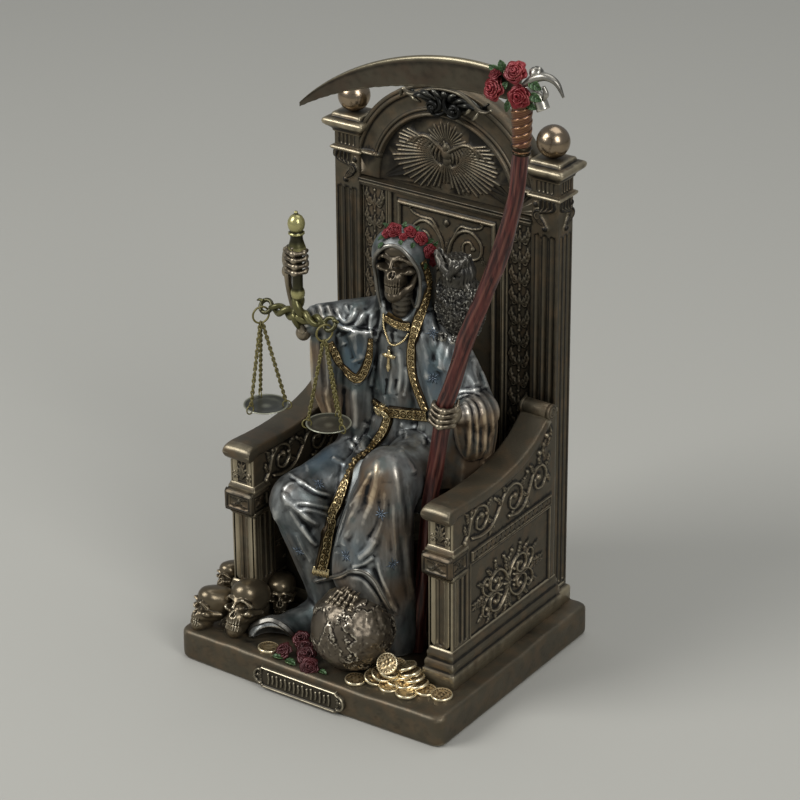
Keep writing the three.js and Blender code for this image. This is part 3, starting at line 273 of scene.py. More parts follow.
def ring(centre, radius, wire, normal, across=24, around=8):
    """A wire ring about the given normal."""
    a = np.arange(across) / across * TAU
    b = np.arange(around) / around * TAU
    r = radius + wire * np.cos(b)[None, :]
    p = np.stack([
        r * np.cos(a)[:, None],
        r * np.sin(a)[:, None],
        wire * np.sin(b)[None, :] * np.ones_like(a)[:, None],
    ], axis=-1)
    closed = np.concatenate([p, p[:1]])
    return net(closed, loop=True).turned(basis_to(normal)).moved(centre)


BAND_SINK = 1.2


def band(line, out, width, height, columns=9, relief=None):
    """A raised strip along a line, whose face looks along out at each point."""
    across = unit(np.cross(out, unit(np.gradient(line, axis=0))))
    s = np.concatenate([[0], np.cumsum(np.linalg.norm(np.diff(line, axis=0), axis=1))])
    u = np.linspace(-1, 1, columns)
    wide = np.broadcast_to(arr(width), (len(line),))[:, None] / 2
    lift = height * clamp((1 - np.abs(u)) * 5)[None, :] * np.ones((len(line), 1))
    if relief is not None:
        lift = lift + relief(s[:, None], u[None, :] * wide)
    lift[:, 0] = lift[:, -1] = -BAND_SINK
    p = line[:, None] + across[:, None] * (u[None, :] * wide)[..., None] + out[:, None] * lift[..., None]
    return net(p)


# Solids from a signed field

EDGES = [(a, b) for a in range(8) for b in range(a + 1, 8) if bin(a ^ b).count("1") == 1]
CORNERS = arr([[a & 1, a >> 1 & 1, a >> 2 & 1] for a in range(8)])


def carve(f, axes):
    """The surface where the field on a grid is zero, with the inside below zero."""
    f = f.copy()
    f[[0, -1]] = f[:, [0, -1]] = 1
    f[:, :, [0, -1]] = 1
    inside = f < 0
    size = arr(f.shape).astype(int) - 1

    def corner(values, k):
        i, j, l = CORNERS[k].astype(int)
        return values[i:size[0] + i, j:size[1] + j, l:size[2] + l]

    count = sum(corner(inside, k).astype(np.int8) for k in range(8))
    active = (count > 0) & (count < 8)
    cells = np.argwhere(active)
    index = np.full(active.shape, -1, dtype=np.int64)
    index[active] = np.arange(len(cells))
    values = np.stack([corner(f, k)[active] for k in range(8)], axis=1)
    place = np.zeros((len(cells), 3))
    weight = np.zeros(len(cells))
    for a, b in EDGES:
        crossed = (values[:, a] < 0) != (values[:, b] < 0)
        gap = np.where(crossed, values[:, a] - values[:, b], 1)
        t = np.where(crossed, values[:, a] / gap, 0)
        place += np.where(crossed[:, None], CORNERS[a] + (CORNERS[b] - CORNERS[a]) * t[:, None], 0)
        weight += crossed
    at = cells + place / weight[:, None]
    v = np.stack([np.interp(at[:, k], np.arange(len(axis)), axis) for k, axis in enumerate(axes)], axis=1)
    quads = []
    for k in range(3):
        a, b = (k + 1) % 3, (k + 2) % 3
        first = [slice(1, -1)] * 3
        first[k] = slice(0, -1)
        second = list(first)
        second[k] = slice(1, None)
        n0, n1 = inside[tuple(first)], inside[tuple(second)]
        at = np.argwhere(n0 != n1)
        leaving = n0[tuple(at.T)]
        base = np.zeros(3, dtype=int)
        base[a] = base[b] = 1
        at = at + base
        ea, eb = np.eye(3, dtype=int)[a], np.eye(3, dtype=int)[b]
        q = np.stack([index[tuple((at - d).T)] for d in (0 * ea, ea, ea + eb, eb)], axis=1)
        quads.append(np.where(leaving[:, None], q, q[:, ::-1]))
    return Shape(v, np.vstack(quads))


def blend_min(a, b, k):
    """The union of two fields with a fillet of about k."""
    h = clamp(0.5 + 0.5 * (b - a) / k)
    return b + (a - b) * h - k * h * (1 - h)


def blend_cut(a, b, k):
    """The first field with the second cut from it, softened by about k."""
    return -blend_min(-a, b, k)


def oval(x, y, z, centre, radii, turn=None):
    """The field of an ellipsoid, turned by a matrix when one is given."""
    p = [x - centre[0], y - centre[1], z - centre[2]]
    if turn is not None:
        p = [sum(turn[k][i] * p[k] for k in range(3)) for i in range(3)]
    k0 = np.sqrt(sum((p[i] / radii[i]) ** 2 for i in range(3)))
    return (k0 - 1) * min(radii)


def rod(x, y, z, points, radii):
    """The field of a round bar through points with a radius for each."""
    best = None
    for (a, b), (ra, rb) in zip(zip(points, points[1:]), zip(radii, radii[1:])):
        a, b = arr(a), arr(b)
        d = b - a
        t = ((x - a[0]) * d[0] + (y - a[1]) * d[1] + (z - a[2]) * d[2]) / (d @ d)
        t = clamp(t)
        gap = np.sqrt((x - a[0] - t * d[0]) ** 2 + (y - a[1] - t * d[1]) ** 2
                      + (z - a[2] - t * d[2]) ** 2) - (ra + (rb - ra) * t)
        best = gap if best is None else np.minimum(best, gap)
    return best


def neighbours(shape):
    """Pairs of vertices that share an edge, both ways round."""
    q, t = shape.q, shape.t
    pairs = np.vstack([q[:, [0, 1]], q[:, [1, 2]], q[:, [2, 3]], q[:, [3, 0]],
                       t[:, [0, 1]], t[:, [1, 2]], t[:, [2, 0]]])
    return np.vstack([pairs, pairs[:, ::-1]])


def relax(shape, rounds, strength=0.5):
    """The vertices moved towards the mean of their neighbours."""
    pairs = neighbours(shape)
    n = len(shape.v)
    count = np.maximum(np.bincount(pairs[:, 0], minlength=n), 1)
    v = shape.v.copy()
    for _ in range(rounds):
        mean = np.stack([
            np.bincount(pairs[:, 0], weights=v[pairs[:, 1], k], minlength=n) / count
            for k in range(v.shape[1])
        ], axis=1)
        v += (mean - v) * strength
    return v


def smoothed(shape, rounds=3):
    """The same surface without its steps, kept at its size."""
    v = shape.v
    for _ in range(rounds):
        v = relax(Shape(v, shape.q, shape.t), 1, 0.6)
        v = relax(Shape(v, shape.q, shape.t), 1, -0.62)
    return Shape(v, shape.q, shape.t)


def normals(shape):
    """The outward direction at each vertex."""
    v, n = shape.v, np.zeros_like(shape.v)
    for faces in (shape.q, shape.t):
        if len(faces):
            a = v[faces[:, 2]] - v[faces[:, 0]]
            b = v[faces[:, -1]] - v[faces[:, 1]]
            face = np.cross(a, b)
            for k in range(faces.shape[1]):
                for c in range(3):
                    n[:, c] += np.bincount(faces[:, k], weights=face[:, c], minlength=len(v))
    return unit(n)


# Relief: heights over a face, from its two coordinates

def near(a, b, line):
    """Distance to a polyline, and how far along it the nearest point lies."""
    p = arr(line)
    lengths = np.linalg.norm(np.diff(p, axis=0), axis=1)
    total = max(lengths.sum(), 1e-9)
    best = np.full(np.shape(a), 1e9)
    where = np.zeros(np.shape(a))
    run = 0.0
    for (u0, v0), (u1, v1), length in zip(p[:-1], p[1:], lengths):
        if length < 1e-9:
            continue
        du, dv = u1 - u0, v1 - v0
        t = clamp(((a - u0) * du + (b - v0) * dv) / length ** 2)
        d = np.hypot(a - u0 - t * du, b - v0 - t * dv)
        closer = d < best
        best = np.where(closer, d, best)
        where = np.where(closer, (run + t * length) / total, where)
        run += length
    return best, where


def within(a, b, line, reach, make):
    """make(a, b) close to the line, and zero further off than reach."""
    p = arr(line)
    low, high = p.min(axis=0) - reach, p.max(axis=0) + reach
    mask = (a >= low[0]) & (a <= high[0]) & (b >= low[1]) & (b <= high[1])
    height = np.zeros(np.shape(a))
    if mask.any():
        height[mask] = make(a[mask], b[mask])
    return height


def cord(a, b, line, width, height, taper=0.0):
    """A raised round cord, thinner towards its end by the taper."""
    def make(u, v):
        d, t = near(u, v, line)
        w = np.maximum(width / 2 * (1 - taper * t), 0.05)
        return height * (1 - taper * t * 0.5) * dome(d / w)
    return within(a, b, line, width, make)


def spiral(u, v, radius, start, turns, count=28, tight=0.8):
    t = np.linspace(0, 1, count)
    angle = start + turns * TAU * t
    r = radius * (1 - tight * t)
    return np.stack([u + r * np.cos(angle), v + r * np.sin(angle)], axis=1)


def frond(a, b, base, tip, width, height, lobes=4, curl=0.0):
    """A carved leaf with a midrib and scalloped sides, bent sideways by curl."""
    p, q = arr(base), arr(tip)
    length = np.linalg.norm(q - p)
    ahead = (q - p) / length
    side = arr([-ahead[1], ahead[0]])
    middle = (p + q) / 2 + side * curl * length
    line = spline([p, middle, q], 9)

    def make(u, v):
        d, t = near(u, v, line)
        half = width / 2 * np.sin(math.pi * np.clip(t, 0.02, 1) ** 0.75) ** 0.8
        half = np.maximum(half * (0.82 + 0.18 * np.cos(TAU * lobes * t)), 0.05)
        body = dome(d / half)
        rib = 1 - 0.35 * bell(d / (0.12 * width))
        veins = 1 - 0.25 * clamp(np.cos(TAU * (lobes * 1.5 * t - d / width * 1.6)))
        return height * body * rib * veins
    return within(a, b, line, width, make)


def bead(a, b, u, v, radius, height):
    """A raised round bead at u, v."""
    d = np.hypot(a - u, b - v)
    return height * dome(d / radius)


def flower(a, b, u, v, radius, height, petals=5):
    """A flat flower with a bead at its heart."""
    d = np.hypot(a - u, b - v)
    angle = np.arctan2(b - v, a - u)
    edge = radius * (0.8 + 0.2 * np.cos(petals * angle))
    h = height * dome(d / edge) * (0.75 + 0.25 * np.cos(petals * angle))
    return np.maximum(h, bead(a, b, u, v, radius * 0.3, height * 1.15))


def inside_box(a, b, u0, u1, v0, v1):
    """Distance inwards from the sides of a rectangle, below zero outside it."""
    return np.minimum(np.minimum(a - u0, u1 - a), np.minimum(b - v0, v1 - b))


def highest(*heights):
    out = heights[0]
    for h in heights[1:]:
        out = np.maximum(out, h)
    return out


def grooves(a, b, u0, u1, count, v0, v1, depth, fill=0.62):
    """Round-ended flutes cut along v, evenly spaced between u0 and u1."""
    pitch = (u1 - u0) / count
    r = pitch * fill / 2
    local = (a - u0) % pitch - pitch / 2
    over = np.maximum(np.maximum(v0 + r - b, b - v1 + r), 0)
    d = np.hypot(local, over)
    cut = -depth * dome(d / r)
    return np.where((a > u0) & (a < u1), cut, 0)


FACES = {
    "-x": (0, -1, 1, 2), "+x": (0, 1, 1, 2),
    "-y": (1, -1, 0, 2), "+y": (1, 1, 0, 2),
    "-z": (2, -1, 0, 1), "+z": (2, 1, 0, 1),
}


def ticks(low, high, step, soft, fine=()):
    """Grid lines between two ends, closer at the ends and in fine zones."""
    line = list(np.linspace(low, high, max(2, int(math.ceil((high - low) / step)) + 1)))
    line += [low + soft * 0.35, low + soft, high - soft, high - soft * 0.35]
    for start, end, close in fine:
        start, end = max(start, low), min(end, high)
        line += list(np.linspace(start, end, max(2, int(math.ceil((end - start) / close)) + 1)))
    line = np.unique(np.round(line, 4))
    keep = [line[0]]
    for value in line[1:-1]:
        if value - keep[-1] > 0.09 and line[-1] - value > 0.09:
            keep.append(value)
    return arr(keep + [line[-1]])


def carved_block(low, high, step=4.0, soft=0.5, fine=((), (), ()), reliefs=None):
    """A block with softened edges whose faces carry relief heights in mm.

    fine holds, for x, y and z, zones (start, end, spacing) of closer lines.
    """
    reliefs = reliefs or {}
    lines = [ticks(low[k], high[k], step, soft, fine[k]) for k in range(3)]
    shapes = []
    for name, (axis, sign, ia, ib) in FACES.items():
        a, b = np.meshgrid(lines[ia], lines[ib], indexing="ij")
        height = reliefs[name](a, b) if name in reliefs else np.zeros_like(a)
        p = np.zeros(a.shape + (3,))
        p[..., ia], p[..., ib] = a, b
        p[..., axis] = (high if sign > 0 else low)[axis] + sign * height
        for k, grid in ((ia, a), (ib, b)):
            for end, way in ((low[k], 1), (high[k], -1)):
                pull = clamp(1 - np.abs(grid - end) / soft) ** 2 * soft * 0.3
                p[..., k] += way * pull
                p[..., axis] -= sign * pull
        face = net(p)
        a3, b3 = np.eye(3)[ia], np.eye(3)[ib]
        if np.cross(a3, b3)[axis] * sign < 0:
            face = Shape(face.v, face.q[:, ::-1])
        shapes.append(face)
    return merge(shapes)


def kerb(x0, x1, y0, y1, profile, corner=0.5, pitch=4.0):
    """A moulding that runs round a rectangle, from [out, z] points."""
    nx = max(1, int((x1 - x0) / pitch))
    ny = max(1, int((y1 - y0) / pitch))
    loops = []
    for out, z in profile:
        arcs = []
        for sx, sy, quarter in ((1, 1, 0), (-1, 1, 1), (-1, -1, 2), (1, -1, 3)):
            cx = (x1 if sx > 0 else x0) + sx * (out - corner)
            cy = (y1 if sy > 0 else y0) + sy * (out - corner)
            turns = [(quarter + k / 2) * math.pi / 2 for k in range(3)]
            arcs.append([[cx + corner * math.cos(a), cy + corner * math.sin(a)] for a in turns])
        loop = []
        for i, count in enumerate((nx, ny, nx, ny)):
            start, end = arr(arcs[i][-1]), arr(arcs[(i + 1) % 4][0])
            loop += arcs[i] + [list(start + (end - start) * k / count) for k in range(1, count)]
        loops.append([[x, y, z] for x, y in loop])
    return rings(loops)


# Vertices this near each other, in millimetres, count as one.
WELD_GRAIN = 0.002


def weld(shape):
    """The same shape with vertices at one place made one."""
    key = np.round(shape.v / WELD_GRAIN).astype(np.int64)
    _, first, back = np.unique(key, axis=0, return_index=True, return_inverse=True)
    back = back.reshape(-1)
    q, t = back[shape.q], back[shape.t]
    if len(q):
        q = q[(q[:, 0] != q[:, 2]) & (q[:, 1] != q[:, 3])]
        whole = (q[:, 0] != q[:, 1]) & (q[:, 1] != q[:, 2]) & (q[:, 2] != q[:, 3]) & (q[:, 3] != q[:, 0])
        thin = q[~whole]
        rest = [[i for k, i in enumerate(face) if i != face[k - 1]] for face in thin]
        t = np.vstack([t] + [np.asarray([face]) for face in rest if len(face) == 3])
        q = q[whole]
    if len(t):
        t = t[(t[:, 0] != t[:, 1]) & (t[:, 1] != t[:, 2]) & (t[:, 2] != t[:, 0])]
    return Shape(shape.v[first], q, t)


# Pieces and their paint

# Spans for small pieces of high relief.
FINE = ((1, 0.14), (5, 0.55))


def ridge_of(shape, spans=((1, 0.045), (5, 0.17))):
    """How far each vertex stands out of its surroundings: 0.5 is level.

    spans holds rounds of smoothing, each with the height in mm that counts as full.
    """
    n = normals(shape)
    total = np.zeros(len(shape.v))
    for rounds, size in spans:
        over = ((shape.v - relax(shape, rounds)) * n).sum(axis=1)
        total += np.tanh(over / size) / len(spans)
    return 0.5 + 0.5 * total


# Pieces of more triangles than this keep a share of them.
DENSE = 40000
THINNED = 0.42


def thin_out(made):
    """Merges the faces of a dense piece where it is flattest."""
    thinner = made.modifiers.new("thinner", "DECIMATE")
    thinner.ratio = THINNED
    graph = bpy.context.evaluated_depsgraph_get()
    thin = bpy.data.meshes.new_from_object(made.evaluated_get(graph))
    made.modifiers.clear()
    made.data = thin


def piece(name, shape, material, slot, rounds=None, tone=None, dim=None):
    """Makes a shape an object of its own that rides with the statuette."""
    shape = weld(shape)
    mesh = bpy.data.meshes.new(name)
    v = shape.v * MM
    mesh.vertices.add(len(v))
    mesh.vertices.foreach_set("co", v.ravel())
    loops = np.concatenate([shape.q.ravel(), shape.t.ravel()]).astype(np.int32)
    sizes = np.concatenate([np.full(len(shape.q), 4), np.full(len(shape.t), 3)]).astype(np.int32)
    mesh.loops.add(len(loops))
    mesh.loops.foreach_set("vertex_index", loops)
    mesh.polygons.add(len(sizes))
    starts = np.concatenate([[0], np.cumsum(sizes)[:-1]]).astype(np.int32)
    mesh.polygons.foreach_set("loop_start", starts)
    mesh.polygons.foreach_set("loop_total", sizes)
    mesh.update(calc_edges=True)
    mesh.shade_smooth()
    ridge = ridge_of(shape, rounds) if rounds else ridge_of(shape)
    # Painted shade: the ridge value is lowered here, which darkens the paint.
    if dim is not None:
        ridge = ridge - dim(shape.v)
    layer = mesh.attributes.new("ridge", "FLOAT", "POINT")
    layer.data.foreach_set("value", ridge.astype(np.float32))
    if tone is not None:
        layer = mesh.attributes.new("tone", "FLOAT", "POINT")
        layer.data.foreach_set("value", tone(shape.v).astype(np.float32))
    mesh.materials.append(material)
    made = bpy.data.objects.new(name, mesh)
    bpy.context.scene.collection.objects.link(made)
    if len(loops) - 2 * len(sizes) > DENSE:
        thin_out(made)
    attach(made, "root")
    return made


def srgb(r, g, b):
    """A colour of 0 to 255 as linear red, green, blue and alpha."""
    def linear(c):
        c /= 255
        return c / 12.92 if c <= 0.04045 else ((c + 0.055) / 1.055) ** 2.4
    return (linear(r), linear(g), linear(b), 1.0)


class Paint:
    """A procedural material built up node by node."""

    def __init__(self, name, metallic=0.0, roughness=0.5):
        self.material = bpy.data.materials.new(name)
        self.material.use_nodes = True
        self.tree = self.material.node_tree
        self.shader = self.tree.nodes["Principled BSDF"]
        self.shader.inputs["Metallic"].default_value = metallic
        self.shader.inputs["Roughness"].default_value = roughness
        self.place = self.node("ShaderNodeTexCoord").outputs["Object"]

    def node(self, kind, **settings):
        made = self.tree.nodes.new(kind)
        for key, value in settings.items():
            setattr(made, key, value)
        return made

    def feed(self, target, value):
        if isinstance(value, bpy.types.NodeSocket):
            self.tree.links.new(value, target)
        else:
            target.default_value = value

    def noise(self, size, detail=3.0, stretch=(1, 1, 1), seed=0.0):
        """Noise whose patches are about size mm across."""
        mapping = self.node("ShaderNodeMapping")
        self.feed(mapping.inputs["Vector"], self.place)
        mapping.inputs["Scale"].default_value = [s / (size * MM) for s in stretch]
        mapping.inputs["Location"].default_value = (seed, seed * 0.7, seed * 1.3)
        made = self.node("ShaderNodeTexNoise")
        self.feed(made.inputs["Vector"], mapping.outputs["Vector"])
        made.inputs["Scale"].default_value = 1.0
        made.inputs["Detail"].default_value = detail
        return made.outputs["Fac"]

    def value_of(self, name):
        return self.node("ShaderNodeAttribute", attribute_name=name).outputs["Fac"]

    def added(self, value, amount, base):
        """The base with an amount of the value added to it."""
        made = self.node("ShaderNodeMath", operation="MULTIPLY_ADD")
        self.feed(made.inputs[0], value)
        made.inputs[1].default_value = amount
        self.feed(made.inputs[2], base)
        return made.outputs[0]

    def mix(self, factor, first, second, mode="MIX"):
        made = self.node("ShaderNodeMix", data_type="RGBA", blend_type=mode)
        by_name = {socket.identifier: socket for socket in made.inputs}
        self.feed(by_name["Factor_Float"], factor)
        self.feed(by_name["A_Color"], first)
        self.feed(by_name["B_Color"], second)
        return {socket.identifier: socket for socket in made.outputs}["Result_Color"]

    def level(self, source, low, high, to_low=0.0, to_high=1.0):
        made = self.node("ShaderNodeMapRange")
        self.feed(made.inputs["Value"], source)
        for key, value in (("From Min", low), ("From Max", high), ("To Min", to_low), ("To Max", to_high)):
            made.inputs[key].default_value = value
        return made.outputs["Result"]

    def bump(self, height, strength, distance):
        made = self.node("ShaderNodeBump")
        made.inputs["Strength"].default_value = strength
        made.inputs["Distance"].default_value = distance * MM
        self.feed(made.inputs["Height"], height)
        self.feed(self.shader.inputs["Normal"], made.outputs["Normal"])

    def color(self, value):
        self.feed(self.shader.inputs["Base Color"], value)

    def roughness(self, value):
        self.feed(self.shader.inputs["Roughness"], value)


def cast_paint(name, dark, base, light, metallic=0.7, rough=(0.5, 0.3), patch=None,
               patch_size=9.0, patch_amount=0.5, start=0.72, grain=0.35, speck=0.12):
    """Metallic paint, darker in the hollows and paler on the high places: partly the cast's own dark wash
    and dry-brushed finish, and partly painted shade in the hollows and painted highlight on the high places.
    """
    paint = Paint(name, metallic)
    ridge = paint.value_of("ridge")
    broken = paint.added(paint.noise(3.2, 4.0, seed=3.1), speck, ridge)
    base_color = base
    if patch is not None:
        amount = paint.level(paint.noise(patch_size, 3.0, seed=8.4), 0.45, 0.68, 0.0, patch_amount)
        base_color = paint.mix(amount, base, patch)
    # Painted shade where the ridge value is low and painted highlight where it is high, on top of the
    # finish's own dark wash and dry-brushing.
    shade = paint.level(broken, 0.5 + speck / 2, 0.28 + speck / 2)
    lit = paint.level(broken, start + speck / 2, start + 0.24 + speck / 2)
    color = paint.mix(shade, base_color, dark)
    color = paint.mix(lit, color, light)
    cloud = paint.level(paint.noise(14.0, 2.0, seed=5.5), 0.3, 0.7, 0.86, 1.1)
    tint = paint.node("ShaderNodeCombineColor")
    for k in range(3):
        paint.feed(tint.inputs[k], cloud)
    color = paint.mix(1.0, color, tint.outputs[0], "MULTIPLY")
    paint.color(color)
    paint.roughness(paint.level(lit, 0.0, 1.0, rough[0], rough[1]))
    paint.bump(paint.noise(0.8, 3.0, seed=1.7), grain, 0.12)
    return paint.material


def flat_paint(name, color, rough):
    """A plain matt material."""
    paint = Paint(name, 0.0, rough)
    paint.shader.inputs["Base Color"].default_value = color
    return paint.material


def slab(points, back):
    """A closed body: a grid of points, its border carried by back, and a cap."""
    p = arr(points)
    n, m = p.shape[:2]
    front = net(p)
    border = list(range(m))
    border += [i * m + m - 1 for i in range(1, n)]
    border += [(n - 1) * m + j for j in range(m - 2, -1, -1)]
    border += [i * m for i in range(n - 2, 0, -1)]
    border = np.asarray(border)
    base = n * m
    count = len(border)
    far = front.v[border] + arr(back)
    i = np.arange(count)
    k = (i + 1) % count
    side = np.stack([border[k], border[i], base + i, base + k], axis=1)
    cap = np.stack([base + k, base + i, np.full(count, base + count)], axis=1)
    v = np.vstack([front.v, far, far.mean(axis=0)[None]])
    return outward(Shape(v, np.vstack([front.q, side]), cap))


def grid(a, b, place, height):
    """Points place(a, b, height(a, b)) over two lists of lines."""
    u, v = np.meshgrid(a, b, indexing="ij")
    return np.stack(np.broadcast_arrays(*place(u, v, height(u, v))), axis=-1)


def lines(low, high, step):
    """Evenly spaced places from low to high, about a step apart."""
    return np.linspace(low, high, max(2, int(round((high - low) / step)) + 1))


def both(shape):
    """The shape and its mirror image across the middle."""
    return merge([shape, shape.mirrored()])


# Paints

BRONZE = cast_paint(
    "bronze", srgb(32, 29, 24), srgb(84, 77, 63), srgb(156, 145, 121), start=0.75,
    metallic=0.7, rough=(0.45, 0.3), patch=srgb(102, 86, 66), patch_size=6.0, patch_amount=0.75,
    grain=0.6, speck=0.2,
)
PALE_BRONZE = cast_paint(
    "pale_bronze", srgb(24, 22, 18), srgb(78, 72, 60), srgb(176, 166, 142),
    metallic=0.8, rough=(0.38, 0.26), start=0.62,
)
CREST_METAL = cast_paint(
    "dark_crest", srgb(9, 9, 9), srgb(34, 34, 32), srgb(130, 128, 118),
    metallic=0.85, rough=(0.36, 0.26), start=0.78,
)

# The throne's planes

POST_IN, POST_OUT = 39.5, 51.4
POST_MID = (POST_IN + POST_OUT) / 2
POST_FRONT, POST_REAR = 41.7, 52.5
BACK_FRONT, BACK_REAR = 43.5, 51.5
FLOOR = 12.7
SEAT_FRONT, SEAT_TOP = -10.8, 62.7
ARM_IN, ARM_OUT = 40.7, 51.9
ARM_MID = (ARM_IN + ARM_OUT) / 2
ARM_FRONT, ARM_TOP, ARM_RISE = -30.2, 88.2, 12.5
BAND_LOW, BAND_HIGH = 59.7, 69.0
PILASTER_REAR = ARM_FRONT + 10.5
ASTRAGAL, POST_TOP = 186.4, 201.5
BEAM_LOW, BEAM_HIGH = 175.2, 177.1
ARCH_Z, LUNETTE, BEAD_RIM, ARCH_RIM = 178.0, 31.0, 33.0, 44.0
IMPOST = 187.6


def throne_piece(name, shape, material=None, **options):
    made = piece(name, shape, material or BRONZE, "bronze_resin", **options)
    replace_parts(made, "throne")


PLINTH_HALF_X, PLINTH_HALF_Y, PLINTH_CORNER, PLINTH_BOW = 61.95, 53.5, 3.8, 0.9
TOP_HALF_X, TOP_HALF_Y, TOP_CORNER = 59.7, 51.3, 3.4


def plinth_loop(half_x, half_y, corner):
    """Points round the plinth, whose front bows out a little."""
    loop = []
    for quarter, (sx, sy) in enumerate(((1, 1), (-1, 1), (-1, -1), (1, -1))):
        for k in range(6):
            angle = (quarter + k / 5) * math.pi / 2
            loop.append([sx * (half_x - corner) + corner * math.cos(angle),
                         sy * (half_y - corner) + corner * math.sin(angle)])
        start = arr(loop[-1])
        if quarter % 2 == 0:
            end, count = arr([-sx * (half_x - corner), sy * half_y]), 78
        else:
            end, count = arr([sx * half_x, -sy * (half_y - corner)]), 66
        loop += [list(start + (end - start) * k / count) for k in range(1, count)]
    loop = arr(loop)
    share = clamp(1 - (loop[:, 0] / half_x) ** 2)
    loop[:, 1] -= PLINTH_BOW * share * clamp(-loop[:, 1] / half_y) ** 4
    return loop


def make_plinth():
    levels = [(0, 1.0), (0.35, 0.4), (1.1, 0.05)]
    levels += [(z, 0.0) for z in np.arange(2, 11, 0.9)]
    levels += [(11.3, 0.06), (11.9, 0.28), (12.35, 0.7), (12.62, 1.3), (FLOOR, 2.2)]
    loops = []
    for z, inset in levels:
        loop = plinth_loop(PLINTH_HALF_X - inset, PLINTH_HALF_Y - inset, PLINTH_CORNER)
        loops.append(np.column_stack([loop, np.full(len(loop), z)]))
    for share in (0.9, 0.78, 0.6, 0.4, 0.2, 0.08):
        loop = plinth_loop(TOP_HALF_X * share, TOP_HALF_Y * share, TOP_CORNER * share)
        loops.append(np.column_stack([loop, np.full(len(loop), FLOOR)]))
    shape = rings(loops)
    v = shape.v
    worn = wobble(v, 26, 1) * 0.22 + wobble(v, 9, 2) * 0.1
    top = clamp((v[:, 2] - 9) / 3.7)
    away = clamp(v[:, 2] / 3)
    rim = np.maximum(np.abs(v[:, 0]) / PLINTH_HALF_X, np.abs(v[:, 1]) / PLINTH_HALF_Y)
    rim = np.clip(rim - 0.9, 0, 0.1) * 10
    v[:, 2] += worn * top * rim * 1.4
    v[:, :2] *= 1 - (0.35 + worn * rim * away)[:, None] * 0.006
    v += unit(normals(shape)) * (0.09 * crumbly(v, 5.0) * away)[:, None]
    throne_piece("plinth", shape, rounds=((1, 0.1), (2, 0.3)))


def front(a, b, height, plane):
    """A place on a face that looks towards the front."""
    return a, plane - height, b


def lifted(base, profile):
    """[out, z] points whose z counts from a base."""
    return [(out, base + z) for out, z in profile]


def capital(a, b, middle, way):
    """Strands that sweep down from the astragal and curl into a bulb."""
    top, low = ASTRAGAL - 0.4, ASTRAGAL - 12.6
    out = np.zeros_like(a)
    for k in range(4):
        x = middle + way * (-4.3 + 1.9 * k)
        belly = middle + way * (2.8 - 0.2 * k)
        line = spline([
            [x, top], [x + way * 0.2, top - 3.2], [belly, top - 5.6 - k * 0.25],
            [middle + way * (3.0 - k * 0.9), top - 8.6], [middle - way * 0.6, low + 1.4],
        ], 24)
        out = highest(out, cord(a, b, line, 1.5, 1.25, 0.35))
    curl = spiral(middle + way * 2.6, top - 6.6, 2.3, 1.2, -way * 1.1)
    leaf_edge = cord(a, b, curl, 1.3, 1.3, 0.3)
    ball_end = bead(a, b, middle - way * 0.4, low + 0.9, 1.35, 1.5)
    root = bead(a, b, middle + way * 3.9, top - 2.4, 1.2, 0.9)
    return highest(out, leaf_edge, ball_end, root)


def post_front(a, b):
    flutes = grooves(a, b, POST_IN + 1.2, POST_OUT - 0.9, 3, 21.5, 171.5, 0.85, 0.6)
    neck = grooves(a, b, POST_IN + 2.2, POST_OUT - 2.2, 4, 188.9, 193.4, 0.6, 0.6)
    return flutes + neck + capital(a, b, POST_MID, -1)


def post_side(a, b):
    flutes = grooves(a, b, POST_FRONT + 1.1, POST_REAR - 1.1, 3, 21.5, 171.5, 0.8, 0.58)
    neck = grooves(a, b, POST_FRONT + 1.8, POST_REAR - 1.8, 4, 188.9, 193.4, 0.6, 0.6)
    middle = (POST_FRONT + POST_REAR) / 2
    return flutes + neck + capital(a, b, middle, 1)


def make_posts():
    fine_z = ((20.5, 24, 0.5), (168, 194.5, 0.3))
    fine = (((POST_IN, POST_OUT, 0.3),), ((POST_FRONT, POST_REAR, 0.3),), fine_z)
    shaft = carved_block(
        (POST_IN, POST_FRONT, FLOOR - 0.5), (POST_OUT, POST_REAR, 195), 4.0, 0.5, fine,
        {"-y": post_front, "+x": post_side},
    )
    rect = (POST_IN, POST_OUT, POST_FRONT, POST_REAR)
    cap = kerb(*rect, [
        (-1, 193.4), (0.1, 193.5), (0.6, 193.9), (0.7, 194.6), (1.0, 195.1), (1.9, 195.9), (2.9, 196.6),
        (3.5, 197.3), (3.7, 198.1), (3.6, 198.9), (3.1, 199.4), (2.0, 199.75), (1.2, 199.9),
        (0.95, 200.1), (0.85, 200.7), (0.6, 201.3), (0.1, POST_TOP), (-3, POST_TOP),
    ], 0.7, 1.2)
    astragal = kerb(*rect, lifted(ASTRAGAL, [
        (-0.5, -0.5), (0.4, -0.3), (1.1, 0.1), (1.5, 0.7), (1.4, 1.2), (0.7, 1.6), (0.2, 1.9), (-0.5, 2.1),
    ]), 0.5, 1.2)
    foot = kerb(POST_IN, POST_OUT, POST_FRONT, POST_REAR - 2.2, lifted(FLOOR, [
        (-2, -0.6), (2.2, -0.5), (2.2, 5.4), (2.0, 6.2), (1.4, 6.7), (0.7, 7.1), (0.3, 8), (-1, 8.6),
    ]), 0.5, 1.5)
    worn = merge([cap, astragal, foot])
    worn.v += unit(normals(worn)) * (wobble(worn.v, 5, 3) * 0.05)[:, None]
    throne_piece("posts", both(merge([shaft, worn])))


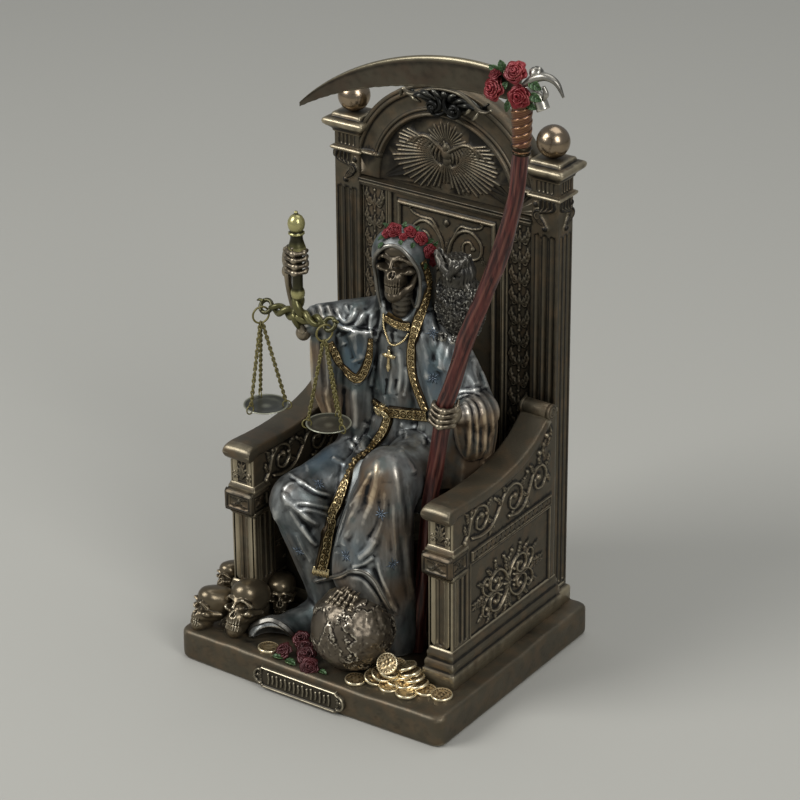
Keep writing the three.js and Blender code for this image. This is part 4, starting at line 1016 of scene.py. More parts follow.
def strip_leaves(a, b, middle):
    """The leafy strip beside the back's panel: curling leaves row on row."""
    out = np.zeros_like(a)
    for i in range(13):
        z = 171.5 - i * 8.6
        for side in (-1, 1):
            base = [middle + side * 0.4, z - 5.5]
            tip = [middle + side * 3.6, z + 1.2]
            out = highest(out, frond(a, b, base, tip, 3.2, 0.75, 3, -side * 0.22))
            out = highest(out, cord(a, b, spiral(middle + side * 2.6, z - 5.2, 1.5, math.pi / 2, side * 0.9),
                                    0.75, 0.6, 0.4))
        out = highest(out, frond(a, b, [middle, z - 7.5], [middle, z - 0.8], 1.9, 0.65, 2))
        out = highest(out, bead(a, b, middle, z + 0.6, 0.6, 0.6))
    return out


def panel_scroll(a, b, side):
    """One big scroll of the back's panel with its leaf and tail."""
    top = 170.0

    def curve(points, count):
        return spline([[side * out, top - down] for out, down in points], count)
    run = curve([(0.8, 17), (2.6, 11), (6.6, 6.4), (11.5, 5.6), (15.8, 9.4), (15.6, 14.6), (11.4, 17.0),
                 (7.8, 14.4), (8.2, 10.8), (11.2, 10.0), (12.4, 12.6)], 60)
    tail = curve([(3.2, 9.6), (6.4, 4.4), (11, 4.2), (15.2, 3.2), (16.8, 1.4), (15.6, 0.4)], 30)
    out = highest(
        cord(a, b, run, 1.7, 1.25, 0.45), cord(a, b, tail, 1.3, 1.1, 0.4),
        bead(a, b, side * 12.2, top - 12.2, 1.1, 1.3),
        frond(a, b, [side * 9, top - 16.4], [side * 3.6, top - 21.5], 3, 0.9, 3, side * 0.15),
        frond(a, b, [side * 15.4, top - 12.6], [side * 19, top - 18.6], 2.6, 0.85, 3, -side * 0.15),
    )
    lower = curve([(1.2, 20), (5.2, 25), (10.4, 24.6), (13.8, 29), (12, 34), (7.6, 34), (6.4, 30),
                   (9.4, 28.4)], 44)
    return highest(out, cord(a, b, lower, 1.5, 1.1, 0.4), bead(a, b, side * 9.6, top - 29.8, 1, 1.1))


def back_face(a, b):
    """Heights over the back: strips, stiles, the framed panel and its scrolls."""
    out = np.zeros_like(a)
    side = np.abs(a)
    out = highest(out, strip_leaves(side, b, 33.6))
    for edge, width, height in ((27.9, 0.8, 0.7), (26.1, 1.7, 1.1), (38.9, 0.7, 0.5)):
        out = highest(out, height * clamp((width / 2 - np.abs(side - edge)) / 0.25))
    deep = -0.45 * clamp((21.0 - side) / 0.3) * clamp((168.6 - b) / 0.3)
    frame = np.maximum(side - 22.6, b - 170.8)
    rail = 1.2 * dome((frame + 0.8) / 0.85)
    out = out + deep
    out = highest(out, np.where(b > 60, rail, 0))
    scrolls = highest(panel_scroll(a, b, -1), panel_scroll(a, b, 1))
    scrolls = highest(scrolls, bead(a, b, 0, 165.8, 1.4, 1.3),
                      frond(a, b, [0, 158.5], [0, 148], 2.6, 0.9, 3))
    return np.where(scrolls > 0, deep + scrolls, out)


def make_back():
    core = carved_block((-40.2, BACK_FRONT + 0.9, FLOOR), (40.2, BACK_REAR, BEAM_HIGH + 1), 8.0, 0.5)
    face = slab(grid(
        lines(-40, 40, 0.36), lines(SEAT_TOP - 1, BEAM_LOW + 0.6, 0.36),
        lambda a, b, h: front(a, b, h, BACK_FRONT), back_face,
    ), (0, 3, 0))
    throne_piece("back_wall", merge([core, face]))
    beam = carved_block(
        (-40, POST_FRONT - 0.9, BEAM_LOW), (40, BACK_REAR, BEAM_HIGH), 1.5, 0.45,
        reliefs={"-y": lambda a, b: -0.5 * bell((b - BEAM_LOW - 0.55) / 0.3)},
    )
    under = carved_block((-39.8, POST_FRONT + 0.2, BEAM_LOW - 1.6),
                         (39.8, BACK_REAR, BEAM_LOW + 0.1), 1.5, 0.4)
    throne_piece("beam", merge([beam, under]))


def dove(a, b):
    """A dove that flies down in a burst of fine rays."""
    u, v = a, b - 197.5
    d, angle = np.hypot(u, v), np.arctan2(v, u)
    body = highest(bead(a, b, 0, 197.0, 1.7, 1.5), bead(a, b, 0.2, 194.4, 2.4, 1.5),
                   bead(a, b, 0.4, 191.6, 2.0, 1.2), frond(a, b, [0, 197.6], [-1.2, 199.6], 1.0, 0.9, 1))
    halo = 0.5 * (0.45 + 0.55 * np.cos(34 * angle)) * clamp((d - 2) / 1.5)
    halo = halo * clamp((9.2 + 0.8 * np.cos(17 * angle) - d) / 0.8) * clamp((v + 2) / 2)
    wings = np.zeros_like(a)
    for side in (-1, 1):
        arm = spline([[side * 1.2, 195.4], [side * 4.4, 197.6], [side * 8.4, 199.6],
                      [side * 12.2, 199.2], [side * 15.0, 196.4]], 30)
        wings = highest(wings, cord(a, b, arm, 1.7, 1.2, 0.5))
        for k in range(13):
            t = 0.1 + 0.9 * k / 12
            root = arm[int(t * 29)]
            turn = -1.55 + 1.25 * t
            reach = 4.2 + 3.4 * math.sin(math.pi * min(t * 1.15, 1))
            tip = [root[0] + side * reach * math.cos(turn), root[1] + reach * math.sin(turn)]
            wings = highest(wings, frond(a, b, root, tip, 1.5, 0.95, 1, side * 0.12))
    tail = np.zeros_like(a)
    for k in range(7):
        lean = (k - 3) / 3
        tip = [0.5 + lean * 4.6, 185.6 + abs(lean) * 1.1]
        tail = highest(tail, frond(a, b, [0.3, 191.5], tip, 1.3, 1.0, 1))
    spread = np.zeros_like(a)
    rng = random.Random(4)
    for k in range(58):
        turn = TAU * k / 58
        drop = 0.5 - 0.5 * math.sin(turn)
        start = 11.5 if math.sin(turn) < 0.2 else 13.5
        reach = start + 2 + 15 * drop * abs(math.cos(turn)) ** 0.6 + rng.uniform(0, 3.2)
        if math.sin(turn) > 0.45:
            continue
        c, s = math.cos(turn), math.sin(turn)
        line = [[c * start * 0.62, 195 + s * start * 0.55], [c * reach, 195 + s * reach * 0.72]]
        spread = highest(spread, cord(a, b, line, 0.95, 0.7, 0.3))
    out = highest(spread, halo, wings, tail, body)
    low = clamp((b - 177.3) / 0.8) * clamp((LUNETTE - 0.7 - np.hypot(a, b - ARCH_Z)) / 0.7)
    return out * low


def arch_height(r, z):
    """Height over the lunette's plane: bead, face and rim of the arch."""
    plain = clamp((r - LUNETTE) / 0.35 + 0.5)
    bead_rim = 1.4 * dome((r - 32) / 1.05)
    second = 0.55 * dome((r - 34.1) / 0.6)
    rim = 0.9 * dome((r - 41.4) / 0.9) + 0.5 * clamp((r - 42.4) / 0.3)
    curve = 0.35 * np.cos((r - 37.4) / 3.3 * math.pi / 2) * ((r > 34.4) & (r < 40.6))
    moulded = np.where(r > LUNETTE - 0.2, 0.65 * clamp((r - 31.2) / 0.4), 0)
    moulded = moulded - curve + highest(bead_rim, second, rim)
    low = clamp((IMPOST + 0.5 - z) / 0.6)
    ledge = 1.0 * dome((z - IMPOST) / 0.85) * (r > LUNETTE)
    return moulded * (1 - low) + plain * low + ledge


def make_arch():
    radii = np.concatenate([
        lines(0.2, LUNETTE - 0.3, 0.38), lines(LUNETTE - 0.15, BEAD_RIM + 2, 0.18),
        lines(35.3, 40.3, 0.7), lines(40.5, ARCH_RIM, 0.2),
    ])
    angles = np.linspace(0, math.pi, 280)
    r, w = np.meshgrid(radii, angles, indexing="ij")
    x, z = r * np.cos(w), ARCH_Z + r * np.sin(w)
    height = arch_height(r, z) + dove(x, z)
    p = np.stack([x, BACK_FRONT - height, z], axis=-1)
    rows = list(p)
    for y in (42.2, 44, 47, 50, BACK_REAR):
        row = p[-1].copy()
        row[:, 1] = y
        rows.append(row)
    rows = arr(rows)
    rows[..., 0] = np.clip(rows[..., 0], -POST_IN - 0.8, POST_IN + 0.8)
    shape = net(rows)
    back_fan = arr([[0, BACK_REAR, ARCH_Z]])
    m = len(angles)
    last = len(rows) - 1
    j = np.arange(m - 1)
    hub = len(shape.v)
    t = np.stack([last * m + j, last * m + j + 1, np.full(m - 1, hub)], axis=1)
    shape = Shape(np.vstack([shape.v, back_fan]), shape.q, t)
    if normals(shape)[:, 1].sum() > 0:
        shape = Shape(shape.v, shape.q[:, ::-1], shape.t[:, ::-1])
    throne_piece("arch", shape, rounds=((1, 0.06), (5, 0.2)))


CREST_Y = 39.4


def make_crest():
    """Two dark rosettes that hang from a scroll with turned-up silver ends."""
    y = CREST_Y
    dark, pale = [], []
    for middle, size, way in (((-2.4, 215.6), 5.2, -1), ((6.8, 216.0), 5.6, 1)):
        for k, share in enumerate((1.0, 0.74, 0.5, 0.3)):
            start = math.pi * (0.3 + 0.4 * way + 0.55 * k)
            line = spiral(middle[0], middle[1] - 0.5 * k, size * share, start, way * 0.8, 26, 0.9)
            points = np.column_stack([line[:, 0], np.full(len(line), y - 0.5 - 0.55 * k), line[:, 1]])
            dark.append(tube(points, [0.6, 1.1, 1.05, 0.6], 10, 0.4, 0.9))
        dark.append(ball((middle[0], y - 2.2, middle[1] - 1.6), (1.1, 1.0, 1.1)))
    for k in range(7):
        a = math.pi * (0.08 + 0.84 * k / 6)
        root = arr([2.4 + 6.5 * math.cos(a), y + 0.8, 216.6 + 1.5 * math.sin(a)])
        tip = arr([2.4 + (14.5 + 1.5 * math.cos(2 * a)) * math.cos(a), y - 0.4, 215.4 + 5.6 * math.sin(a)])
        middle = (root + tip) / 2 + arr([0, -1.6, 1.4])
        dark.append(tube([root, middle, tip], [2.2, 2.0, 0.5], 10, 0.5, 0.6))
    ribbon = [(-17.8, 216.0), (-16.6, 219.0), (-14.4, 217.6), (-11.0, 217.8), (-6.0, 220.4), (0.0, 222.0),
              (6.0, 222.2), (9.8, 221.6), (13.4, 219.8), (16.6, 217.4), (18.6, 216.6), (21.4, 216.8),
              (23.4, 218.2)]
    line = arr([[x, y - 0.6, z] for x, z in ribbon])
    pale.append(tube(line, [0.9, 1.0, 1.3, 1.3, 1.1, 1.0, 1.0, 1.1, 1.2, 1.2, 1.2, 1.1, 0.7], 12, 0.5, 0.7))
    for x, z, end_x, end_z in ((-14.0, 217.4, -8.6, 214.8), (14.6, 218.6, 10.8, 213.6),
                               (17.6, 216.6, 14.0, 212.0)):
        points = [[x, y - 0.4, z], [(x + end_x) / 2 + 0.8, y - 1.3, (z + end_z) / 2],
                  [end_x, y - 0.2, end_z]]
        pale.append(tube(points, [0.7, 1.1, 0.4], 9, 0.4, 0.7))
    dark.append(slab(grid(
        lines(-15, 19, 1.0), lines(0, 1, 0.1),
        lambda a, b, h: (a, y + 1.6 - h, 212.6 + 0.02 * (a - 2) ** 2 + b * (8.8 - 0.042 * (a - 2) ** 2)),
        lambda a, b: 0.3 * np.sin(a * 1.4) * np.sin(b * 9),
    ), (0, 3.2, 0)))
    throne_piece("crest", merge(dark), CREST_METAL, rounds=FINE)
    throne_piece("crest_scroll", merge(pale), PALE_BRONZE, rounds=FINE)


# The arms

def arm_top(y):
    """Height of the arm's rail: a slight dip, then a rise to the roll."""
    t = (y - ARM_FRONT - 3) / 63.4
    dip = -1.1 * np.sin(math.pi * clamp(t * 1.7))
    return ARM_TOP + dip + ARM_RISE * np.clip((t - 0.45) / 0.55, 0, 1.08) ** 2.4


def frieze(a, b):
    """The running scroll under the arm's rail, with bulbs at its turns."""
    run = spline([
        [-22.5, 71.6], [-20.2, 74.6], [-18.2, 79.8], [-13.4, 82.8], [-8, 80.4], [-7.2, 75.4], [-11, 72.4],
        [-14.6, 74.4], [-14.2, 78], [-11.4, 78.6],
    ], 60)
    swing = spline([
        [-17.4, 71], [-11, 69.6], [-4, 70.6], [1.4, 75.6], [5.6, 80.4], [11.4, 81.8], [16.4, 78.6],
        [16.2, 73.4], [12, 71], [8.6, 73.4], [9.4, 76.8], [12.2, 76.8],
    ], 70)
    last = spline([
        [8, 69.4], [14, 68.2], [19.4, 69.8], [22.4, 74.8], [26, 80.8], [31.4, 81.4], [34.4, 77], [32, 72.4],
        [27.6, 72.8], [26.6, 76.4], [29.2, 77.6],
    ], 70)
    out = highest(cord(a, b, run, 1.35, 1.1, 0.35), cord(a, b, swing, 1.35, 1.1, 0.35),
                  cord(a, b, last, 1.35, 1.1, 0.35))
    fronds = [
        ((-20, 74), (-22.4, 78.6), 2.4, 0.2), ((-20.6, 78.4), (-22, 83.4), 2.2, -0.2),
        ((-18, 80), (-15.4, 85), 2.2, 0.1), ((-8, 80), (-3.4, 83.6), 2.6, -0.15),
        ((-4.4, 71), (-5.8, 66.6), 2.0, 0.1), ((-3, 72.4), (-7.6, 77), 2.2, 0.2),
        ((2, 76.4), (-1.8, 80.4), 2.4, -0.2), ((6, 80.4), (4.4, 85.2), 2.4, 0.1),
        ((15.6, 79.4), (20.8, 82.2), 2.6, -0.2), ((12, 71), (8, 68), 2.0, 0.1),
        ((20, 70.6), (22.4, 66.8), 2.0, 0.1), ((21.4, 73), (17.4, 77), 2.2, 0.2),
        ((25.4, 80), (22.6, 84.6), 2.4, -0.1), ((31, 81.4), (30, 86.6), 2.6, 0.2),
        ((33.4, 79), (36.6, 84.4), 2.6, -0.2), ((34.4, 76), (37.4, 71.4), 2.2, 0.1),
        ((33, 84), (34.6, 92), 2.8, 0.15), ((35.4, 88), (37.6, 95), 2.4, -0.2),
    ]
    for base, tip, width, curl in fronds:
        out = highest(out, frond(a, b, base, tip, width, 0.95, 3, curl))
    bulbs = [(-22.6, 71.2, 1.2), (-11.2, 78.2, 1.3), (12, 76.6, 1.3), (28.8, 77.2, 1.3), (-3, 69.8, 0.9),
             (-15.4, 85.6, 0.9), (4.3, 85.6, 0.9), (20.9, 82.8, 0.9), (29.4, 87.2, 1.1), (34.6, 92.6, 1.1),
             (-22.2, 84, 0.9), (21, 68, 0.9), (-1.8, 81, 0.8), (17.2, 77.4, 0.8), (-7.6, 77.4, 0.8)]
    for u, v, r in bulbs:
        out = highest(out, bead(a, b, u, v, r, r * 1.15))
    return out


def cartouche(a, b):
    """Scrolls and leaves that spread from the middle of the arm's lower panel."""
    u, v = a - 8.6, b - 40.2
    out = np.zeros_like(a)
    for sx in (-1, 1):
        for sz in (-1, 1):
            x, z = u * sx, v * sz
            main = spline([[0, 1.2], [2.4, 5.6], [6.8, 8.6], [11.6, 7.2], [12.6, 2.8], [9.4, 0.6],
                           [6.4, 2.4], [7.2, 5.2], [9.4, 5.0]], 50)
            wing = spline([[4.2, 1.4], [11.6, -0.6], [16.8, 2.4], [17.6, 6.4], [14.8, 8.2], [13, 6],
                           [14.6, 4.6]], 40)
            out = highest(
                out, cord(x, z, main, 1.3, 1.35, 0.3), cord(x, z, wing, 1.1, 1.15, 0.35),
                bead(x, z, 9, 4.6, 1.1, 1.4), bead(x, z, 14.8, 5.4, 0.9, 1.2),
                frond(x, z, [1, 5], [2.6, 12.4], 2.8, 1.15, 3, 0.12),
                frond(x, z, [6.8, 8.6], [8.4, 13], 2.4, 1.1, 3, -0.2),
                frond(x, z, [11.4, 7.6], [15.2, 11.6], 2.4, 1.05, 3, 0.1),
                frond(x, z, [16, 1.6], [25.4, 1.2], 3.2, 1.2, 4, -0.1),
                frond(x, z, [17.4, 5.6], [21.4, 8.2], 2.2, 1.0, 3, 0.1),
                bead(x, z, 2.9, 12.6, 0.9, 1.1), bead(x, z, 8.8, 13.2, 0.8, 1.0),
                bead(x, z, 4.6, 3.6, 0.8, 1.0),
            )
    return highest(out, flower(u, v, 0, 0, 3.0, 1.5, 6))


def arm_side(a, b):
    """Heights over an arm's side: frieze, bead band, panel and pilaster."""
    top = arm_top(a)
    lip = 0.55 * clamp((b - top + 3.6) / 0.5)
    carved = frieze(a, b) * clamp((top - 4.2 - b) / 0.8)
    out = highest(carved, lip)
    low = b < BAND_LOW + 1.3
    d = inside_box(a, b, -17.6, 38.2, 27.6, 59.4)
    panel = -0.7 * clamp(d / 0.35)
    rim = 0.25 * dome((d + 0.5) / 0.45)
    pilaster = grooves(a, b, ARM_FRONT + 1.0, PILASTER_REAR, 3, 28.6, 58.6, 0.8, 0.6)
    lower = panel + rim + np.where(d > 0.4, cartouche(a, b), 0) + pilaster
    out = np.where(low, lower, out)
    e = inside_box(a, b, -18, 38.6, 61.0, 65.6)
    band_base = 0.7 * clamp(e / 0.25)
    phase = (a + 18) % 3.3 - 1.65
    knots = 0.55 * dome(np.hypot(phase, b - 63.3) / 1.25)
    ribs = 0.45 * clamp(np.cos(TAU * ((a + 18) / 3.3 + (b - 63.3) * 0.23))) * (e > 0.5)
    edge = 0.35 * dome((e - 0.5) / 0.32)
    return np.where(e > 0, band_base + highest(knots, ribs * 0.7, edge) - 0.2 * (e > 0.8), out)


def palmette(a, b, middle, low, size):
    """A small upright palmette between two curls."""
    out = np.zeros_like(a)
    for k in range(7):
        lean = (k - 3) * 0.42
        length = size * (1 - 0.07 * abs(k - 3) ** 1.4)
        tip = [middle + math.sin(lean) * length * 0.52, low + 1.4 + math.cos(lean) * length * 0.9]
        out = highest(out, frond(a, b, [middle, low + 1.2], tip, 1.6, 0.95, 2, 0.1 * (k - 3)))
    for side in (-1, 1):
        curl = spiral(middle + side * 3.1, low + 2.0, 1.8, math.pi / 2, -side * 1.1)
        out = highest(out, cord(a, b, curl, 0.9, 0.9, 0.3),
                      bead(a, b, middle + side * 3.1, low + 2, 0.6, 0.9))
    return out


def arm_front(a, b):
    flutes = grooves(a, b, ARM_IN + 1.2, ARM_OUT - 1.2, 3, 28.6, 57.6, 0.85, 0.6)
    d = inside_box(a, b, ARM_IN + 1.4, ARM_OUT - 1.4, 71.4, 82.6)
    frame = -0.35 * clamp(d / 0.3)
    return flutes + frame + palmette(a, b, ARM_MID, 72.2, 9.2) * (d > 0)


def band_relief(middle, half):
    """A framed sunk field with a small leafy relief on the band block."""
    def relief(a, b):
        d = inside_box(a, b, middle - half, middle + half, 61.6, 66.6)
        sunk = -0.6 * clamp(d / 0.25)
        rim = 0.3 * dome((d + 0.45) / 0.45)
        leaves = np.zeros_like(a)
        for side in (-1, 1):
            tip = middle + side * (half - 0.6)
            leaves = highest(leaves, frond(a, b, [middle, 64.1], [tip, 65.6], 1.7, 0.7, 3, 0.2 * side),
                             frond(a, b, [middle, 64.1], [tip, 62.6], 1.7, 0.7, 3, -0.2 * side))
        leaves = highest(leaves, bead(a, b, middle, 64.1, 1.1, 0.8))
        chamfer = -1.1 * clamp((b - 67.6) / 1.4) - 0.5 * clamp((60.6 - b) / 0.9)
        return sunk + rim + leaves * (d > 0.3) + chamfer
    return relief


WORN_WIDTH, WORN_DROP = 0.7, 0.3


def worn_edges(height, u0, u1, v0, v1):
    """The same heights with the rectangle's edges rounded off."""
    def relief(a, b):
        d = inside_box(a, b, u0, u1, v0, v1)
        return height(a, b) - WORN_DROP * clamp(1 - d / WORN_WIDTH) ** 2
    return relief


def make_arm_rail():
    """The broad smooth rail from its thick rounded nose up to the roll."""
    stations = [(-33.9, 85.2, 0.8), (-33.7, 85.2, 2.6), (-33.2, 85.15, 4.4), (-32.4, 85.1, 5.6),
                (-31.2, 85.15, 6.1), (-29.6, 85.35, 5.9), (-28.2, 85.9, 4.6)]
    for y in np.linspace(-26.6, 36.4, 42):
        thick = 4.2 if y < 25 else 4.2 + (y - 25) * 0.04
        stations.append((y, float(arm_top(y)) - thick / 2, thick))
    loops = []
    centres = arr([[s[0], s[1]] for s in stations])
    ahead = unit(np.gradient(centres[6:], axis=0))
    ahead = np.vstack([np.tile([1.0, 0.0], (6, 1)), ahead])
    turn = np.linspace(0, TAU, 28, endpoint=False)
    for (y, z, thick), (cy, cz) in zip(stations, ahead):
        c, s = np.cos(turn), np.sin(turn)
        x = ARM_MID + 6.35 * np.sign(c) * np.abs(c) ** 0.22
        h = thick / 2 * np.sign(s) * np.abs(s) ** 0.42
        crown = 0.25 * (1 - ((x - ARM_MID) / 6.35) ** 2) * (h > 0)
        loops.append(np.stack([x, y - h * cz, z + h * cy + crown], axis=-1))
    return rings(loops)


def make_arm_roll():
    """The turned roll at the arm's rear, with rings at both ends."""
    line = []
    for side in (-1, 1):
        end = [(0.2, 6.75), (1.0, 6.8), (1.1, 6.5), (1.3, 6.5), (1.45, 6.85), (2.1, 6.9), (2.25, 6.6),
               (2.45, 6.6), (2.6, 6.8), (3.1, 6.6), (3.3, 6.2), (3.3, 5.6), (3.1, 5.45), (3.1, 5.2),
               (3.3, 5.0)]
        line += [(r, side * h) for r, h in (end if side < 0 else end[::-1])]
    turned = lathe(line, sides=40)
    return turned.turned(turn_y(math.pi / 2)).moved((ARM_MID, 37.4, 101.4))


def make_arms():
    y = lines(ARM_FRONT, POST_FRONT + 0.3, 0.4)
    share = np.linspace(0, 1, 200)

    def on_side(plane, way):
        def place(a, t, height):
            z = FLOOR + (arm_top(a) - 1.6 - FLOOR) * t
            return plane + way * height, a, z

        def height(a, t):
            z = FLOOR + (arm_top(a) - 1.6 - FLOOR) * t
            d = np.minimum(a - ARM_FRONT, 3)
            return arm_side(a, z) - 0.3 * clamp(1 - d / 0.7) ** 2
        return slab(grid(y, share, place, height), (-way * 3, 0, 0))

    face = slab(grid(
        lines(ARM_IN + 0.15, ARM_OUT - 0.15, 0.34), lines(FLOOR, 84.6, 0.4),
        lambda a, b, h: front(a, b, h, ARM_FRONT),
        worn_edges(arm_front, ARM_IN, ARM_OUT, 0, 90),
    ), (0, 3, 0))
    core = carved_block((ARM_IN + 0.6, ARM_FRONT + 0.6, FLOOR), (ARM_OUT - 0.8, POST_FRONT + 1, 84), 9, 0.4)
    rear = carved_block((ARM_IN + 0.6, 30, 80), (ARM_OUT - 0.8, POST_FRONT + 1, 91.5), 9, 0.4)
    throne_piece("arm_sides", both(merge([on_side(ARM_OUT, 1), face, core, rear])))
    throne_piece("arm_inner_sides", both(on_side(ARM_IN, -1)))

    def dipped(a, b):
        return -0.8 * clamp(1 - np.minimum(a - ARM_IN + 1.15, ARM_OUT + 1.15 - a))

    flank = band_relief(ARM_FRONT + 3, 4.1)
    block = carved_block(
        (ARM_IN - 1.15, ARM_FRONT - 3, BAND_LOW), (ARM_OUT + 1.15, ARM_FRONT + 9, BAND_HIGH), 0.35, 0.6,
        reliefs={"-y": band_relief(ARM_MID, 4.9), "+x": flank, "-x": flank, "+z": dipped},
    )
    shaft = (ARM_IN, ARM_OUT, ARM_FRONT, ARM_FRONT + 9)
    neck = kerb(*shaft, lifted(BAND_HIGH, [
        (-1, -1), (0.9, -0.6), (0.8, 0.5), (0.45, 1.1), (0.15, 2.0), (-0.6, 2.6),
    ]), 0.5, 1.0)
    under = kerb(*shaft, lifted(BAND_LOW, [
        (-1, -2.6), (0.1, -2.4), (0.5, -1.6), (0.75, -0.8), (0.8, 0.3), (-1, 0.5),
    ]), 0.5, 1.0)
    base = kerb(ARM_IN + 1.1, ARM_OUT, ARM_FRONT - 0.6, POST_FRONT + 1, [
        (-3, 12.2), (2.2, 12.3), (2.25, 17.8), (2.1, 18.5), (1.65, 19.0), (1.55, 19.8), (1.65, 20.4),
        (1.6, 21.6), (1.2, 22.6), (0.85, 23.1), (0.8, 24.2), (0.95, 24.8), (0.8, 25.8), (0.35, 26.8),
        (0.2, 27.7), (-1.5, 28.0),
    ], 0.5, 1.3)
    trim = merge([make_arm_rail(), make_arm_roll(), block, neck, under, base])
    trim.v += unit(normals(trim)) * (wobble(trim.v, 7, 5) * 0.04)[:, None]
    throne_piece("arm_trim", both(trim), rounds=((1, 0.07), (3, 0.24)))


def make_seat():
    body = carved_block((-ARM_IN - 0.5, SEAT_FRONT, FLOOR - 0.5),
                        (ARM_IN + 0.5, BACK_FRONT + 1, SEAT_TOP - 1.2), 4, 0.6)
    top = kerb(-ARM_IN - 0.3, ARM_IN + 0.3, SEAT_FRONT, BACK_FRONT + 0.6, lifted(SEAT_TOP, [
        (-1, -6), (0.0, -5.6), (0.7, -5), (0.8, -1.2), (0.3, -0.3), (-1.2, 0),
    ]), 0.5, 2)
    skirting = kerb(-ARM_IN - 0.3, ARM_IN + 0.3, SEAT_FRONT, BACK_FRONT, [
        (-2, 12.4), (0.9, 12.4), (0.9, 18.4), (0.4, 19.2), (-1, 20),
    ], 0.4, 2)
    throne_piece("seat", merge([body, top, skirting]))


# The nameplate

PLATE_X, PLATE_LOW, PLATE_HIGH, PLATE_HALF = -2.6, 0.8, 10.2, 18.0
PLATE_MID = (PLATE_LOW + PLATE_HIGH) / 2
STROKES, STROKE_GAP = 15, 2.05


def plate_outline(a, b):
    """Distance inwards from the plate's edge, with its rounded waisted ends."""
    u = np.abs(a - PLATE_X)
    v = np.abs(b - PLATE_MID)
    body = np.minimum(PLATE_HALF + 0.6 - u, 4.7 - v)
    lobe = 3.2 - np.hypot(u - PLATE_HALF - 0.4, v * 0.86)
    bite = np.hypot(u - PLATE_HALF - 1.0, v - 4.9) - 1.3
    return np.minimum(np.maximum(body, lobe), bite)


def make_nameplate():
    """A plate with a rim, a bead at each end and rows of plain strokes."""
    def relief(a, b):
        d = plate_outline(a, b)
        rim = 0.55 * dome((d - 0.55) / 0.5)
        base = 1.1 * np.clip(d / 0.3, -1.2, 1)
        field = -0.35 * clamp((d - 1.0) / 0.3)
        strokes = np.zeros_like(a)
        for k in range(STROKES):
            x = PLATE_X + (k - STROKES // 2) * STROKE_GAP
            tall = (2.1, 1.5)[k % 2]
            stroke = [[x, PLATE_MID - tall], [x + 0.25, PLATE_MID], [x, PLATE_MID + tall]]
            strokes = highest(strokes, cord(a, b, stroke, 0.9, 0.75))
        ends = np.zeros_like(a)
        for side in (-1, 1):
            x = PLATE_X + side * (PLATE_HALF + 0.6)
            ends = highest(ends, bead(a, b, x, PLATE_MID, 0.9, 0.8))
            for tip, width, height in (([x + side * 2.2, PLATE_MID], 1.6, 0.7),
                                       ([x - side * 0.8, PLATE_MID + 2.5], 1.3, 0.6),
                                       ([x - side * 0.8, PLATE_MID - 2.5], 1.3, 0.6)):
                ends = highest(ends, frond(a, b, [x, PLATE_MID], tip, width, height, 2))
        return base + rim + field + highest(strokes, ends)

    def place(a, b, h):
        bow = PLINTH_BOW * (a / PLINTH_HALF_X) ** 2
        return a, -54.4 + bow - h, b

    body = slab(grid(
        lines(PLATE_X - 22.2, PLATE_X + 22.2, 0.2), lines(PLATE_LOW - 0.2, PLATE_HIGH + 0.2, 0.2),
        place, relief,
    ), (0, 2, 0))
    throne_piece("nameplate", body, PALE_BRONZE)


make_plinth()
make_posts()
make_back()
make_arch()
make_crest()
make_arms()
make_seat()
make_nameplate()


# The robed figure

class Clay:
    """A field on a grid, built up and cut window by window."""

    def __init__(self, axes):
        self.axes = [np.asarray(axis, dtype=np.float32) for axis in axes]
        self.f = np.full([len(axis) for axis in self.axes], 4.0, dtype=np.float32)

    def window(self, low, high):
        spans = []
        for axis, a, b in zip(self.axes, low, high):
            start, end = np.searchsorted(axis, [a, b])
            spans.append(slice(max(start - 1, 0), end + 1))
        x, y, z = np.meshgrid(*[axis[s] for axis, s in zip(self.axes, spans)], indexing="ij")
        return tuple(spans), x, y, z

    def add(self, low, high, values, soft=1.5, cut=False):
        spans, x, y, z = self.window(low, high)
        mix = blend_cut if cut else blend_min
        self.f[spans] = mix(self.f[spans], values(x, y, z).astype(np.float32), soft)

    def oval(self, centre, radii, turn=0.0, soft=1.5, cut=False):
        reach = max(radii) + 4
        low, high = arr(centre) - reach, arr(centre) + reach
        self.add(low, high, lambda x, y, z: oval(x, y, z, centre, radii, turn_z(turn)), soft, cut)

    def rod(self, points, radii, soft=1.5, cut=False):
        p, reach = arr(points), max(radii) + 4
        self.add(p.min(axis=0) - reach, p.max(axis=0) + reach,
                 lambda x, y, z: rod(x, y, z, points, radii), soft, cut)

    def drape(self, stations, soft=2.0, waves=None):
        """A soft column through rows of [x, y, z, rx, ry] from the bottom up."""
        rows = spline(stations, 8 * len(stations))
        low, high = rows[:, 2].min(), rows[:, 2].max()
        reach = rows[:, 3:5].max() + 4
        box_low = [rows[:, 0].min() - reach, rows[:, 1].min() - reach, low - 4]
        box_high = [rows[:, 0].max() + reach, rows[:, 1].max() + reach, high + 4]

        def values(x, y, z):
            level = z[0, 0]
            at = [np.interp(level, rows[:, 2], rows[:, k]) for k in (0, 1, 3, 4)]
            u, v = x - at[0], y - at[1]
            rx, ry = np.maximum(at[2], 0.3), np.maximum(at[3], 0.3)
            grow = 1.0
            if waves is not None:
                grow = 1 + waves(np.arctan2(v / ry, u / rx), z)
            d = (np.sqrt((u / rx) ** 2 + (v / ry) ** 2) - grow) * np.minimum(rx, ry)
            over = np.maximum(low - z, z - high)
            return np.where(over > 0, np.hypot(np.maximum(d, 0), over), np.maximum(d, over))
        self.add(box_low, box_high, values, soft)

    def surface(self):
        return carve(self.f, self.axes)


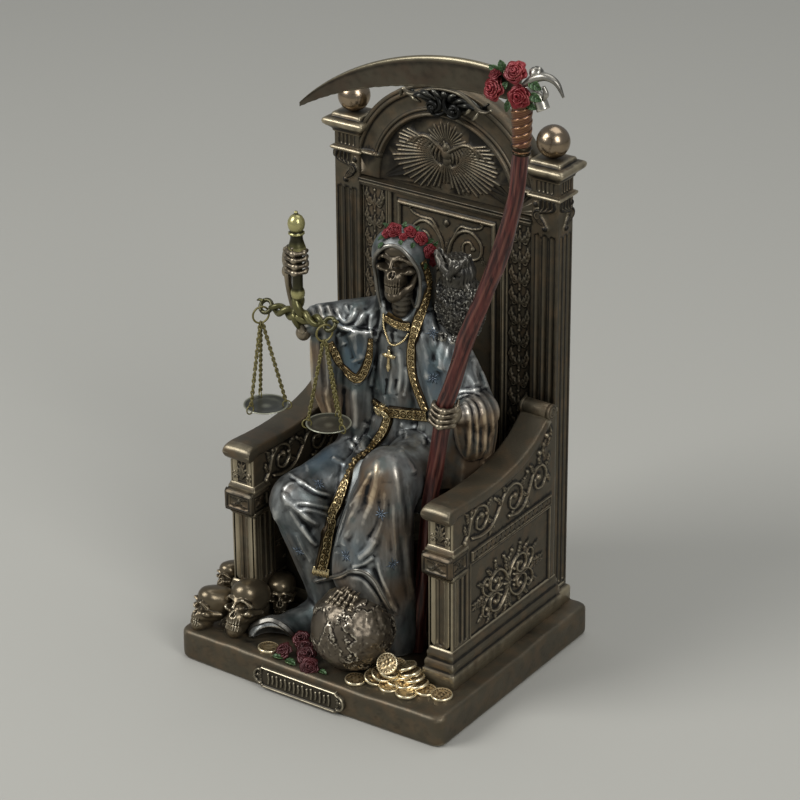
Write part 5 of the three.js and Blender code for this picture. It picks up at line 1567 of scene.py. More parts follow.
def pleats(count, depth, lean=0.0):
    """Waves round a drape: folds that wander a little on their way up."""
    def waves(angle, z):
        turn = count * angle + lean * z * 0.06 + 0.5 * np.sin(z * 0.11)
        return 0.7 * depth * (np.cos(turn) + 0.35 * np.cos(2 * turn + 1.3))
    return waves


def to_pixels(v):
    """Where points fall in the 800 by 800 photograph."""
    d = arr(v) - EYE
    depth = -(d @ BACKWARD)
    return HALF_FRAME + FOCAL_PX * (d @ RIGHT) / depth, HALF_FRAME - FOCAL_PX * (d @ UPWARD) / depth


# Two crops of the photograph, enlarged ZOOM times, in which folds were read.
ZOOM = 6.27
UPPER, LOWER = (255, 210), (255, 430)

# Folds: points in a crop, width in its pixels, and height, below zero for a furrow.
UPPER_FOLDS = [
    ([(345, 600), (362, 640), (380, 690)], 26, 0.8), ([(398, 588), (415, 640), (425, 690)], 24, 0.7),
    ([(448, 588), (475, 650), (520, 700)], 24, 0.8), ([(300, 640), (318, 700), (322, 740)], 22, 0.6),
    ([(440, 640), (500, 705), (580, 742), (650, 712), (695, 625)], 24, 1.1),
    ([(500, 600), (545, 690), (590, 690), (640, 600)], 20, 0.8),
    ([(560, 590), (590, 640), (610, 590)], 16, 0.5), ([(600, 760), (635, 860), (655, 960)], 46, 0.9),
    ([(540, 760), (590, 860), (620, 950)], 30, -0.6), ([(690, 740), (690, 850), (670, 940)], 30, 0.6),
    ([(520, 770), (560, 850)], 24, 0.5), ([(808, 560), (795, 690), (752, 830)], 18, 0.8),
    ([(735, 650), (722, 720), (735, 820)], 14, 0.5), ([(770, 620), (765, 720), (745, 800)], 24, -0.5),
    ([(850, 900), (862, 1010), (845, 1170)], 26, 0.7), ([(800, 880), (775, 1040), (765, 1150)], 24, 0.6),
    ([(905, 870), (915, 1040), (875, 1180)], 24, 0.7), ([(750, 960), (728, 1110)], 20, 0.6),
    ([(945, 980), (950, 1080), (930, 1180)], 20, 0.5), ([(880, 760), (885, 830)], 16, 0.4),
    ([(835, 760), (850, 830)], 14, 0.3), ([(825, 1050), (810, 1170)], 18, -0.5),
    ([(890, 1050), (890, 1170)], 16, -0.5), ([(1225, 770), (1195, 900), (1155, 1020)], 44, 1.1),
    ([(1170, 760), (1130, 880), (1110, 960)], 30, -0.6), ([(1110, 600), (1115, 700), (1130, 760)], 30, 0.6),
    ([(1050, 760), (1070, 920), (1085, 1080)], 36, 0.7), ([(1140, 640), (1150, 720), (1180, 780)], 24, -0.5),
    ([(1320, 930), (1300, 1030), (1260, 1130)], 26, 0.8),
    ([(1370, 920), (1380, 1020), (1400, 1110)], 34, 0.7), ([(1430, 1000), (1450, 1120)], 26, 0.5),
    ([(1290, 1190), (1335, 1260), (1345, 1400), (1335, 1565)], 20, 1.0),
    ([(1300, 1175), (1372, 1240), (1392, 1400), (1385, 1565)], 18, 0.9),
    ([(1300, 1160), (1405, 1200), (1440, 1330), (1440, 1560)], 20, 0.9),
    ([(1305, 1145), (1420, 1160), (1478, 1260), (1490, 1420)], 20, 0.8),
    ([(1255, 1150), (1330, 1130), (1420, 1120)], 18, 0.7),
    ([(1260, 1180), (1320, 1160), (1390, 1165)], 12, 0.5),
    ([(1060, 440), (1085, 560), (1100, 640)], 26, 0.6), ([(1020, 470), (1035, 540), (1010, 620)], 30, 0.6),
    ([(700, 1330), (655, 1420), (600, 1500)], 30, 0.7), ([(750, 1280), (735, 1380), (640, 1530)], 22, 0.6),
    ([(620, 1120), (640, 1260), (620, 1380)], 30, 0.5), ([(560, 1100), (560, 1250), (540, 1400)], 30, -0.5),
    ([(900, 1340), (960, 1360), (1070, 1360)], 26, 0.6), ([(890, 1400), (980, 1400), (1075, 1440)], 26, 0.9),
    ([(410, 800), (430, 1000), (440, 1150)], 26, -0.7), ([(345, 780), (355, 960), (362, 1140)], 24, 0.6),
]
LOWER_FOLDS = [
    ([(200, 268), (330, 352), (400, 392), (484, 412)], 16, 0.8),
    ([(215, 290), (340, 380), (480, 440)], 22, -0.5),
    ([(165, 380), (232, 470), (320, 545), (408, 598)], 24, 1.1),
    ([(190, 470), (260, 560), (380, 640)], 34, -0.7),
    ([(168, 385), (205, 480), (290, 610), (385, 735)], 26, 0.9),
    ([(150, 470), (230, 680), (330, 860)], 36, -0.6),
    ([(98, 480), (132, 600), (182, 760), (245, 910), (335, 1092)], 30, 0.9),
    ([(290, 592), (350, 680), (396, 732)], 20, 0.6), ([(235, 458), (335, 462), (480, 492)], 18, 0.5),
    ([(260, 500), (360, 505), (470, 540)], 16, 0.4), ([(300, 250), (400, 240), (500, 300)], 60, 0.4),
    ([(165, 380), (240, 330), (330, 350)], 20, 0.6), ([(200, 740), (270, 900), (345, 1020)], 26, 0.5),
    ([(250, 640), (300, 760), (360, 840)], 24, 0.5),
    ([(120, 560), (170, 720), (260, 900), (340, 1040)], 24, -0.5),
    ([(775, 180), (745, 390), (660, 560), (560, 690), (500, 770)], 36, 1.2),
    ([(868, 190), (898, 400), (925, 600), (950, 800), (972, 1020), (925, 1160)], 32, 1.0),
    ([(812, 330), (805, 480), (768, 640), (700, 765), (610, 855)], 36, 1.0),
    ([(850, 330), (862, 560), (880, 780), (900, 900)], 30, 0.6),
    ([(690, 350), (640, 470), (565, 620), (505, 725)], 26, 0.8),
    ([(735, 250), (655, 400), (590, 500)], 22, 0.8), ([(720, 420), (650, 580), (560, 720)], 30, -0.9),
    ([(790, 420), (770, 570), (700, 700)], 26, -0.6), ([(840, 420), (850, 640), (860, 800)], 26, -0.5),
    ([(600, 858), (680, 835), (745, 790)], 18, 0.7), ([(640, 800), (720, 740), (760, 680)], 26, 0.5),
    ([(762, 790), (792, 930), (842, 1050), (900, 1160)], 22, 0.8),
    ([(735, 850), (790, 960), (850, 1080)], 20, -0.5),
    ([(570, 884), (680, 884), (742, 932), (802, 1032), (872, 1150)], 24, 1.3),
    ([(575, 905), (665, 920), (735, 985), (800, 1080)], 16, -0.7),
    ([(360, 952), (450, 932), (540, 912), (590, 880)], 16, 0.8),
    ([(560, 440), (530, 600), (512, 770)], 34, -1.4),
    ([(1000, 300), (1010, 500), (990, 760), (985, 1000)], 40, -0.8),
    ([(950, 300), (965, 500), (960, 700)], 28, 0.5), ([(620, 40), (680, 110), (700, 180)], 20, 0.6),
    ([(580, 60), (650, 150)], 20, 0.5), ([(480, 170), (570, 220)], 20, 0.5),
    ([(900, 110), (960, 190), (1000, 280)], 30, 0.8), ([(930, 40), (1010, 60), (1075, 90)], 24, 0.8),
    ([(0, 1210), (90, 1190), (180, 1230), (255, 1295)], 22, 0.9),
    ([(0, 1300), (110, 1300), (200, 1320)], 18, 0.6),
]


def fold_height(x, y, folds, origin):
    """Height of the folds at places in the photograph."""
    out = np.zeros_like(x)
    for points, width, height in folds:
        line = spline([(origin[0] + a / ZOOM, origin[1] + b / ZOOM) for a, b in points], 8 * len(points))
        reach = width / ZOOM

        def make(u, v):
            d, t = near(u, v, line)
            fade = clamp(t / 0.12) * clamp((1 - t) / 0.12)
            return height * bell(d / (reach * 0.8)) * fade
        out += within(x, y, line, reach * 2.4, make)
    return out


def folded(shape):
    """The shape with the folds that the photograph shows raised on it."""
    n = normals(shape)
    x, y = to_pixels(shape.v)
    facing = clamp((n @ unit(EYE - [0, 0, 110]) - 0.05) / 0.25)
    height = fold_height(x, y, UPPER_FOLDS, UPPER) + fold_height(x, y, LOWER_FOLDS, LOWER)
    return Shape(shape.v + n * (height * facing)[:, None] * 0.85, shape.q, shape.t)


HOOD_MIDDLE, HOOD_RADII, HOOD_TURN = (6.7, -2.6, 156.8), (9.8, 10.5, 16.5), 0.34


def make_robe_shape():
    clay = Clay([
        np.arange(-42, 48, 0.62),
        np.concatenate([np.arange(-46.5, 10, 0.62), np.arange(10.2, 28, 1.4)]),
        np.arange(11.6, 183, 0.62),
    ])
    clay.drape([[0, 16, 62, 28, 20], [1, 15, 80, 22, 16.6], [3, 14, 100, 14.6, 11.4],
                [3, 14, 104, 15.6, 12.2], [2.8, 13.6, 130, 19, 12], [2.8, 12, 143, 9, 7.5]], 2,
               pleats(14, 0.02))
    clay.drape([[24, 12, 76, 15, 10], [26, 12, 102, 16.6, 12], [23, 12, 116, 15.6, 12],
                [19, 12, 128, 13, 11], [14, 12, 138, 10, 9], [8, 12, 147, 5, 6]], 1.5,
               pleats(9, 0.035, 0.3))
    clay.drape([[-16, 9, 76, 9, 7], [-18, 8, 104, 10, 7.4], [-14, 9.5, 128, 11.5, 9.4], [-9, 11, 138, 10, 9],
                [-3, 12, 147, 5, 6]], 1.5, pleats(9, 0.035, -0.3))
    clay.drape([[-12, -0.8, 111.6, 1.4, 1.4], [-12.6, 0.6, 116, 5, 3.4], [-13.4, 2, 125, 8.6, 5],
                [-13, 3.5, 135, 9, 7]], 1.2)
    clay.rod([(-10, 12, 136), (-19.5, 4, 136.6), (-26.4, -3, 136.4), (-28.6, -5.6, 135.6)],
             [8.2, 6.6, 6.0, 5.2], 1.5)
    clay.drape([[-20.6, -2.4, 91, 1.8, 2], [-24.6, -0.5, 99, 4.6, 4.4], [-26.4, 0, 109, 6.2, 5.4],
                [-25, 0, 134, 7, 6.6]], 1.5, pleats(6, 0.1))
    clay.drape([[-12.5, -8, 12, 13.5, 12], [-16, -14, 32, 12, 11.6], [-21, -20, 55, 12.8, 12.2],
                [-23.4, -23.2, 66, 11.6, 12], [-23.6, -23.4, 71, 8.6, 9.2]], 2.5, pleats(8, 0.03, 0.5))
    clay.oval((-23.4, -23.2, 67.6), (11.8, 12.2, 11.2), 0, 2.5)
    clay.rod([(-23.6, -22, 67.5), (-18, -2, 71), (-11, 16, 75)], [10.4, 13, 14.5], 3)
    clay.drape([[13, -15, 12, 14, 12], [12.4, -22, 38, 15, 14.4], [11.6, -25, 51, 16, 15.6],
                [15, -25, 75, 13.2, 13.2], [17.6, -23.8, 89, 10.4, 10.8], [18.2, -23.4, 95, 7.4, 7.8]], 2.5,
               pleats(8, 0.03, -0.4))
    clay.oval((18.0, -23.6, 91.2), (10.6, 11.0, 10.4), 0, 2.5)
    clay.rod([(18, -19, 86), (15, 0, 84), (12, 17, 82)], [11, 12.5, 14], 3)
    clay.drape([[0, -9, 12, 18, 9], [-2, -12, 45, 17, 9], [-2, -8, 68, 18, 13], [2, 2, 88, 12, 12]], 2,
               pleats(10, 0.05))
    clay.oval((-27.4, -37, 12), (10.4, 7, 9), 0.59, 1.5)
    clay.rod([(-27, -35, 11), (-22, -24, 12), (-17, -14, 14)], [8, 8.5, 11], 2)
    clay.oval((-24.8, -41.8, 11.4), (8.2, 6.4, 7.4), 0.59, 1.0, cut=True)
    clay.rod([(28, 14, 108), (37, 10, 108.6), (39.4, 1.5, 111.6), (39.4, -5.6, 114.6)], [9, 8, 6, 3.8], 1.5)
    clay.drape([[37, 7, 91, 3, 4], [37.6, 5, 97, 5, 6.4], [38, 3, 106, 5.4, 8], [38.6, 0, 113, 4.4, 6]], 1.2,
               pleats(7, 0.04))
    clay.drape([[3, 12.5, 136, 17, 10], [3.2, 11.5, 143, 13, 10.5], [3.5, 10.5, 150, 11.6, 11],
                [3.8, 9.5, 160, 12, 11.6], [3.8, 9.0, 168, 10, 10.2]], 2, pleats(10, 0.012))
    clay.oval((3.8, 8.6, 166.2), (11.4, 11.6, 11.2), 0, 2.5)
    clay.oval((4.4, 5.2, 168.4), (10.2, 9.4, 9.0), 0, 2.5)
    clay.oval(HOOD_MIDDLE, HOOD_RADII, HOOD_TURN, 0.8, cut=True)
    clay.oval((5.2, -2.4, 149.6), (6.0, 11.4, 8.2), 0, 0.8, cut=True)
    keep_out(clay)
    shape = folded(smoothed(clay.surface(), 2))
    creased = 0.55 * crumbly(shape.v * [1, 1, 0.28], 11.0, 2)
    return Shape(shape.v + normals(shape) * creased[:, None], shape.q, shape.t)


def keep_out(clay):
    """Cuts the seat, the back and the arms from the figure."""
    x, y, z = np.meshgrid(*clay.axes, indexing="ij", sparse=True)
    gap = 0.3
    f = clay.f
    np.maximum(f, FLOOR + gap - z, out=f)
    np.maximum(f, np.minimum(y - SEAT_FRONT + gap, SEAT_TOP + gap - z), out=f)
    arm = np.minimum(np.abs(x) - ARM_IN + gap + 1.4 * (z < 72), arm_top(y) + 1.2 - z)
    np.maximum(f, np.minimum(arm, y - ARM_FRONT + 3.6), out=f)


def robe_tone(v):
    """Where the robe turns to bronze (above zero) or to blue (below)."""
    tone = np.zeros(len(v))
    patches = [
        ((18, -35, 92), 9, 1.0), ((10, -41, 72), 8, 0.6), ((25, -30, 70), 9, 0.6), ((27, -28, 45), 9, 0.7),
        ((-35, -25, 66), 7, 0.7), ((-28, -24, 44), 7, 0.5), ((40, -2, 102), 13, 1.2), ((44, 6, 96), 12, 1.2),
        ((-27, -3, 122), 8, 0.8), ((-26, 0, 100), 10, 1.0), ((-20, -8, 138), 6, 0.4), ((8, -38, 50), 7, 0.5),
        ((30, 10, 76), 14, 0.9), ((-13, -4, 122), 9, -1.0), ((-2, -4, 112), 8, -0.5),
        ((24, -2, 122), 9, -0.8), ((12, -38, 66), 8, -0.7), ((-22, -12, 81), 8, -0.8),
        ((30, 2, 104), 8, -0.6), ((-22, -32, 58), 8, -0.4), ((16, 6, 150), 8, -0.4),
        ((-17, -6, 136), 4, -0.8),
    ]
    for centre, radius, amount in patches:
        tone += amount * np.exp(-((v - arr(centre)) ** 2).sum(axis=1) / radius ** 2)
    return 0.5 + 0.5 * np.clip(tone, -1, 1)


def hood_shadow(v):
    """How much painted shade darkens the robe's paint on and in the hood, most of all inside it."""
    far = np.linalg.norm((v - arr([5.8, -1.0, 155.0])) / arr([12.0, 12.0, 19.0]), axis=1)
    return 0.2 * clamp(1.7 - far)


ROBE_SPECK = 0.16


def robe_paint():
    """Blue-grey metallic paint, worn to bronze in patches; the folds' ridges are paler silver, partly worn
    paint and partly painted highlight, and their furrows are darkened as painted shade.
    """
    paint = Paint("robe", 0.7)
    ridge, tone = paint.value_of("ridge"), paint.value_of("tone")
    broken = paint.added(paint.noise(2.6, 4.0, seed=3.7), ROBE_SPECK, ridge)
    streak = paint.noise(5.0, 3.0, (1, 1, 0.35), 6.2)
    base = paint.mix(paint.level(streak, 0.35, 0.65), srgb(74, 76, 75), srgb(128, 131, 129))
    base = paint.mix(paint.level(tone, 0.52, 0.85), base, srgb(112, 94, 75))
    base = paint.mix(paint.level(tone, 0.48, 0.12, 0.0, 0.85), base, srgb(84, 104, 116))
    teal = paint.level(paint.noise(11.0, 2.0, seed=9.1), 0.56, 0.7, 0.0, 0.5)
    base = paint.mix(teal, base, srgb(84, 102, 102))
    warm = paint.level(paint.noise(8.0, 3.0, (1, 1, 0.6), 4.4), 0.55, 0.75, 0.0, 0.55)
    base = paint.mix(warm, base, srgb(108, 96, 84))
    light = paint.mix(paint.level(tone, 0.5, 0.8), srgb(206, 206, 200), srgb(204, 182, 150))
    # Painted shade in the furrows, and painted highlight on the ridges, which is also partly silver worn
    # paint.
    shade = paint.level(broken, 0.57, 0.33)
    lit = paint.level(broken, 0.68, 1.0)
    color = paint.mix(shade, base, srgb(20, 21, 23))
    color = paint.mix(lit, color, light)
    paint.color(color)
    paint.roughness(paint.level(lit, 0.0, 1.0, 0.42, 0.28))
    paint.bump(paint.noise(0.9, 3.0, seed=2.2), 0.3, 0.1)
    return paint.material


ROBE = robe_paint()
GOLD = cast_paint("gold_trim", srgb(44, 35, 22), srgb(138, 114, 72), srgb(226, 206, 158),
                  metallic=0.85, rough=(0.36, 0.24), start=0.58)
# The neck's bone paint, darker than the skull's as painted shade: the neck sits in the hood's shadow.
SHADED_NECK_BONE = cast_paint("neck_bone", srgb(8, 7, 6), srgb(34, 31, 27), srgb(84, 78, 67), metallic=0.6)
BONE = cast_paint("dark_bone", srgb(18, 16, 13), srgb(92, 83, 69), srgb(196, 182, 156),
                  metallic=0.8, rough=(0.34, 0.24), start=0.66)


def figure_piece(name, shape, material=None, **options):
    made = piece(name, shape, material or ROBE, "robe_resin", **options)
    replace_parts(made, "figure")


def split(shape, keep):
    """The faces whose middles satisfy keep, with their own vertices."""
    q = shape.q[keep(shape.v[shape.q].mean(axis=1))]
    used, back = np.unique(q, return_inverse=True)
    return Shape(shape.v[used], back.reshape(q.shape))


SKULL_TEETH = 4


def skull_field(x, y, z, jaw=True):
    """A skull 15 wide, 17.5 deep and 23 high that faces -Y, chin at zero."""
    u = np.abs(x)
    f = oval(x, y, z, (0, 1.8, 15.2), (7.3, 8.4, 7.6))
    f = blend_min(f, oval(x, y, z, (0, -2.6, 16), (6.2, 5.6, 5.6)), 1.5)
    f = blend_min(f, oval(u, y, z, (4.7, -4.6, 9.4), (2.4, 2.5, 1.4)), 1.0)
    f = blend_min(f, rod(u, y, z, [(5.4, -3.8, 9.5), (6.9, 1.5, 10.4)], [0.95, 0.8]), 0.6)
    f = blend_min(f, rod(u, y, z, [(0.9, -7.5, 12.9), (3.2, -8.0, 13.7), (5.9, -5.4, 12.3)],
                         [0.9, 1.0, 0.9]), 0.9)
    f = blend_min(f, oval(x, y, z, (0, -4.4, 6.9), (3.8, 4.2, 2.6)), 1.0)
    f = blend_min(f, rod(x, y, z, [(0, -7.3, 13), (0, -8.9, 10.2)], [0.9, 0.8]), 0.6)
    if jaw:
        f = blend_min(f, oval(x, y, z, (0, -4.8, 1.7), (3.5, 3.4, 1.9)), 0.8)
        f = blend_min(f, rod(u, y, z, [(3.0, -4.8, 2.0), (5.5, -0.4, 4.2), (6.1, 1.4, 9.0)],
                             [1.4, 1.3, 1.1]), 0.8)
    else:
        f = blend_min(f, oval(x, y, z, (0, -4.2, 2.6), (3.4, 3.6, 2.6)), 1.4)
        f = blend_min(f, oval(x, y, z, (0, 0.8, 9.0), (5.4, 6.4, 4.4)), 2.0)
    f = blend_min(f, oval(x, y, z, (0, -1.6, 5), (3.2, 4.6, 4.2)), 0.6)
    f = blend_cut(f, oval(u, y, z, (3.1, -7.9, 11.2), (2.4, 4.0, 2.25)), 0.5)
    f = blend_cut(f, oval(u, y, z, (0.55, -9.0, 8.2), (0.75, 2.6, 1.25)), 0.3)
    f = blend_cut(f, oval(x, y, z, (0, -9.0, 9.2), (0.75, 2.4, 1.1)), 0.3)
    f = blend_cut(f, oval(u, y, z, (8.3, -1.6, 13.2), (1.5, 3.6, 3.4)), 0.8)
    if jaw:
        f = blend_cut(f, oval(u, y, z, (5.6, -5.6, 5.4), (1.9, 3.2, 2.6)), 0.8)
    f = blend_cut(f, rod(u, y, z, [(0, -9.4, 4.75), (3.1, -7.2, 4.75), (4.6, -3, 5)], [0.5, 0.5, 0.6]), 0.2)
    for k in range(SKULL_TEETH):
        tooth = 0.42 + 0.86 * k
        depth = -8.35 + 0.17 * tooth ** 2
        f = blend_min(f, rod(u, y, z, [(tooth, depth, 6.6), (tooth, depth, 5.2)], [0.36, 0.42]), 0.12)
        f = blend_min(f, rod(u, y, z, [(tooth, depth + 0.35, 2.9), (tooth, depth + 0.35, 4.3)], [0.34, 0.4]),
                      0.12)
    return f


def make_skull(width, depth, height, chin, turn=0.0, tip=0.0, step=0.3, jaw=True, lift=1.5, taper=0.0):
    """A skull of the given size with its chin at a place."""
    axes = [np.arange(-8.2, 8.3, step), np.arange(-9.8, 11, step), np.arange(-0.9, 23.6, step)]
    x, y, z = np.meshgrid(*axes, indexing="ij")
    shape = smoothed(carve(skull_field(x, y, z, jaw).astype(np.float32), axes), 1)
    z = clamp(shape.v[:, 2] / 23)
    shape.v[:, 2] = np.where(shape.v[:, 2] > 0, 23 * (1 - (1 - z) ** lift), shape.v[:, 2] * lift)
    shape.v[:, 0] *= 1 - taper * clamp(1 - shape.v[:, 2] / 12)
    sized = shape.scaled(width / 15, depth / 17.5, height / 23)
    return sized.turned(turn_z(turn) @ turn_x(tip)).moved(chin)


def make_head():
    skull = make_skull(17.2, 17.4, 25.0, (5.9, 2.4, 150.5), 0.13, -0.15, 0.24, lift=1.37, taper=0.36)
    neck = tube([(3.8, 9, 139), (5, 6.4, 146), (5.4, 5.4, 153)], [4.6, 4.2, 4.0], 18, 0.5,
                bumps=lambda t, a: 0.16 * np.cos(t * 44) + 0.14 * np.cos(a * 5))
    figure_piece("skull_head", skull, BONE, rounds=((2, 0.06), (6, 0.2)))
    figure_piece("neck_bones", neck, SHADED_NECK_BONE, rounds=((2, 0.06), (6, 0.2)))


# What is laid on the robe

class Skin:
    """A surface that can be found from a place in the photograph."""

    def __init__(self, shape):
        faces = [tuple(f) for f in shape.q.tolist()] + [tuple(f) for f in shape.t.tolist()]
        self.tree = BVHTree.FromPolygons([tuple(p) for p in shape.v.tolist()], faces)

    def at(self, x, y):
        way = -BACKWARD + RIGHT * (x - HALF_FRAME) / FOCAL_PX + UPWARD * (HALF_FRAME - y) / FOCAL_PX
        place, normal, _, _ = self.tree.ray_cast(Vector(EYE), Vector(way))
        return (arr(place), arr(normal)) if place else (None, None)

    def line(self, points, origin=(0, 0), gap=0.9, rounds=3, zoom=ZOOM):
        """A line on the surface and its normals, from points in a crop."""
        px = even(spline([(origin[0] + a / zoom, origin[1] + b / zoom) for a, b in points],
                         10 * len(points)), gap)
        hits = [self.at(x, y) for x, y in px]
        hits = [hit for hit in hits if hit[0] is not None]
        places, out = arr([hit[0] for hit in hits]), arr([hit[1] for hit in hits])
        for _ in range(rounds):
            places[1:-1] = (places[:-2] + 2 * places[1:-1] + places[2:]) / 4
            out[1:-1] = (out[:-2] + 2 * out[1:-1] + out[2:]) / 4
        for _ in range(6):
            out[1:-1] = (out[:-2] + out[1:-1] + out[2:]) / 3
        return places, unit(out)

    # Rays cast along the rim of an opening.
    RIM_RAYS = 110

    def rim(self, middle, radii, turn, start, end):
        """The rim of an opening cut by an oval, and the normals beside it."""
        spin, radii, middle = turn_z(turn), arr(radii), arr(middle)
        inwards = Vector(spin @ arr([0, 1, 0]))
        places, out = [], []
        for angle in np.linspace(start, end, self.RIM_RAYS):
            for share in np.arange(0.5, 1.3, 0.02):
                local = arr([radii[0] * share * math.cos(angle), -16, radii[2] * share * math.sin(angle)])
                place, normal, _, _ = self.tree.ray_cast(Vector(middle + spin @ local), inwards)
                if place and np.linalg.norm(spin.T @ (arr(place) - middle) / radii) > 1.04:
                    places.append(arr(place))
                    out.append(arr(normal))
                    break
        places, out = arr(places), arr(out)
        for _ in range(4):
            places[1:-1] = (places[:-2] + 2 * places[1:-1] + places[2:]) / 4
            out[1:-1] = (out[:-2] + out[1:-1] + out[2:]) / 3
        return places, unit(out)


# The length of one swing of the vine on the bands, and the step along them.
VINE_WAVE, BAND_GAP = 4.8, 0.75


def knotwork(s, w, half):
    """A vine that swings from side to side, with a curl in each bend, between raised edges."""
    swing = 0.5 * half * np.sin(TAU * s / VINE_WAVE)
    width = 0.13 * half
    vine = bell((w - swing) / width)
    bend = np.round((s - VINE_WAVE / 4) / (VINE_WAVE / 2))
    middle = VINE_WAVE / 4 + bend * VINE_WAVE / 2
    side = np.where(bend % 2 == 0, -1.0, 1.0)
    away = np.hypot(s - middle, w - side * 0.22 * half)
    curl = bell((away - 0.3 * half) / width) + bell(away / (0.14 * half))
    edges = bell((np.abs(w) - half * 0.84) / (0.1 * half))
    return 0.55 * np.clip(highest(vine, curl, edges), 0, 1.2)


def laid_band(skin, points, origin, width, height):
    """A raised band of knotwork, laid along a line read in a crop."""
    places, out = skin.line(points, origin, BAND_GAP)
    width = np.atleast_1d(width)
    widths = np.interp(np.linspace(0, 1, len(places)), np.linspace(0, 1, len(width)), width)
    half = float(np.mean(widths)) / 2
    return band(places, out, widths, height, columns=23, relief=lambda s, w: knotwork(s, w, half))


# The gold bands: their middles in the upper crop, their widths and their height.
COLLAR_BAND = [(818, 664), (868, 700), (920, 718), (974, 724)]
MANTLE_EDGE = [(1050, 318), (1076, 390), (1090, 470), (1068, 562), (1036, 650), (1006, 760), (985, 880),
               (988, 1000), (1018, 1120), (1076, 1262)]
SLEEVE_EDGE = [(468, 826), (500, 900), (558, 985), (612, 1046), (655, 1052), (692, 990), (716, 900),
               (724, 800)]
BELT_RIGHT, BELT_LEFT = [(850, 1262), (950, 1275), (1084, 1288)], [(742, 1190), (800, 1240), (846, 1300)]
TRIMS = [
    (MANTLE_EDGE, [3.2, 3.8, 4.6, 5.2, 5.2, 4.8], 0.5), (SLEEVE_EDGE, [2.8, 4.0, 4.6, 4.4, 3.2, 2.2], 0.5),
    (BELT_RIGHT, 5.4, 0.7), (BELT_LEFT, [3.0, 4.2], 0.8), (COLLAR_BAND, 3.4, 0.6),
]


def make_trims(skin):
    parts = [laid_band(skin, points, UPPER, width, height) for points, width, height in TRIMS]
    figure_piece("gold_trims", merge(parts), GOLD)


SASH_TOP = [(846, 1236), (836, 1310), (806, 1390), (750, 1470), (684, 1542)]
SASH_FALL = [(690, 150), (640, 190), (604, 250), (566, 350), (530, 440), (484, 540), (456, 640), (440, 740),
             (418, 872)]
SASH_KNOT = (812, 1255)


def make_sash(skin):
    """The knotted sash, which falls over the knees to a fringe."""
    upper = laid_band(skin, SASH_TOP, UPPER, [3.6, 5.0, 4.6, 3.6, 2.8], 0.9)
    lower = laid_band(skin, SASH_FALL, LOWER, [2.6, 3.6, 4.8, 5.2, 5.4, 5.6, 6.0], 1.0)
    places, out = skin.line([SASH_FALL[k] for k in (0, 2, 4, 6, 8)], LOWER)
    end, up = places[-1] + out[-1] * 0.5, out[-1]
    along = unit(places[-1] - places[-6])
    side = unit(np.cross(up, along))
    fringe = []
    for k in range(11):
        start = end + side * (k - 5) * 0.56 - along * 1.0
        tip = start + along * (3.6 + 0.5 * (k % 2)) + side * (k - 5) * 0.07
        fringe.append(tube([start, (start + tip) / 2 + up * 0.7, tip + up * 0.2], [0.42, 0.5, 0.36], 7, 0.4))
    knot_place, knot_out = skin.at(UPPER[0] + SASH_KNOT[0] / ZOOM, UPPER[1] + SASH_KNOT[1] / ZOOM)
    turn = basis_to(knot_out)
    knot = ball((0, 0, 0), (3.3, 3.4, 1.7), 40, 24)
    u, w = knot.v[:, :1] * 3.2, knot.v[:, 1:2] * 3.2
    knot.v *= 1 + 0.07 * (np.sin(u + w) * np.sin(u - w))
    loops = []
    for side_way in (-1, 1):
        loop = [[0, 0, 1.2], [side_way * 2.2, 1.6, 1.9], [side_way * 3.6, 0, 1.4],
                [side_way * 2.2, -1.6, 1.7], [0, 0, 1.3]]
        loops.append(tube(loop, [0.75, 0.9, 0.75], 9, 0.4, 0.6))
    knot = merge([knot, *loops]).turned(turn).moved(knot_place + knot_out * 0.4)
    figure_piece("sash", merge([upper, lower, knot, *fringe]), GOLD)


CROSS = (843, 935)
BEAD_CHAIN = [(806, 652), (810, 724), (836, 810), (850, 838), (884, 846), (932, 818), (962, 776)]
COLLAR_BEADS = [(818, 690), (868, 726), (920, 746), (974, 752)]


def make_cross(skin):
    """The pendant cross and the bead chain that it hangs from."""
    place, out = skin.at(UPPER[0] + CROSS[0] / ZOOM, UPPER[1] + CROSS[1] / ZOOM)
    out = unit(out * [0.4, 1, 0.2] + [0.1, -0.6, 0.1])
    turn = basis_to(out)
    bar = [[0, -4.9, 0.6], [0, -4.2, 0.6], [0, 0, 0.7], [0, 3.4, 0.6], [0, 4.0, 0.6]]
    beam = [[-2.9, 1.5, 0.6], [-2.3, 1.5, 0.6], [0, 1.5, 0.7], [2.3, 1.5, 0.6], [2.9, 1.5, 0.6]]
    parts = [tube(bar, [0.4, 0.95, 0.55, 0.55, 0.9, 0.4], 10, 0.3, 0.7), ball((0, 1.5, 1), 0.75),
             tube(beam, [0.4, 0.9, 0.55, 0.9, 0.4], 10, 0.3, 0.7),
             ring((0, 4.9, 0.6), 0.6, 0.2, (1, 0, 0.4))]
    cross = merge(parts).turned(turn).moved(place)
    places, normal = skin.line(BEAD_CHAIN, UPPER, 1.75, 1)
    beads = [ball(p + n * 0.35, 0.42, 10, 6) for p, n in zip(places, normal)]
    collar, way = skin.line(COLLAR_BEADS, UPPER, 2.2, 1)
    beads += [ball(p + n * 0.3, 0.45, 10, 6) for p, n in zip(collar, way)]
    figure_piece("pendant", merge([cross, *beads]), GOLD)


STARS = [(433, 333), (433, 378), (452, 327), (319, 484), (299, 551), (381, 514), (346, 556), (393, 564)]


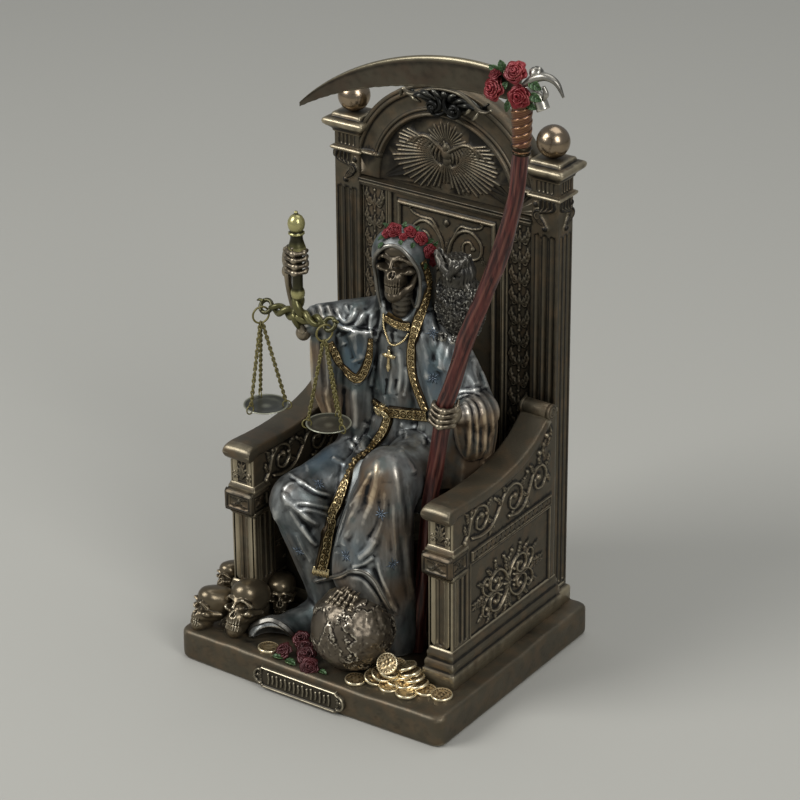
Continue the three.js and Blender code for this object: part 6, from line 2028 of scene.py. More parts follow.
def make_stars(skin):
    """Small eight-rayed stars scattered over the robe."""
    parts = []
    for i, (x, y) in enumerate(STARS):
        place, out = skin.at(x, y)
        turn = basis_to(out, i * 0.7)
        for k in range(8):
            angle = TAU * k / 8
            way = arr([math.cos(angle), math.sin(angle), 0])
            long = 3.1 if k % 2 == 0 else 2.2
            ray = tube([way * 0.35 + [0, 0, 0.1], way * long * 0.6 + [0, 0, 0.28], way * long],
                       [0.2, 0.32, 0.1], 6, 0.3, 0.7)
            parts.append(ray.turned(turn).moved(place))
        parts.append(ball((0, 0, 0.1), (0.42, 0.42, 0.3), 8, 6).turned(turn).moved(place))
    figure_piece("stars", merge(parts), STAR)


def make_hood_edge(skin):
    """The rolled lip of the hood, which dips in a wave over the brow."""
    places, out = skin.rim(HOOD_MIDDLE, HOOD_RADII, HOOD_TURN, -1.0, math.pi + 0.8)
    sway = 0.35 * np.sin(np.linspace(0, 21, len(places))) + 0.2 * np.sin(np.linspace(1, 36, len(places)))
    line = places + out * (0.1 + 0.4 * sway)[:, None]
    figure_piece("hood_edge", tube(line, [0.5, 0.8, 0.7, 0.9, 0.75, 0.9, 0.7, 0.75, 0.5], 10, 0.5), SILVER,
                 rounds=FINE)


HEM_FLAP = [(248.5, 633), (250.5, 628.5), (254, 625.2), (261.5, 621.8), (269.2, 620), (276.8, 622),
            (286, 628), (294, 636)]
FLAP_LIP = [(249, 635.4), (258.5, 637), (270, 637.3), (280, 638.4)]
FOOT_HEMS = [[(578, 884), (664, 880), (742, 930), (802, 1030), (868, 1146)],
             [(372, 950), (450, 930), (540, 908), (584, 884)]]


def make_hems(skin):
    """The silver turned-up hem on the plinth and the one over the foot."""
    parts = []
    for points, width in ((HEM_FLAP, 2.6), (FLAP_LIP, 0.9)):
        places, out = skin.line(points, gap=0.8, rounds=4, zoom=1)
        parts.append(band(places, out, width, 0.5, columns=9))
    for points in FOOT_HEMS:
        places, out = skin.line(points, LOWER, 0.8, 4)
        parts.append(tube(places + out * 0.15, [0.35, 0.6, 0.6, 0.35], 9, 0.5))
    figure_piece("hems", merge(parts), SILVER, rounds=FINE)


# Bones

def finger(centre, axis, radius, start, sweep, thick=1.0):
    """One bony finger curled round an axis, thicker at its joints."""
    z = unit(axis)
    turn = basis_to(z)
    t = np.linspace(0, 1, 26)
    angle = start + sweep * t
    bulge = bell((t - 0.06) / 0.07) + bell((t - 0.44) / 0.07)
    bulge = bulge + 0.8 * bell((t - 0.78) / 0.06)
    r = radius + 0.25 * bulge
    points = np.stack([r * np.cos(angle), r * np.sin(angle), 0.15 * np.sin(t * 9)], axis=-1)
    size = thick * (0.78 + 0.36 * bulge) * (1 - 0.22 * t)
    line = points @ turn.T + arr(centre)
    return tube(line, list(size), 10, 0.32)


def gripping_hand(centre, axis, radius, start, sweep, pitch, wrist, arm, thumb):
    """Four fingers round a shaft, the back of the hand and the forearm bones."""
    parts = []
    z = unit(axis)
    turn = basis_to(z)
    for k in range(4):
        at = arr(centre) + z * pitch * (k - 1.5)
        parts.append(finger(at, z, radius, start, sweep * (1 - 0.05 * abs(k - 1)), 1.3))
        root = at + turn @ arr([radius * math.cos(start), radius * math.sin(start), 0])
        middle = (root + arr(wrist)) / 2 + (root - arr(centre)) * 0.16
        parts.append(tube([root, middle, wrist], [1.15, 0.8, 1.05], 9, 0.4))
    parts.append(ball(wrist, (1.9, 1.9, 2.2)))
    parts.append(tube([arr(wrist), arr(centre) + turn @ arr(thumb[0]), arr(centre) + turn @ arr(thumb[1])],
                      [1.2, 1.0, 1.15, 0.8, 0.6], 9, 0.35))
    across = unit(np.cross(arr(arm[-1]) - arr(arm[0]), [1, 0.4, 0.1]))
    for side in (-1, 1):
        line = [arr(p) + across * side * 0.95 for p in arm]
        parts.append(tube(line, [1.35, 0.95, 0.9, 1.0, 1.3], 9, 0.5))
    return merge(parts)


def make_hands():
    left = gripping_hand((36.3, -13.1, 117.2), (0.19, 0.02, 1), 4.15, 0.35, -3.7, 2.28, (40.4, -9.8, 116.6),
                         [(40.4, -9.8, 116.6), (40.2, -5, 114.6), (40, 1, 112)],
                         [(4.4, 1.6, 3), (3.4, 3.4, 6.2)])
    right = gripping_hand((-30, -13, 163.6), (0, 0, 1), 3.7, 3.5, 3.7, 2.6, (-35.4, -11.6, 156.6),
                          [(-35.6, -11.6, 157), (-34.9, -12, 151), (-33.5, -12, 145), (-31.8, -11.6, 139),
                           (-29.4, -10.4, 133)],
                          [(-3.6, -0.6, 4.4), (0.6, -3.4, 5.6)])
    elbow = ball((-30.6, -9.2, 131.8), (3.0, 3.0, 3.2), 18, 12)
    palms = [elbow, ball((-34.9, -12.0, 163.0), (1.8, 3.2, 5.2), 18, 12),
             ball((-35.8, -11.6, 157.2), (2.0, 2.4, 2.8), 16, 10),
             ball((40.2, -11.0, 117.2), (2.2, 3.0, 4.2), 18, 12)]
    figure_piece("hands", merge([left, right, *palms]), BONE, rounds=FINE)


def make_foot():
    """Five bony toes that spread over the top of the globe."""
    parts = []
    for k in range(5):
        s = k - 2
        line = [(13 + 0.8 * s, -33.2, 47.2), (12.8 + 1.25 * s, -36.6, 47.7 - 0.1 * s * s),
                (12 + 1.8 * s, -40.0, 46.9 - 0.14 * s * s), (11 + 2.25 * s, -43.4, 45.1 - 0.18 * s * s),
                (10 + 2.7 * s, -46.6 + 0.4 * abs(s), 42.2 - 0.2 * s * s)]
        long = spline(line, 40)
        t = np.linspace(0, 1, 40)
        stagger = 0.05 * math.sin(k * 2.3)
        joints = sum(bell((t - at - stagger) / 0.05) for at in (0.34, 0.6, 0.82, 0.97))
        size = 0.6 + 0.5 * joints
        parts.append(tube(long, list(size), 9, 0.3))
    parts.append(ball((13, -33.4, 47.3), (3.9, 3.4, 2.2), 18, 10))
    figure_piece("foot", merge(parts), BONE, rounds=FINE)


GLOBE_CENTRE, GLOBE_RADIUS = arr([10.5, -37, 28.5]), 16.1


def make_globe():
    """A globe with rough raised continents."""
    shape = ball((0, 0, 0), 1.0, 220, 150)
    way = unit(shape.v)
    land = crumbly(way + 3.1, 0.75, 5)
    raised = clamp((land + 0.42) / 0.14)
    ragged = crumbly(way + 7.7, 0.3, 3)
    radius = GLOBE_RADIUS + raised * (0.4 + 0.42 * np.clip(ragged + 0.2, -0.4, 1)) + 0.08 * ragged
    shape = Shape(way * radius[:, None] + GLOBE_CENTRE, shape.q, shape.t)
    figure_piece("globe", shape, GLOBE, rounds=((1, 0.05), (5, 0.16)))


# The owl

OWL_X, BROW_X = 27, 27.6


def beside(side, points, middle=OWL_X):
    """Points given as [out, y, z], to one side of a middle."""
    return [(middle + side * out, y, z) for out, y, z in points]


def make_owl():
    """An owl of soft clay, with rows of feathers, claws and two brow ridges."""
    clay = Clay([np.arange(16, 38.5, 0.3), np.arange(1.5, 21.5, 0.3), np.arange(135, 176, 0.3)])
    body = [(13, 136, 2, 2), (12.4, 143, 7, 6.6), (12, 152, 8.2, 7.0), (11, 160.4, 6.5, 5.9),
            (10.6, 165, 7, 6.2), (10.8, 170, 4.8, 4.4)]
    clay.drape([[OWL_X, *station] for station in body], 1)
    for side in (-1, 1):
        clay.rod(beside(side, [(3.2, 9.0, 167.6), (5, 8.4, 170), (6.8, 8.4, 172.8)]), [1.7, 1.2, 0.4], 1)
        clay.oval((OWL_X + side * 3.0, 4.9, 165.6), (2.1, 1.4, 2.1), 0, 0.5, cut=True)
        clay.oval((OWL_X + side * 3.0, 5.9, 165.6), (1.5, 1.2, 1.5), 0, 0.2)
        clay.rod(beside(side, [(0.4, 4.2, 164.6), (3, 4.2, 168), (6.4, 6.4, 171.4)]), [1.1, 1.7, 1.4], 0.5)
        clay.drape([[OWL_X + side * 5.6, 13, 138, 1.5, 3], [OWL_X + side * 7.0, 12.6, 146, 2.4, 5.4],
                    [OWL_X + side * 6.8, 12, 155, 2.4, 5.4], [OWL_X + side * 5.4, 11, 161, 1.6, 3.6]], 0.6)
        for k in (-1, 0, 1):
            claw = [(OWL_X + side * 3 + k * 1.2, 5.2, 139.6), (OWL_X + side * 3 + k * 1.4, 4.4, 137.4)]
            clay.rod(claw, [0.75, 0.5], 0.4)
    clay.rod([(27.2, 5, 165), (27.4, 3.9, 163.6), (27.4, 4.6, 161.8)], [0.8, 0.9, 0.3], 0.4)
    shape = smoothed(clay.surface(), 1)
    v, n = shape.v, normals(shape)
    angle = np.arctan2(v[:, 0] - OWL_X, 12 - v[:, 1])
    row = (166 - v[:, 2] + 1.5 * wobble(v, 6.0, 35)) / 2.3
    column = angle * 3.7 + 0.5 * wobble(v, 5.0, 36) + 0.5 * (np.floor(row) % 2)
    drop, across = row % 1, (column % 1) - 0.5
    scale = clamp(1.15 - drop - 1.6 * across ** 2)
    ragged = crumbly(v * [1, 1, 0.6], 1.6, 4)
    feathers = 0.3 * (scale - 0.4) * (drop > 0.05) + 0.6 * ragged
    face = clamp((161 - v[:, 2]) / 2)
    tufty = 0.22 * wobble(v * [1, 1, 0.5], 1.6, 31) * (1 - face)
    shape = Shape(v + n * (feathers * face + tufty)[:, None], shape.q, shape.t)
    brows = []
    for side in (-1, 1):
        line = beside(side, [(0.3, 3.7, 166.2), (3, 3.5, 168.3), (6, 5.4, 171.2)], BROW_X)
        brows.append(tube(line, [0.5, 0.75, 0.35], 12, 0.5))
    figure_piece("owl", shape, OWL)
    figure_piece("owl_brows", merge(brows), SILVER, rounds=FINE)


# Roses and leaves

def petal(radius, angle, reach, rise, half, seed):
    """A cupped petal with a lip that rolls outwards."""
    rng = random.Random(seed)
    lift = rng.uniform(-0.06, 0.06)
    u, v = np.meshgrid(np.linspace(-1, 1, 11), np.linspace(0.05, 1, 9), indexing="ij")
    limit = 1 - 0.22 * u ** 2 + 0.03 * np.cos(u * 7 + seed)
    t = v * limit
    turn = angle + u * half * np.sin(np.clip(t * 1.9, 0, math.pi / 2)) ** 0.6
    lip = clamp((t - 0.74) / 0.26) ** 2
    rho = radius * (reach * t ** 0.75 + 0.13 * lip)
    z = radius * ((rise + lift) * t ** 1.1 - 0.2 * lip)
    p = np.stack([rho * np.cos(turn), rho * np.sin(turn), z], axis=-1)
    return slab(p, (0, 0, -0.09 * radius))


def rose(centre, radius, normal, seed):
    """Four rows of cupped petals round a coiled heart."""
    rng = random.Random(seed)
    parts = []
    for count, reach, rise, half in ((5, 0.98, 0.42, 0.8), (5, 0.78, 0.66, 0.78), (4, 0.56, 0.84, 0.9),
                                     (3, 0.34, 0.95, 1.15)):
        start = rng.uniform(0, TAU)
        for k in range(count):
            parts.append(petal(radius, start + TAU * k / count, reach, rise, half, rng.randrange(1000)))
    coil = [[0.2 * radius * math.cos(a), 0.2 * radius * math.sin(a), radius * 0.9]
            for a in np.linspace(0, 5, 9)]
    parts.append(tube(coil, [0.11 * radius], 7, 0.2))
    parts.append(ball((0, 0, radius * 0.25), (radius * 0.62, radius * 0.62, radius * 0.5), 14, 8))
    return merge(parts).turned(basis_to(normal, rng.uniform(0, TAU))).moved(centre)


def leaf(base, tip, width, out):
    """A pointed leaf with a midrib, folded a little along it."""
    base, tip, out = arr(base), arr(tip), unit(out)
    along = tip - base
    side = unit(np.cross(out, along))
    out = unit(np.cross(along, side))
    t, u = np.meshgrid(np.linspace(0.02, 1, 14), np.linspace(-1, 1, 11), indexing="ij")
    half = width / 2 * np.sin(math.pi * t ** 0.8) ** 0.8 * (1 + 0.07 * np.cos(t * 44)) + 0.05
    rise = (0.28 * np.abs(u) - 0.12 * bell(u / 0.15)) * width * 0.5
    rise = rise + 0.22 * width * np.sin(math.pi * t)
    rise = rise + 0.05 * width * np.cos(t * 22 - np.abs(u) * 5)
    p = base + along * t[..., None] + side * (half * u)[..., None] + out * rise[..., None]
    return slab(p, -out * 0.16 * width)


ROSE = cast_paint("rose_red", srgb(24, 4, 6), srgb(112, 24, 30), srgb(220, 130, 120), metallic=0.4,
                  rough=(0.36, 0.26), start=0.76, patch=srgb(70, 16, 20))
LEAF = cast_paint("leaf_green", srgb(16, 26, 13), srgb(50, 76, 40), srgb(134, 152, 104), metallic=0.35,
                  rough=(0.42, 0.3), start=0.7)
SILVER = cast_paint("silver_edge", srgb(44, 43, 41), srgb(112, 109, 102), srgb(196, 192, 180), metallic=0.85,
                    rough=(0.36, 0.24), start=0.6)
STAR = cast_paint("star", srgb(12, 17, 22), srgb(40, 52, 64), srgb(104, 114, 124), metallic=0.7, start=0.62)
GLOBE = cast_paint("globe", srgb(34, 30, 25), srgb(102, 93, 80), srgb(222, 212, 190), metallic=0.8,
                   rough=(0.38, 0.26), start=0.64)
OWL = cast_paint("owl", srgb(14, 14, 13), srgb(76, 73, 66), srgb(206, 202, 188), metallic=0.75,
                 rough=(0.36, 0.24), start=0.7, patch=srgb(50, 52, 58))


# Roses of the crown: x and y in the photograph, and radius. Leaves: x, y, and how
# far their tips lie to the right and up.
CROWN_ROSES = [(395, 233, 2.9), (388, 235, 1.9), (409, 234, 2.3), (419, 240, 2.6), (427, 252, 2.8),
               (403, 238, 1.5), (431, 262, 1.6)]
CROWN_LEAVES = [(386, 237, -2.6, -1.6), (390, 230, -2.4, 1.8), (404, 230, 0.6, 2.6), (414, 233, 1.6, 2.0),
                (413, 243, -1.0, -2.4), (425, 243, 2.6, 1.2), (433, 256, 2.6, 0.4), (424, 262, -0.6, -2.6),
                (400, 241, 0.4, -2.0), (384, 243, -1.6, -2.4), (430, 247, 2.2, 2.0)]


def make_crown(skin):
    """Roses and leaves round the top of the hood."""
    parts = []
    for i, (x, y, radius) in enumerate(CROWN_ROSES):
        place, out = skin.at(x, y)
        parts.append(rose(place + out * 0.4 * radius, radius, unit(out + unit(EYE - place)), 40 + i))
    figure_piece("crown_roses", merge(parts), ROSE, rounds=FINE)
    parts = []
    for x, y, right, rise in CROWN_LEAVES:
        place, out = skin.at(x, y)
        tip = place + RIGHT * right + UPWARD * rise + out * 0.9
        parts.append(leaf(place + out * 0.5, tip, 1.7, out))
    figure_piece("crown_leaves", merge(parts), LEAF, rounds=FINE)


robe = make_robe_shape()
WAIST = 103.0
figure_piece("robe_lower", split(robe, lambda c: c[:, 2] < WAIST), tone=robe_tone)
# The upper robe carries the hood's painted shade.
figure_piece("robe_upper", split(robe, lambda c: c[:, 2] >= WAIST), tone=robe_tone, dim=hood_shadow)
skin = Skin(robe)
make_head()
make_trims(skin)
make_sash(skin)
make_cross(skin)
make_stars(skin)
make_hood_edge(skin)
make_hems(skin)
make_hands()
make_foot()
make_globe()
make_owl()
make_crown(skin)


# The scythe

SNATH_LINE = [(25.9, -15.7, 13.3), (27.3, -15.1, 35.5), (28.9, -14.7, 53.4), (30.9, -14, 79.6),
              (33.8, -13.6, 97.2), (36.2, -13.1, 117.7), (40, -12.8, 129.7), (47.5, -12.2, 153.8),
              (53.2, -11.8, 168.2), (58.5, -11.4, 183.1), (63.2, -11, 198.5), (66.2, -10.7, 212.4),
              (67.5, -10.4, 227.6)]


def scythe_piece(name, shape, material, **options):
    made = piece(name, shape, material, "snath_resin", **options)
    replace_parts(made, "scythe")


def snath_paint():
    """Red-brown lacquer with long darker and paler streaks, with painted shade in the hollows and painted
    highlight on the raised places.
    """
    paint = Paint("snath", 0.35, 0.36)
    ridge = paint.value_of("ridge")
    streak = paint.noise(2.4, 4.0, (1, 1, 0.09), 4.2)
    fine = paint.noise(0.9, 3.0, (1, 1, 0.12), 7.9)
    base = paint.mix(paint.level(streak, 0.34, 0.66), srgb(42, 20, 19), srgb(88, 42, 37))
    base = paint.mix(paint.level(fine, 0.55, 0.72, 0.0, 0.55), base, srgb(108, 62, 52))
    # Painted shade: darker where the surface dips below its surroundings. Painted highlight, partly also
    # worn lacquer: paler on the raised knots and grain.
    base = paint.mix(paint.level(ridge, 0.5, 0.3), base, srgb(22, 11, 11))
    base = paint.mix(paint.level(ridge, 0.72, 0.98, 0.0, 0.6), base, srgb(128, 84, 70))
    paint.color(base)
    paint.bump(fine, 0.35, 0.15)
    return paint.material


def make_snath():
    def bumps(t, angle):
        grain = 0.14 * np.sin(angle * 5 + 9 * np.sin(t * 7)) + 0.1 * np.sin(angle * 9 - t * 30)
        knots = sum(0.45 * bell((t - at) / 0.018) * clamp(np.cos(angle - way))
                    for at, way in ((0.12, 1), (0.3, 3.6), (0.45, 5.2), (0.63, 2.2), (0.78, 4.4),
                                    (0.9, 0.6)))
        return grain + knots + 0.12 * np.sin(t * 40)
    scythe_piece("snath", tube(SNATH_LINE, [3.2, 3.0, 3.05, 3.1, 3.15, 2.75], 30, 0.7, bumps=bumps),
                 snath_paint())


def make_wrap():
    """The cord-like wrap under the blade, and the ring at its foot."""
    def bumps(t, angle):
        turn = (t * 6.5 - 2 * angle / TAU) % 1
        return 0.5 * turn - 0.25 + 0.05 * np.sin(4 * TAU * turn)
    line = [(67.5, -10.3, 227.4), (67.6, -10.2, 234), (67.4, -10, 241), (67.4, -10, 248)]
    wrap = tube(line, [3.3, 3.5, 3.7, 3.9], 36, 0.25, bumps=bumps)
    scythe_piece("wrap", wrap, COPPER)
    rings_low = [ring((67.5, -10.3, z), 2.9, wire, (0.1, 0.02, 1), 36, 12)
                 for z, wire in ((226.9, 0.6), (228.9, 0.95))]
    scythe_piece("wrap_rings", merge(rings_low), GOLD)


BLADE_Y = -10


def make_blade():
    """The long blade, thicker along its upper ridge, with a beaten edge."""
    t = np.linspace(0, 1, 150)

    def curve(points):
        p = arr(points)
        w = np.stack([(1 - t) ** 3, 3 * t * (1 - t) ** 2, 3 * t * t * (1 - t), t ** 3], axis=1)
        return w @ p
    low = curve([(-29.4, 224.1), (-10, 235.5), (20, 246.5), (66, 245.2)])
    high = curve([(-29.2, 226.0), (-4, 251), (36, 262.0), (67, 254.8)])
    width = np.linspace(0, 1, 16)
    mid = low[:, None] + (high - low)[:, None] * width[None, :, None]
    nick = 0.12 * np.sin(t * 120) * np.sin(t * 37)
    mid[:, 0, 1] += nick
    rise = 0.35 + 0.55 * width ** 2 + 0.35 * bell((width - 0.9) / 0.08)
    rise[0], rise[-1] = 0.12, 0.3
    taper = np.clip(t / 0.05, 0.35, 1)
    depth = rise[None, :] * taper[:, None]
    flat = np.stack([mid[..., 0], mid[..., 1], 0 * mid[..., 0]], axis=-1).reshape(-1, 3)
    beaten = 0.016 * wobble(flat, 5, 6)
    depth = depth + beaten.reshape(depth.shape)
    face = np.stack([mid[..., 0], BLADE_Y - depth, mid[..., 1]], axis=-1)
    back = np.stack([mid[..., 0], BLADE_Y + depth, mid[..., 1]], axis=-1)
    loops = np.concatenate([face, back[:, ::-1]], axis=1)
    scythe_piece("blade", rings(loops), BLADE)


def make_tang():
    hook = tube([(69, -10.6, 252.2), (73, -10.8, 255.6), (77.4, -10.6, 257), (81.6, -10.2, 255.4),
                 (84.4, -10, 250.6)],
                [1.7, 2.1, 2.0, 1.6, 1.1, 0.5], 14, 0.5, 0.8)
    ferrule = tube([(66.8, -10, 247), (69.6, -10, 251), (74, -9.8, 248.6), (76.2, -9.8, 244.4)],
                   [2.4, 2.6, 2.6, 2.2, 2.4, 2.5], 14, 0.5)
    knob = ball((73.2, -10, 257.6), (2.6, 2.4, 2.3), 18, 12)
    knob.v += unit(normals(knob)) * (0.25 * wobble(knob.v, 1.6, 8))[:, None]
    claw = tube([(76, -10.6, 247.6), (77.6, -10.6, 250.6), (76.6, -10.8, 253.4)], [0.6, 1.1, 0.7], 10, 0.4)
    scythe_piece("tang", merge([hook, ferrule, knob, claw]), SILVER, rounds=FINE)


def make_head_roses():
    flowers = [((57.6, -12.0, 249.0), 4.2, (-0.15, -0.9, 0.35)),
               ((66.4, -12.2, 256.8), 4.1, (0.1, -0.8, 0.55)),
               ((68.4, -12.9, 248.6), 4.1, (0.2, -0.9, 0.3)),
               ((57.6, -11.6, 254.4), 2.4, (-0.1, -0.6, 0.75))]
    roses = merge([rose(c, r, n, 70 + i) for i, (c, r, n) in enumerate(flowers)])
    scythe_piece("head_roses", roses, ROSE, rounds=FINE)
    leaves = [((60, -11.4, 255), (54.2, -11, 256.8), 3.0), ((61, -11.2, 256.4), (58.6, -10.8, 259.6), 3.0),
              ((71.4, -12, 254.8), (76.6, -12, 252.4), 3.4), ((72, -12.2, 250), (76.6, -11.8, 248.2), 3.2),
              ((64, -11.6, 246.6), (62.2, -12, 241.4), 2.6), ((71, -12, 246.4), (74.6, -12, 244.8), 2.6),
              ((62.4, -12, 252.6), (61.6, -12.6, 249.6), 2.2)]
    scythe_piece("head_leaves", merge([leaf(a, b, w, (0, -0.9, 0.4)) for a, b, w in leaves]), LEAF,
                 rounds=FINE)


COPPER = cast_paint("copper_wrap", srgb(36, 22, 15), srgb(92, 60, 38), srgb(160, 122, 82), metallic=0.55,
                    rough=(0.36, 0.26), start=0.7, patch=srgb(92, 50, 44), patch_size=6.0, patch_amount=0.9)
BLADE = cast_paint("blade", srgb(38, 35, 28), srgb(77, 71, 59), srgb(128, 120, 99), metallic=0.75,
                   rough=(0.44, 0.32), start=0.74, patch=srgb(76, 62, 50), patch_amount=0.7, speck=0.25)
BRASS = cast_paint("brass", srgb(46, 44, 26), srgb(80, 77, 45), srgb(160, 154, 104), metallic=0.6,
                   rough=(0.32, 0.22), start=0.64)
CHAIN_BRASS = cast_paint("chain_brass", srgb(104, 96, 54), srgb(170, 160, 98), srgb(214, 206, 150),
                         metallic=0.25, rough=(0.34, 0.26), start=0.5)
DARK_BRASS = cast_paint("dark_brass", srgb(60, 60, 52), srgb(122, 122, 107), srgb(170, 170, 150),
                        metallic=0.5, rough=(0.34, 0.26), start=0.66)
BALL = cast_paint("polished_ball", srgb(86, 74, 62), srgb(150, 133, 112), srgb(190, 174, 150), metallic=1.0,
                  rough=(0.24, 0.2), grain=0.02, start=0.8, speck=0.05)


# The scales

HANDLE_X, HANDLE_Y, HANDLE_TOP = -30.0, -13.0, 183.4
BEAM_CENTRE = arr([-30.3, -13, 140.6])
# Radius, and height from the handle's top.
HANDLE_PROFILE = [
    (0.05, 0), (0.6, -0.1), (0.75, -0.7), (0.6, -1.1), (1.1, -1.3), (2.3, -2.2), (3.1, -3.6), (3.35, -5.0),
    (3.1, -6.6), (2.5, -7.8), (2.3, -8.2), (3.0, -8.5), (3.1, -9.0), (2.6, -9.5), (2.35, -10.4),
    (2.5, -11.6), (2.9, -13), (3.4, -14.4), (3.55, -15.1), (3.5, -15.7), (3.0, -16.1), (3.3, -16.5),
    (3.2, -17.0), (2.5, -17.3), (2.05, -18), (2.05, -31), (2.1, -31.4), (2.6, -32.4), (2.75, -33.4),
    (2.6, -34.6), (2.15, -35.6), (1.7, -36.6), (1.2, -38), (0.9, -44), (0.5, -47), (0.05, -47.4),
]


def make_handle():
    """The turned brass handle that the scales hang from."""
    def bumps(z, angle):
        collar = bell((z + 8.75) / 0.35)
        return 0.22 * collar * np.cos(angle * 14)
    body = lathe(HANDLE_PROFILE, (HANDLE_X, HANDLE_Y, HANDLE_TOP), 44, bumps=bumps)
    made = piece("scale_handle", body, BRASS, "brass")
    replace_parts(made, "scale_beam")


def beam_end(side):
    """The place of the loop at one end of the beam."""
    return BEAM_CENTRE + arr([side * 15.0, 0, 0])


def make_beam():
    """A beam of two strands that twist round each other into loops."""
    parts = []
    for side in (-1, 1):
        span = np.linspace(0, 1, 60)
        x = side * (0.6 + 12.2 * span)
        for phase in (0, math.pi):
            angle = phase + span * math.pi * 2.0
            swell = 1.75 * np.sin(math.pi * clamp(span * 0.86 + 0.12)) ** 0.6
            line = np.stack([x, swell * np.cos(angle) * 0.8, swell * np.sin(angle)], axis=-1) + BEAM_CENTRE
            parts.append(tube(line, [1.45, 1.35, 1.2, 0.95], 12, 0.35))
        loop = beam_end(side)
        parts.append(ring(loop, 2.5, 0.85, (0, -math.cos(0.6), math.sin(0.6)), 36, 12))
        tip = [loop + arr([side * 1.6, 0, 1.9]), loop + arr([side * 3.0, -0.1, 2.1]),
               loop + arr([side * 4.2, 0, 1.5])]
        parts.append(tube(tip, [0.7, 0.62, 0.3], 10, 0.3))
    span = np.linspace(0, 1, 50)
    for phase in (0.6, 0.6 + math.pi):
        angle = phase + span * math.pi * 1.5
        swell = 1.55 * np.sin(math.pi * clamp(span * 0.92 + 0.06)) ** 0.5
        line = np.stack([HANDLE_X + swell * np.cos(angle), HANDLE_Y + swell * np.sin(angle),
                         148.2 - 12.6 * span], axis=-1)
        parts.append(tube(line, [1.5, 1.75, 1.75, 1.4, 0.8], 14, 0.35))
    made = piece("twisted_beam", merge(parts), BRASS, "brass", rounds=FINE)
    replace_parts(made, "scale_beam")


LINK_LENGTH, LINK_WIRE = 1.75, 0.32


def chain(top, bottom):
    """A chain of small links, each turned a quarter from the last."""
    top, bottom = arr(top), arr(bottom)
    length = np.linalg.norm(bottom - top)
    count = int(length / (LINK_LENGTH * 0.66))
    way = (bottom - top) / length
    side = unit(np.cross(way, [0.2, 1, 0.1]))
    parts = []
    for k in range(count):
        centre = top + (bottom - top) * (k + 0.5) / count
        twist = 0.35 + k * math.pi / 2 + 0.25 * math.sin(k * 1.7)
        flat = side * math.cos(twist) + np.cross(way, side) * math.sin(twist)
        a = np.linspace(0, TAU, 13)[:-1]
        points = np.stack([0.42 * LINK_LENGTH * 0.8 * np.cos(a), LINK_LENGTH * 0.5 * np.sin(a), 0 * a],
                          axis=-1)
        b = np.linspace(0, TAU, 7)[:-1]
        radial = unit(points)
        around = np.cos(b)[None, :, None] * radial[:, None] + np.sin(b)[None, :, None] * arr([0, 0, 1])
        loops = points[:, None] + LINK_WIRE * around
        turn = np.stack([flat, way, np.cross(flat, way)], axis=1)
        parts.append(net(np.concatenate([loops, loops[:1]]), loop=True).turned(turn).moved(centre))
    return merge(parts)


HANG_NORMAL = (math.cos(0.52), -math.sin(0.52), 0)
# Where the three eyes stand in the rims of the left and the right pan, in half turns.
PAN_TURNS = [[1.45, 0.79, 0.12], [1.25, 0.57, 1.91]]
# From a beam's end to the middle of its hanger, and from there to its pan.
HANGER_WAY, PAN_WAY = arr([-1.24, -1.79, -3.28]), arr([0.9, 0.45, -38.3])
# Radius, and height from the pan's rim.
DISH_PROFILE = [
    (0.3, -0.9), (3.0, -0.82), (6.0, -0.5), (8.3, 0.0), (8.75, 0.15), (8.9, 0.35), (8.8, 0.55),
    (8.5, 0.6), (8.2, 0.5), (7.9, 0.32), (6.0, 0.02), (3.0, -0.32), (0.3, -0.4),
]


def make_scale_pans():
    for name, side, turns in zip(("left", "right"), (-1, 1), PAN_TURNS):
        centre = beam_end(side) + HANGER_WAY
        hanger = ring(centre, 3.35, 0.4, HANG_NORMAL, 40, 10)
        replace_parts(piece(f"hanger_wire_{name}", hanger, CHAIN_BRASS, "brass"), f"hanger_{name}")
        pan = centre + PAN_WAY
        angle = np.linspace(0, TAU, 73)[:-1]
        loops = [[[r * math.cos(a), r * math.sin(a), z] for a in angle] for r, z in DISH_PROFILE]
        made = piece(f"dish_{name}", rings(loops).moved(pan), DARK_BRASS, "dark_brass")
        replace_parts(made, f"pan_{name}")
        for k, turn in enumerate(turns):
            way = arr([math.cos(math.pi * turn), math.sin(math.pi * turn), 0])
            eye = pan + way * 8.5 + arr([0, 0, 1.0])
            foot = eye + arr([0, 0, 1.5]) - way * 0.5
            head = centre + arr([0, 0, -3.2]) + way * 0.5
            wire = ring(eye, 1.8, 0.28, np.cross(way, [0, 0, 1]), 28, 8)
            made = piece(f"eye_{name}_{k + 1}", wire, CHAIN_BRASS, "brass")
            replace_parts(made, f"pan_ring_{name}_{k + 1}")
            made = piece(f"links_{name}_{k + 1}", chain(head, foot), CHAIN_BRASS, "brass")
            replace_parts(made, f"chain_{name}_{k + 1}")


FINIAL_X, FINIAL_Y, FINIAL_Z, FINIAL_RADIUS = 45.45, 47.1, 207.9, 6.4


def make_finials():
    for name, side in (("left", -1), ("right", 1)):
        shape = ball((side * FINIAL_X, FINIAL_Y, FINIAL_Z), FINIAL_RADIUS, 64, 40)
        made = piece(f"ball_{name}", shape, BALL, "polished_ball")
        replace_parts(made, f"finial_{name}")


# What lies on the plinth

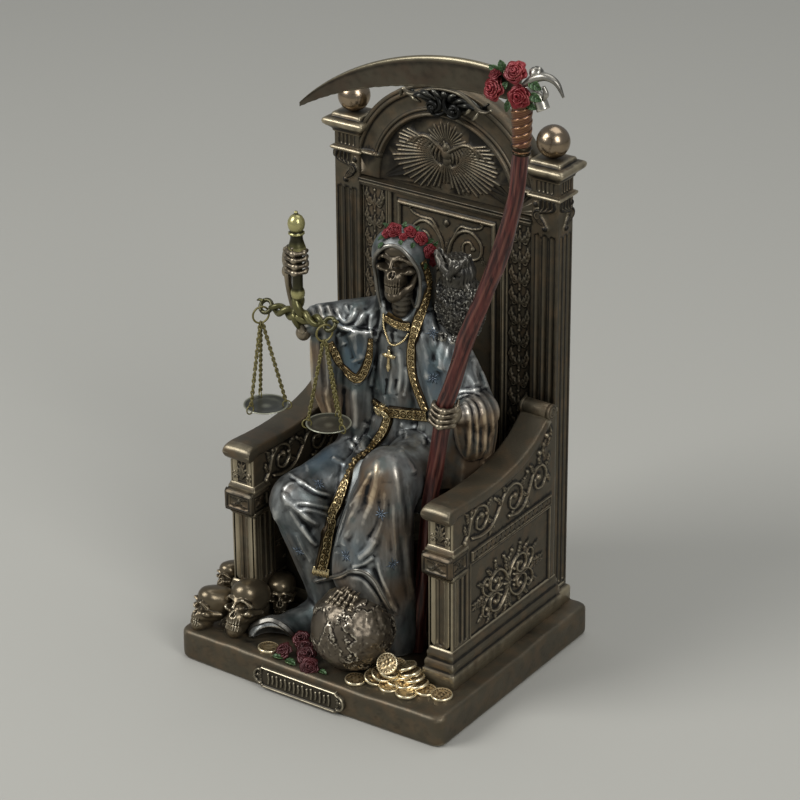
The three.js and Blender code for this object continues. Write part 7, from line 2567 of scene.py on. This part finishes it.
def make_plinth_skulls():
    skulls = [
        make_skull(14.4, 17.6, 24, (-40, -43.4, 10.6), -0.02, -0.42, jaw=False, lift=1.2),
        make_skull(12.5, 15.5, 19.5, (-54.4, -46.6, 10.6), -0.5, -0.34, jaw=False, lift=1.2),
        make_skull(11.5, 13.5, 17.5, (-36, -20.6, 11.6), 0.5, -0.08, jaw=False, lift=1.2),
        make_skull(9, 11, 13.5, (-57, -28.5, 18.6), -0.3, -0.25, jaw=False, lift=1.2),
    ]
    rock = ball((-55.5, -28, 12.7), (5.5, 7, 8.2), 30, 20)
    rock.v += unit(normals(rock)) * (1.2 * crumbly(rock.v, 6.0))[:, None]
    throne_piece("plinth_skulls", merge([*skulls, rock]), SKULLS, rounds=((2, 0.06), (6, 0.24)))


COIN_RADIUS = 4.3


def coin(centre, tilt_x, tilt_y, seed):
    """A coin with a rim, a ring of beads and a worn device."""
    angle = np.linspace(0, TAU, 61)[:-1]
    r_line = [0.15, 0.7, 1.3, 1.9, 2.5, 2.9, 3.2, 3.5, 3.75, 4.0, 4.2, COIN_RADIUS]
    top = []
    for r in r_line:
        rim = 0.28 * math.exp(-((r - 3.95) / 0.28) ** 2)
        beads = 0.16 * math.exp(-((r - 3.3) / 0.22) ** 2) * np.cos(angle * 20)
        point = np.stack([r * np.cos(angle), r * np.sin(angle), 0 * angle + seed * 3], axis=-1)
        device = 0.17 * wobble(point, 1.9, seed) * (r < 2.9)
        height = 0.5 + rim + beads + device - 0.35 * max(0, r - 4.15) / 0.15
        top.append(np.stack([r * np.cos(angle), r * np.sin(angle), height + 0 * angle], axis=-1))
    bottom = [np.stack([r * np.cos(angle), r * np.sin(angle), 0 * angle + z], axis=-1)
              for r, z in ((COIN_RADIUS, -0.2), (4.15, -0.45), (2, -0.5), (0.15, -0.5))]
    return rings(top + bottom).turned(turn_y(tilt_y) @ turn_x(tilt_x) @ turn_z(seed)).moved(centre)


def make_coins():
    """Coins strewn, in two leaning stacks, on edge and in a heap."""
    flat = [(-23, -46.8), (19, -47.5), (32.5, -44.2), (40.6, -45), (45.6, -39), (52.6, -38.6)]
    parts = [coin((x, y, 13.2 + 0.1 * (i % 2)), 0.05 * (i % 3 - 1), 0.04, i + 1) for i,
             (x, y) in enumerate(flat)]
    parts += [coin((25.2 + 2.2 * i, -43.6 + 1.7 * i, 14.3 + 1.5 * i), 0.1, 0.35, 20 + i) for i in range(3)]
    parts += [coin((41.5 - 2.4 * i, -38 + 0.8 * i, 13.9 + 1.5 * i), 0, -0.3, 30 + i) for i in range(4)]
    parts += [coin((29.5, -41.4, 20.9), 0.95, 0.35, 41)]
    heap = [(27, -39.5, 14, 0.2, 0.2), (31, -38, 15.4, 0.3, -0.1), (35, -36.6, 16, 0.2, -0.2),
            (33, -40, 14, 0.1, 0.1),
            (37, -40, 14, 0.1, -0.1), (30, -36, 17, 0.3, 0.1), (24, -40.6, 13.8, 0.1, 0.2),
            (36, -34.5, 15, 0.2, -0.3)]
    parts += [coin((x, y, z), a, b, 50 + i) for i, (x, y, z, a, b) in enumerate(heap)]
    throne_piece("coins", merge(parts), COIN)


def make_floor_roses():
    flowers = [((-14.5, -36.5, 14.6), 3.4, (0.1, -0.6, 0.8)), ((-15, -47, 14.2), 3.5, (-0.2, -0.7, 0.8)),
               ((-5.5, -45.5, 14.6), 3.8, (0.2, -0.6, 0.8)), ((-0.5, -50.3, 13.9), 3.6, (0.3, -0.8, 0.6)),
               ((-9.2, -41.5, 14.8), 3.4, (0, -0.5, 0.9))]
    roses = merge([rose(c, r, n, 90 + i) for i, (c, r, n) in enumerate(flowers)])
    throne_piece("floor_roses", roses, FLOOR_ROSE, rounds=FINE)
    leaves = [((-12, -50.4, 13.2), (-6.4, -51.8, 13.2), 3.0),
              ((-13.4, -49.8, 13.2), (-17.8, -51.2, 13.3), 2.8),
              ((3.4, -49.6, 13.2), (7.4, -50.4, 13.2), 2.2), ((-9, -49.4, 13.4), (-8.4, -52.6, 13.2), 2.4)]
    throne_piece("floor_leaves", merge([leaf(a, b, w, (0, -0.2, 1)) for a, b, w in leaves]), LEAF,
                 rounds=FINE)


SKULLS = cast_paint("plinth_skulls", srgb(14, 12, 10), srgb(108, 97, 78), srgb(236, 224, 198), metallic=0.8,
                    rough=(0.3, 0.22), start=0.64)
COIN = cast_paint("coin", srgb(72, 60, 42), srgb(190, 166, 124), srgb(240, 226, 190), metallic=0.9,
                  rough=(0.36, 0.26), start=0.56)
FLOOR_ROSE = cast_paint("dark_rose", srgb(24, 8, 9), srgb(68, 19, 22), srgb(150, 82, 76), metallic=0.4,
                        rough=(0.4, 0.28), start=0.76, patch=srgb(46, 26, 24))

make_snath()
make_wrap()
make_blade()
make_tang()
make_head_roses()
make_handle()
make_beam()
make_scale_pans()
make_finials()
make_plinth_skulls()
make_coins()
make_floor_roses()


# Camera, lights and floor

def make_camera():
    data = bpy.data.cameras.new("camera")
    data.lens, data.sensor_width = FOCAL_PX * SENSOR_MM / (2 * HALF_FRAME), SENSOR_MM
    data.clip_start, data.clip_end = 0.05, 20
    camera = bpy.data.objects.new("camera", data)
    turn = Matrix([[RIGHT[k], UPWARD[k], BACKWARD[k]] for k in range(3)]).to_4x4()
    camera.matrix_world = Matrix.Translation(Vector(EYE * MM)) @ turn
    bpy.context.scene.collection.objects.link(camera)
    bpy.context.scene.camera = camera


def softbox(name, place, aim, width, height, watts):
    """A rectangular lamp that looks at a place."""
    data = bpy.data.lights.new(name, "AREA")
    data.shape = "RECTANGLE"
    data.size, data.size_y = width, height
    data.energy = watts
    lamp = bpy.data.objects.new(name, data)
    lamp.location = place
    lamp.rotation_euler = (Vector(aim) - Vector(place)).to_track_quat("-Z", "Y").to_euler()
    bpy.context.scene.collection.objects.link(lamp)


# The stage, in metres.
FLOOR_HALF, FLOOR_DROP, FLOOR_COLOR = 3.0, 0.0002, (0.36, 0.352, 0.318, 1)
ROOM_COLOR, ROOM_STRENGTH = (0.9, 0.95, 1.0, 1), 0.28
SOFTBOXES = [
    ("left_box", (-0.75, -0.9, 1.05), (0, 0, 0.1), 0.7, 0.9, 18),
    ("right_box", (1.15, -0.5, 0.95), (0, 0, 0.1), 0.6, 0.8, 11),
    ("top_box", (0.1, 0.5, 1.5), (0, 0, 0), 1.2, 1.0, 7.5),
]


def make_stage():
    mesh = bpy.data.meshes.new("floor")
    corners = [(x * FLOOR_HALF, y * FLOOR_HALF, 0) for x, y in ((-1, -1), (1, -1), (1, 1), (-1, 1))]
    mesh.from_pydata(corners, [], [(0, 1, 2, 3)])
    floor = bpy.data.objects.new("floor", mesh)
    floor.location.z = -FLOOR_DROP
    mesh.materials.append(flat_paint("backdrop", FLOOR_COLOR, rough=0.9))
    bpy.context.scene.collection.objects.link(floor)
    world = bpy.data.worlds.new("room")
    world.use_nodes = True
    back = world.node_tree.nodes["Background"]
    back.inputs["Color"].default_value = ROOM_COLOR
    back.inputs["Strength"].default_value = ROOM_STRENGTH
    bpy.context.scene.world = world
    for box in SOFTBOXES:
        softbox(*box)


make_camera()
make_stage()
bpy.context.scene.view_settings.view_transform = "Standard"
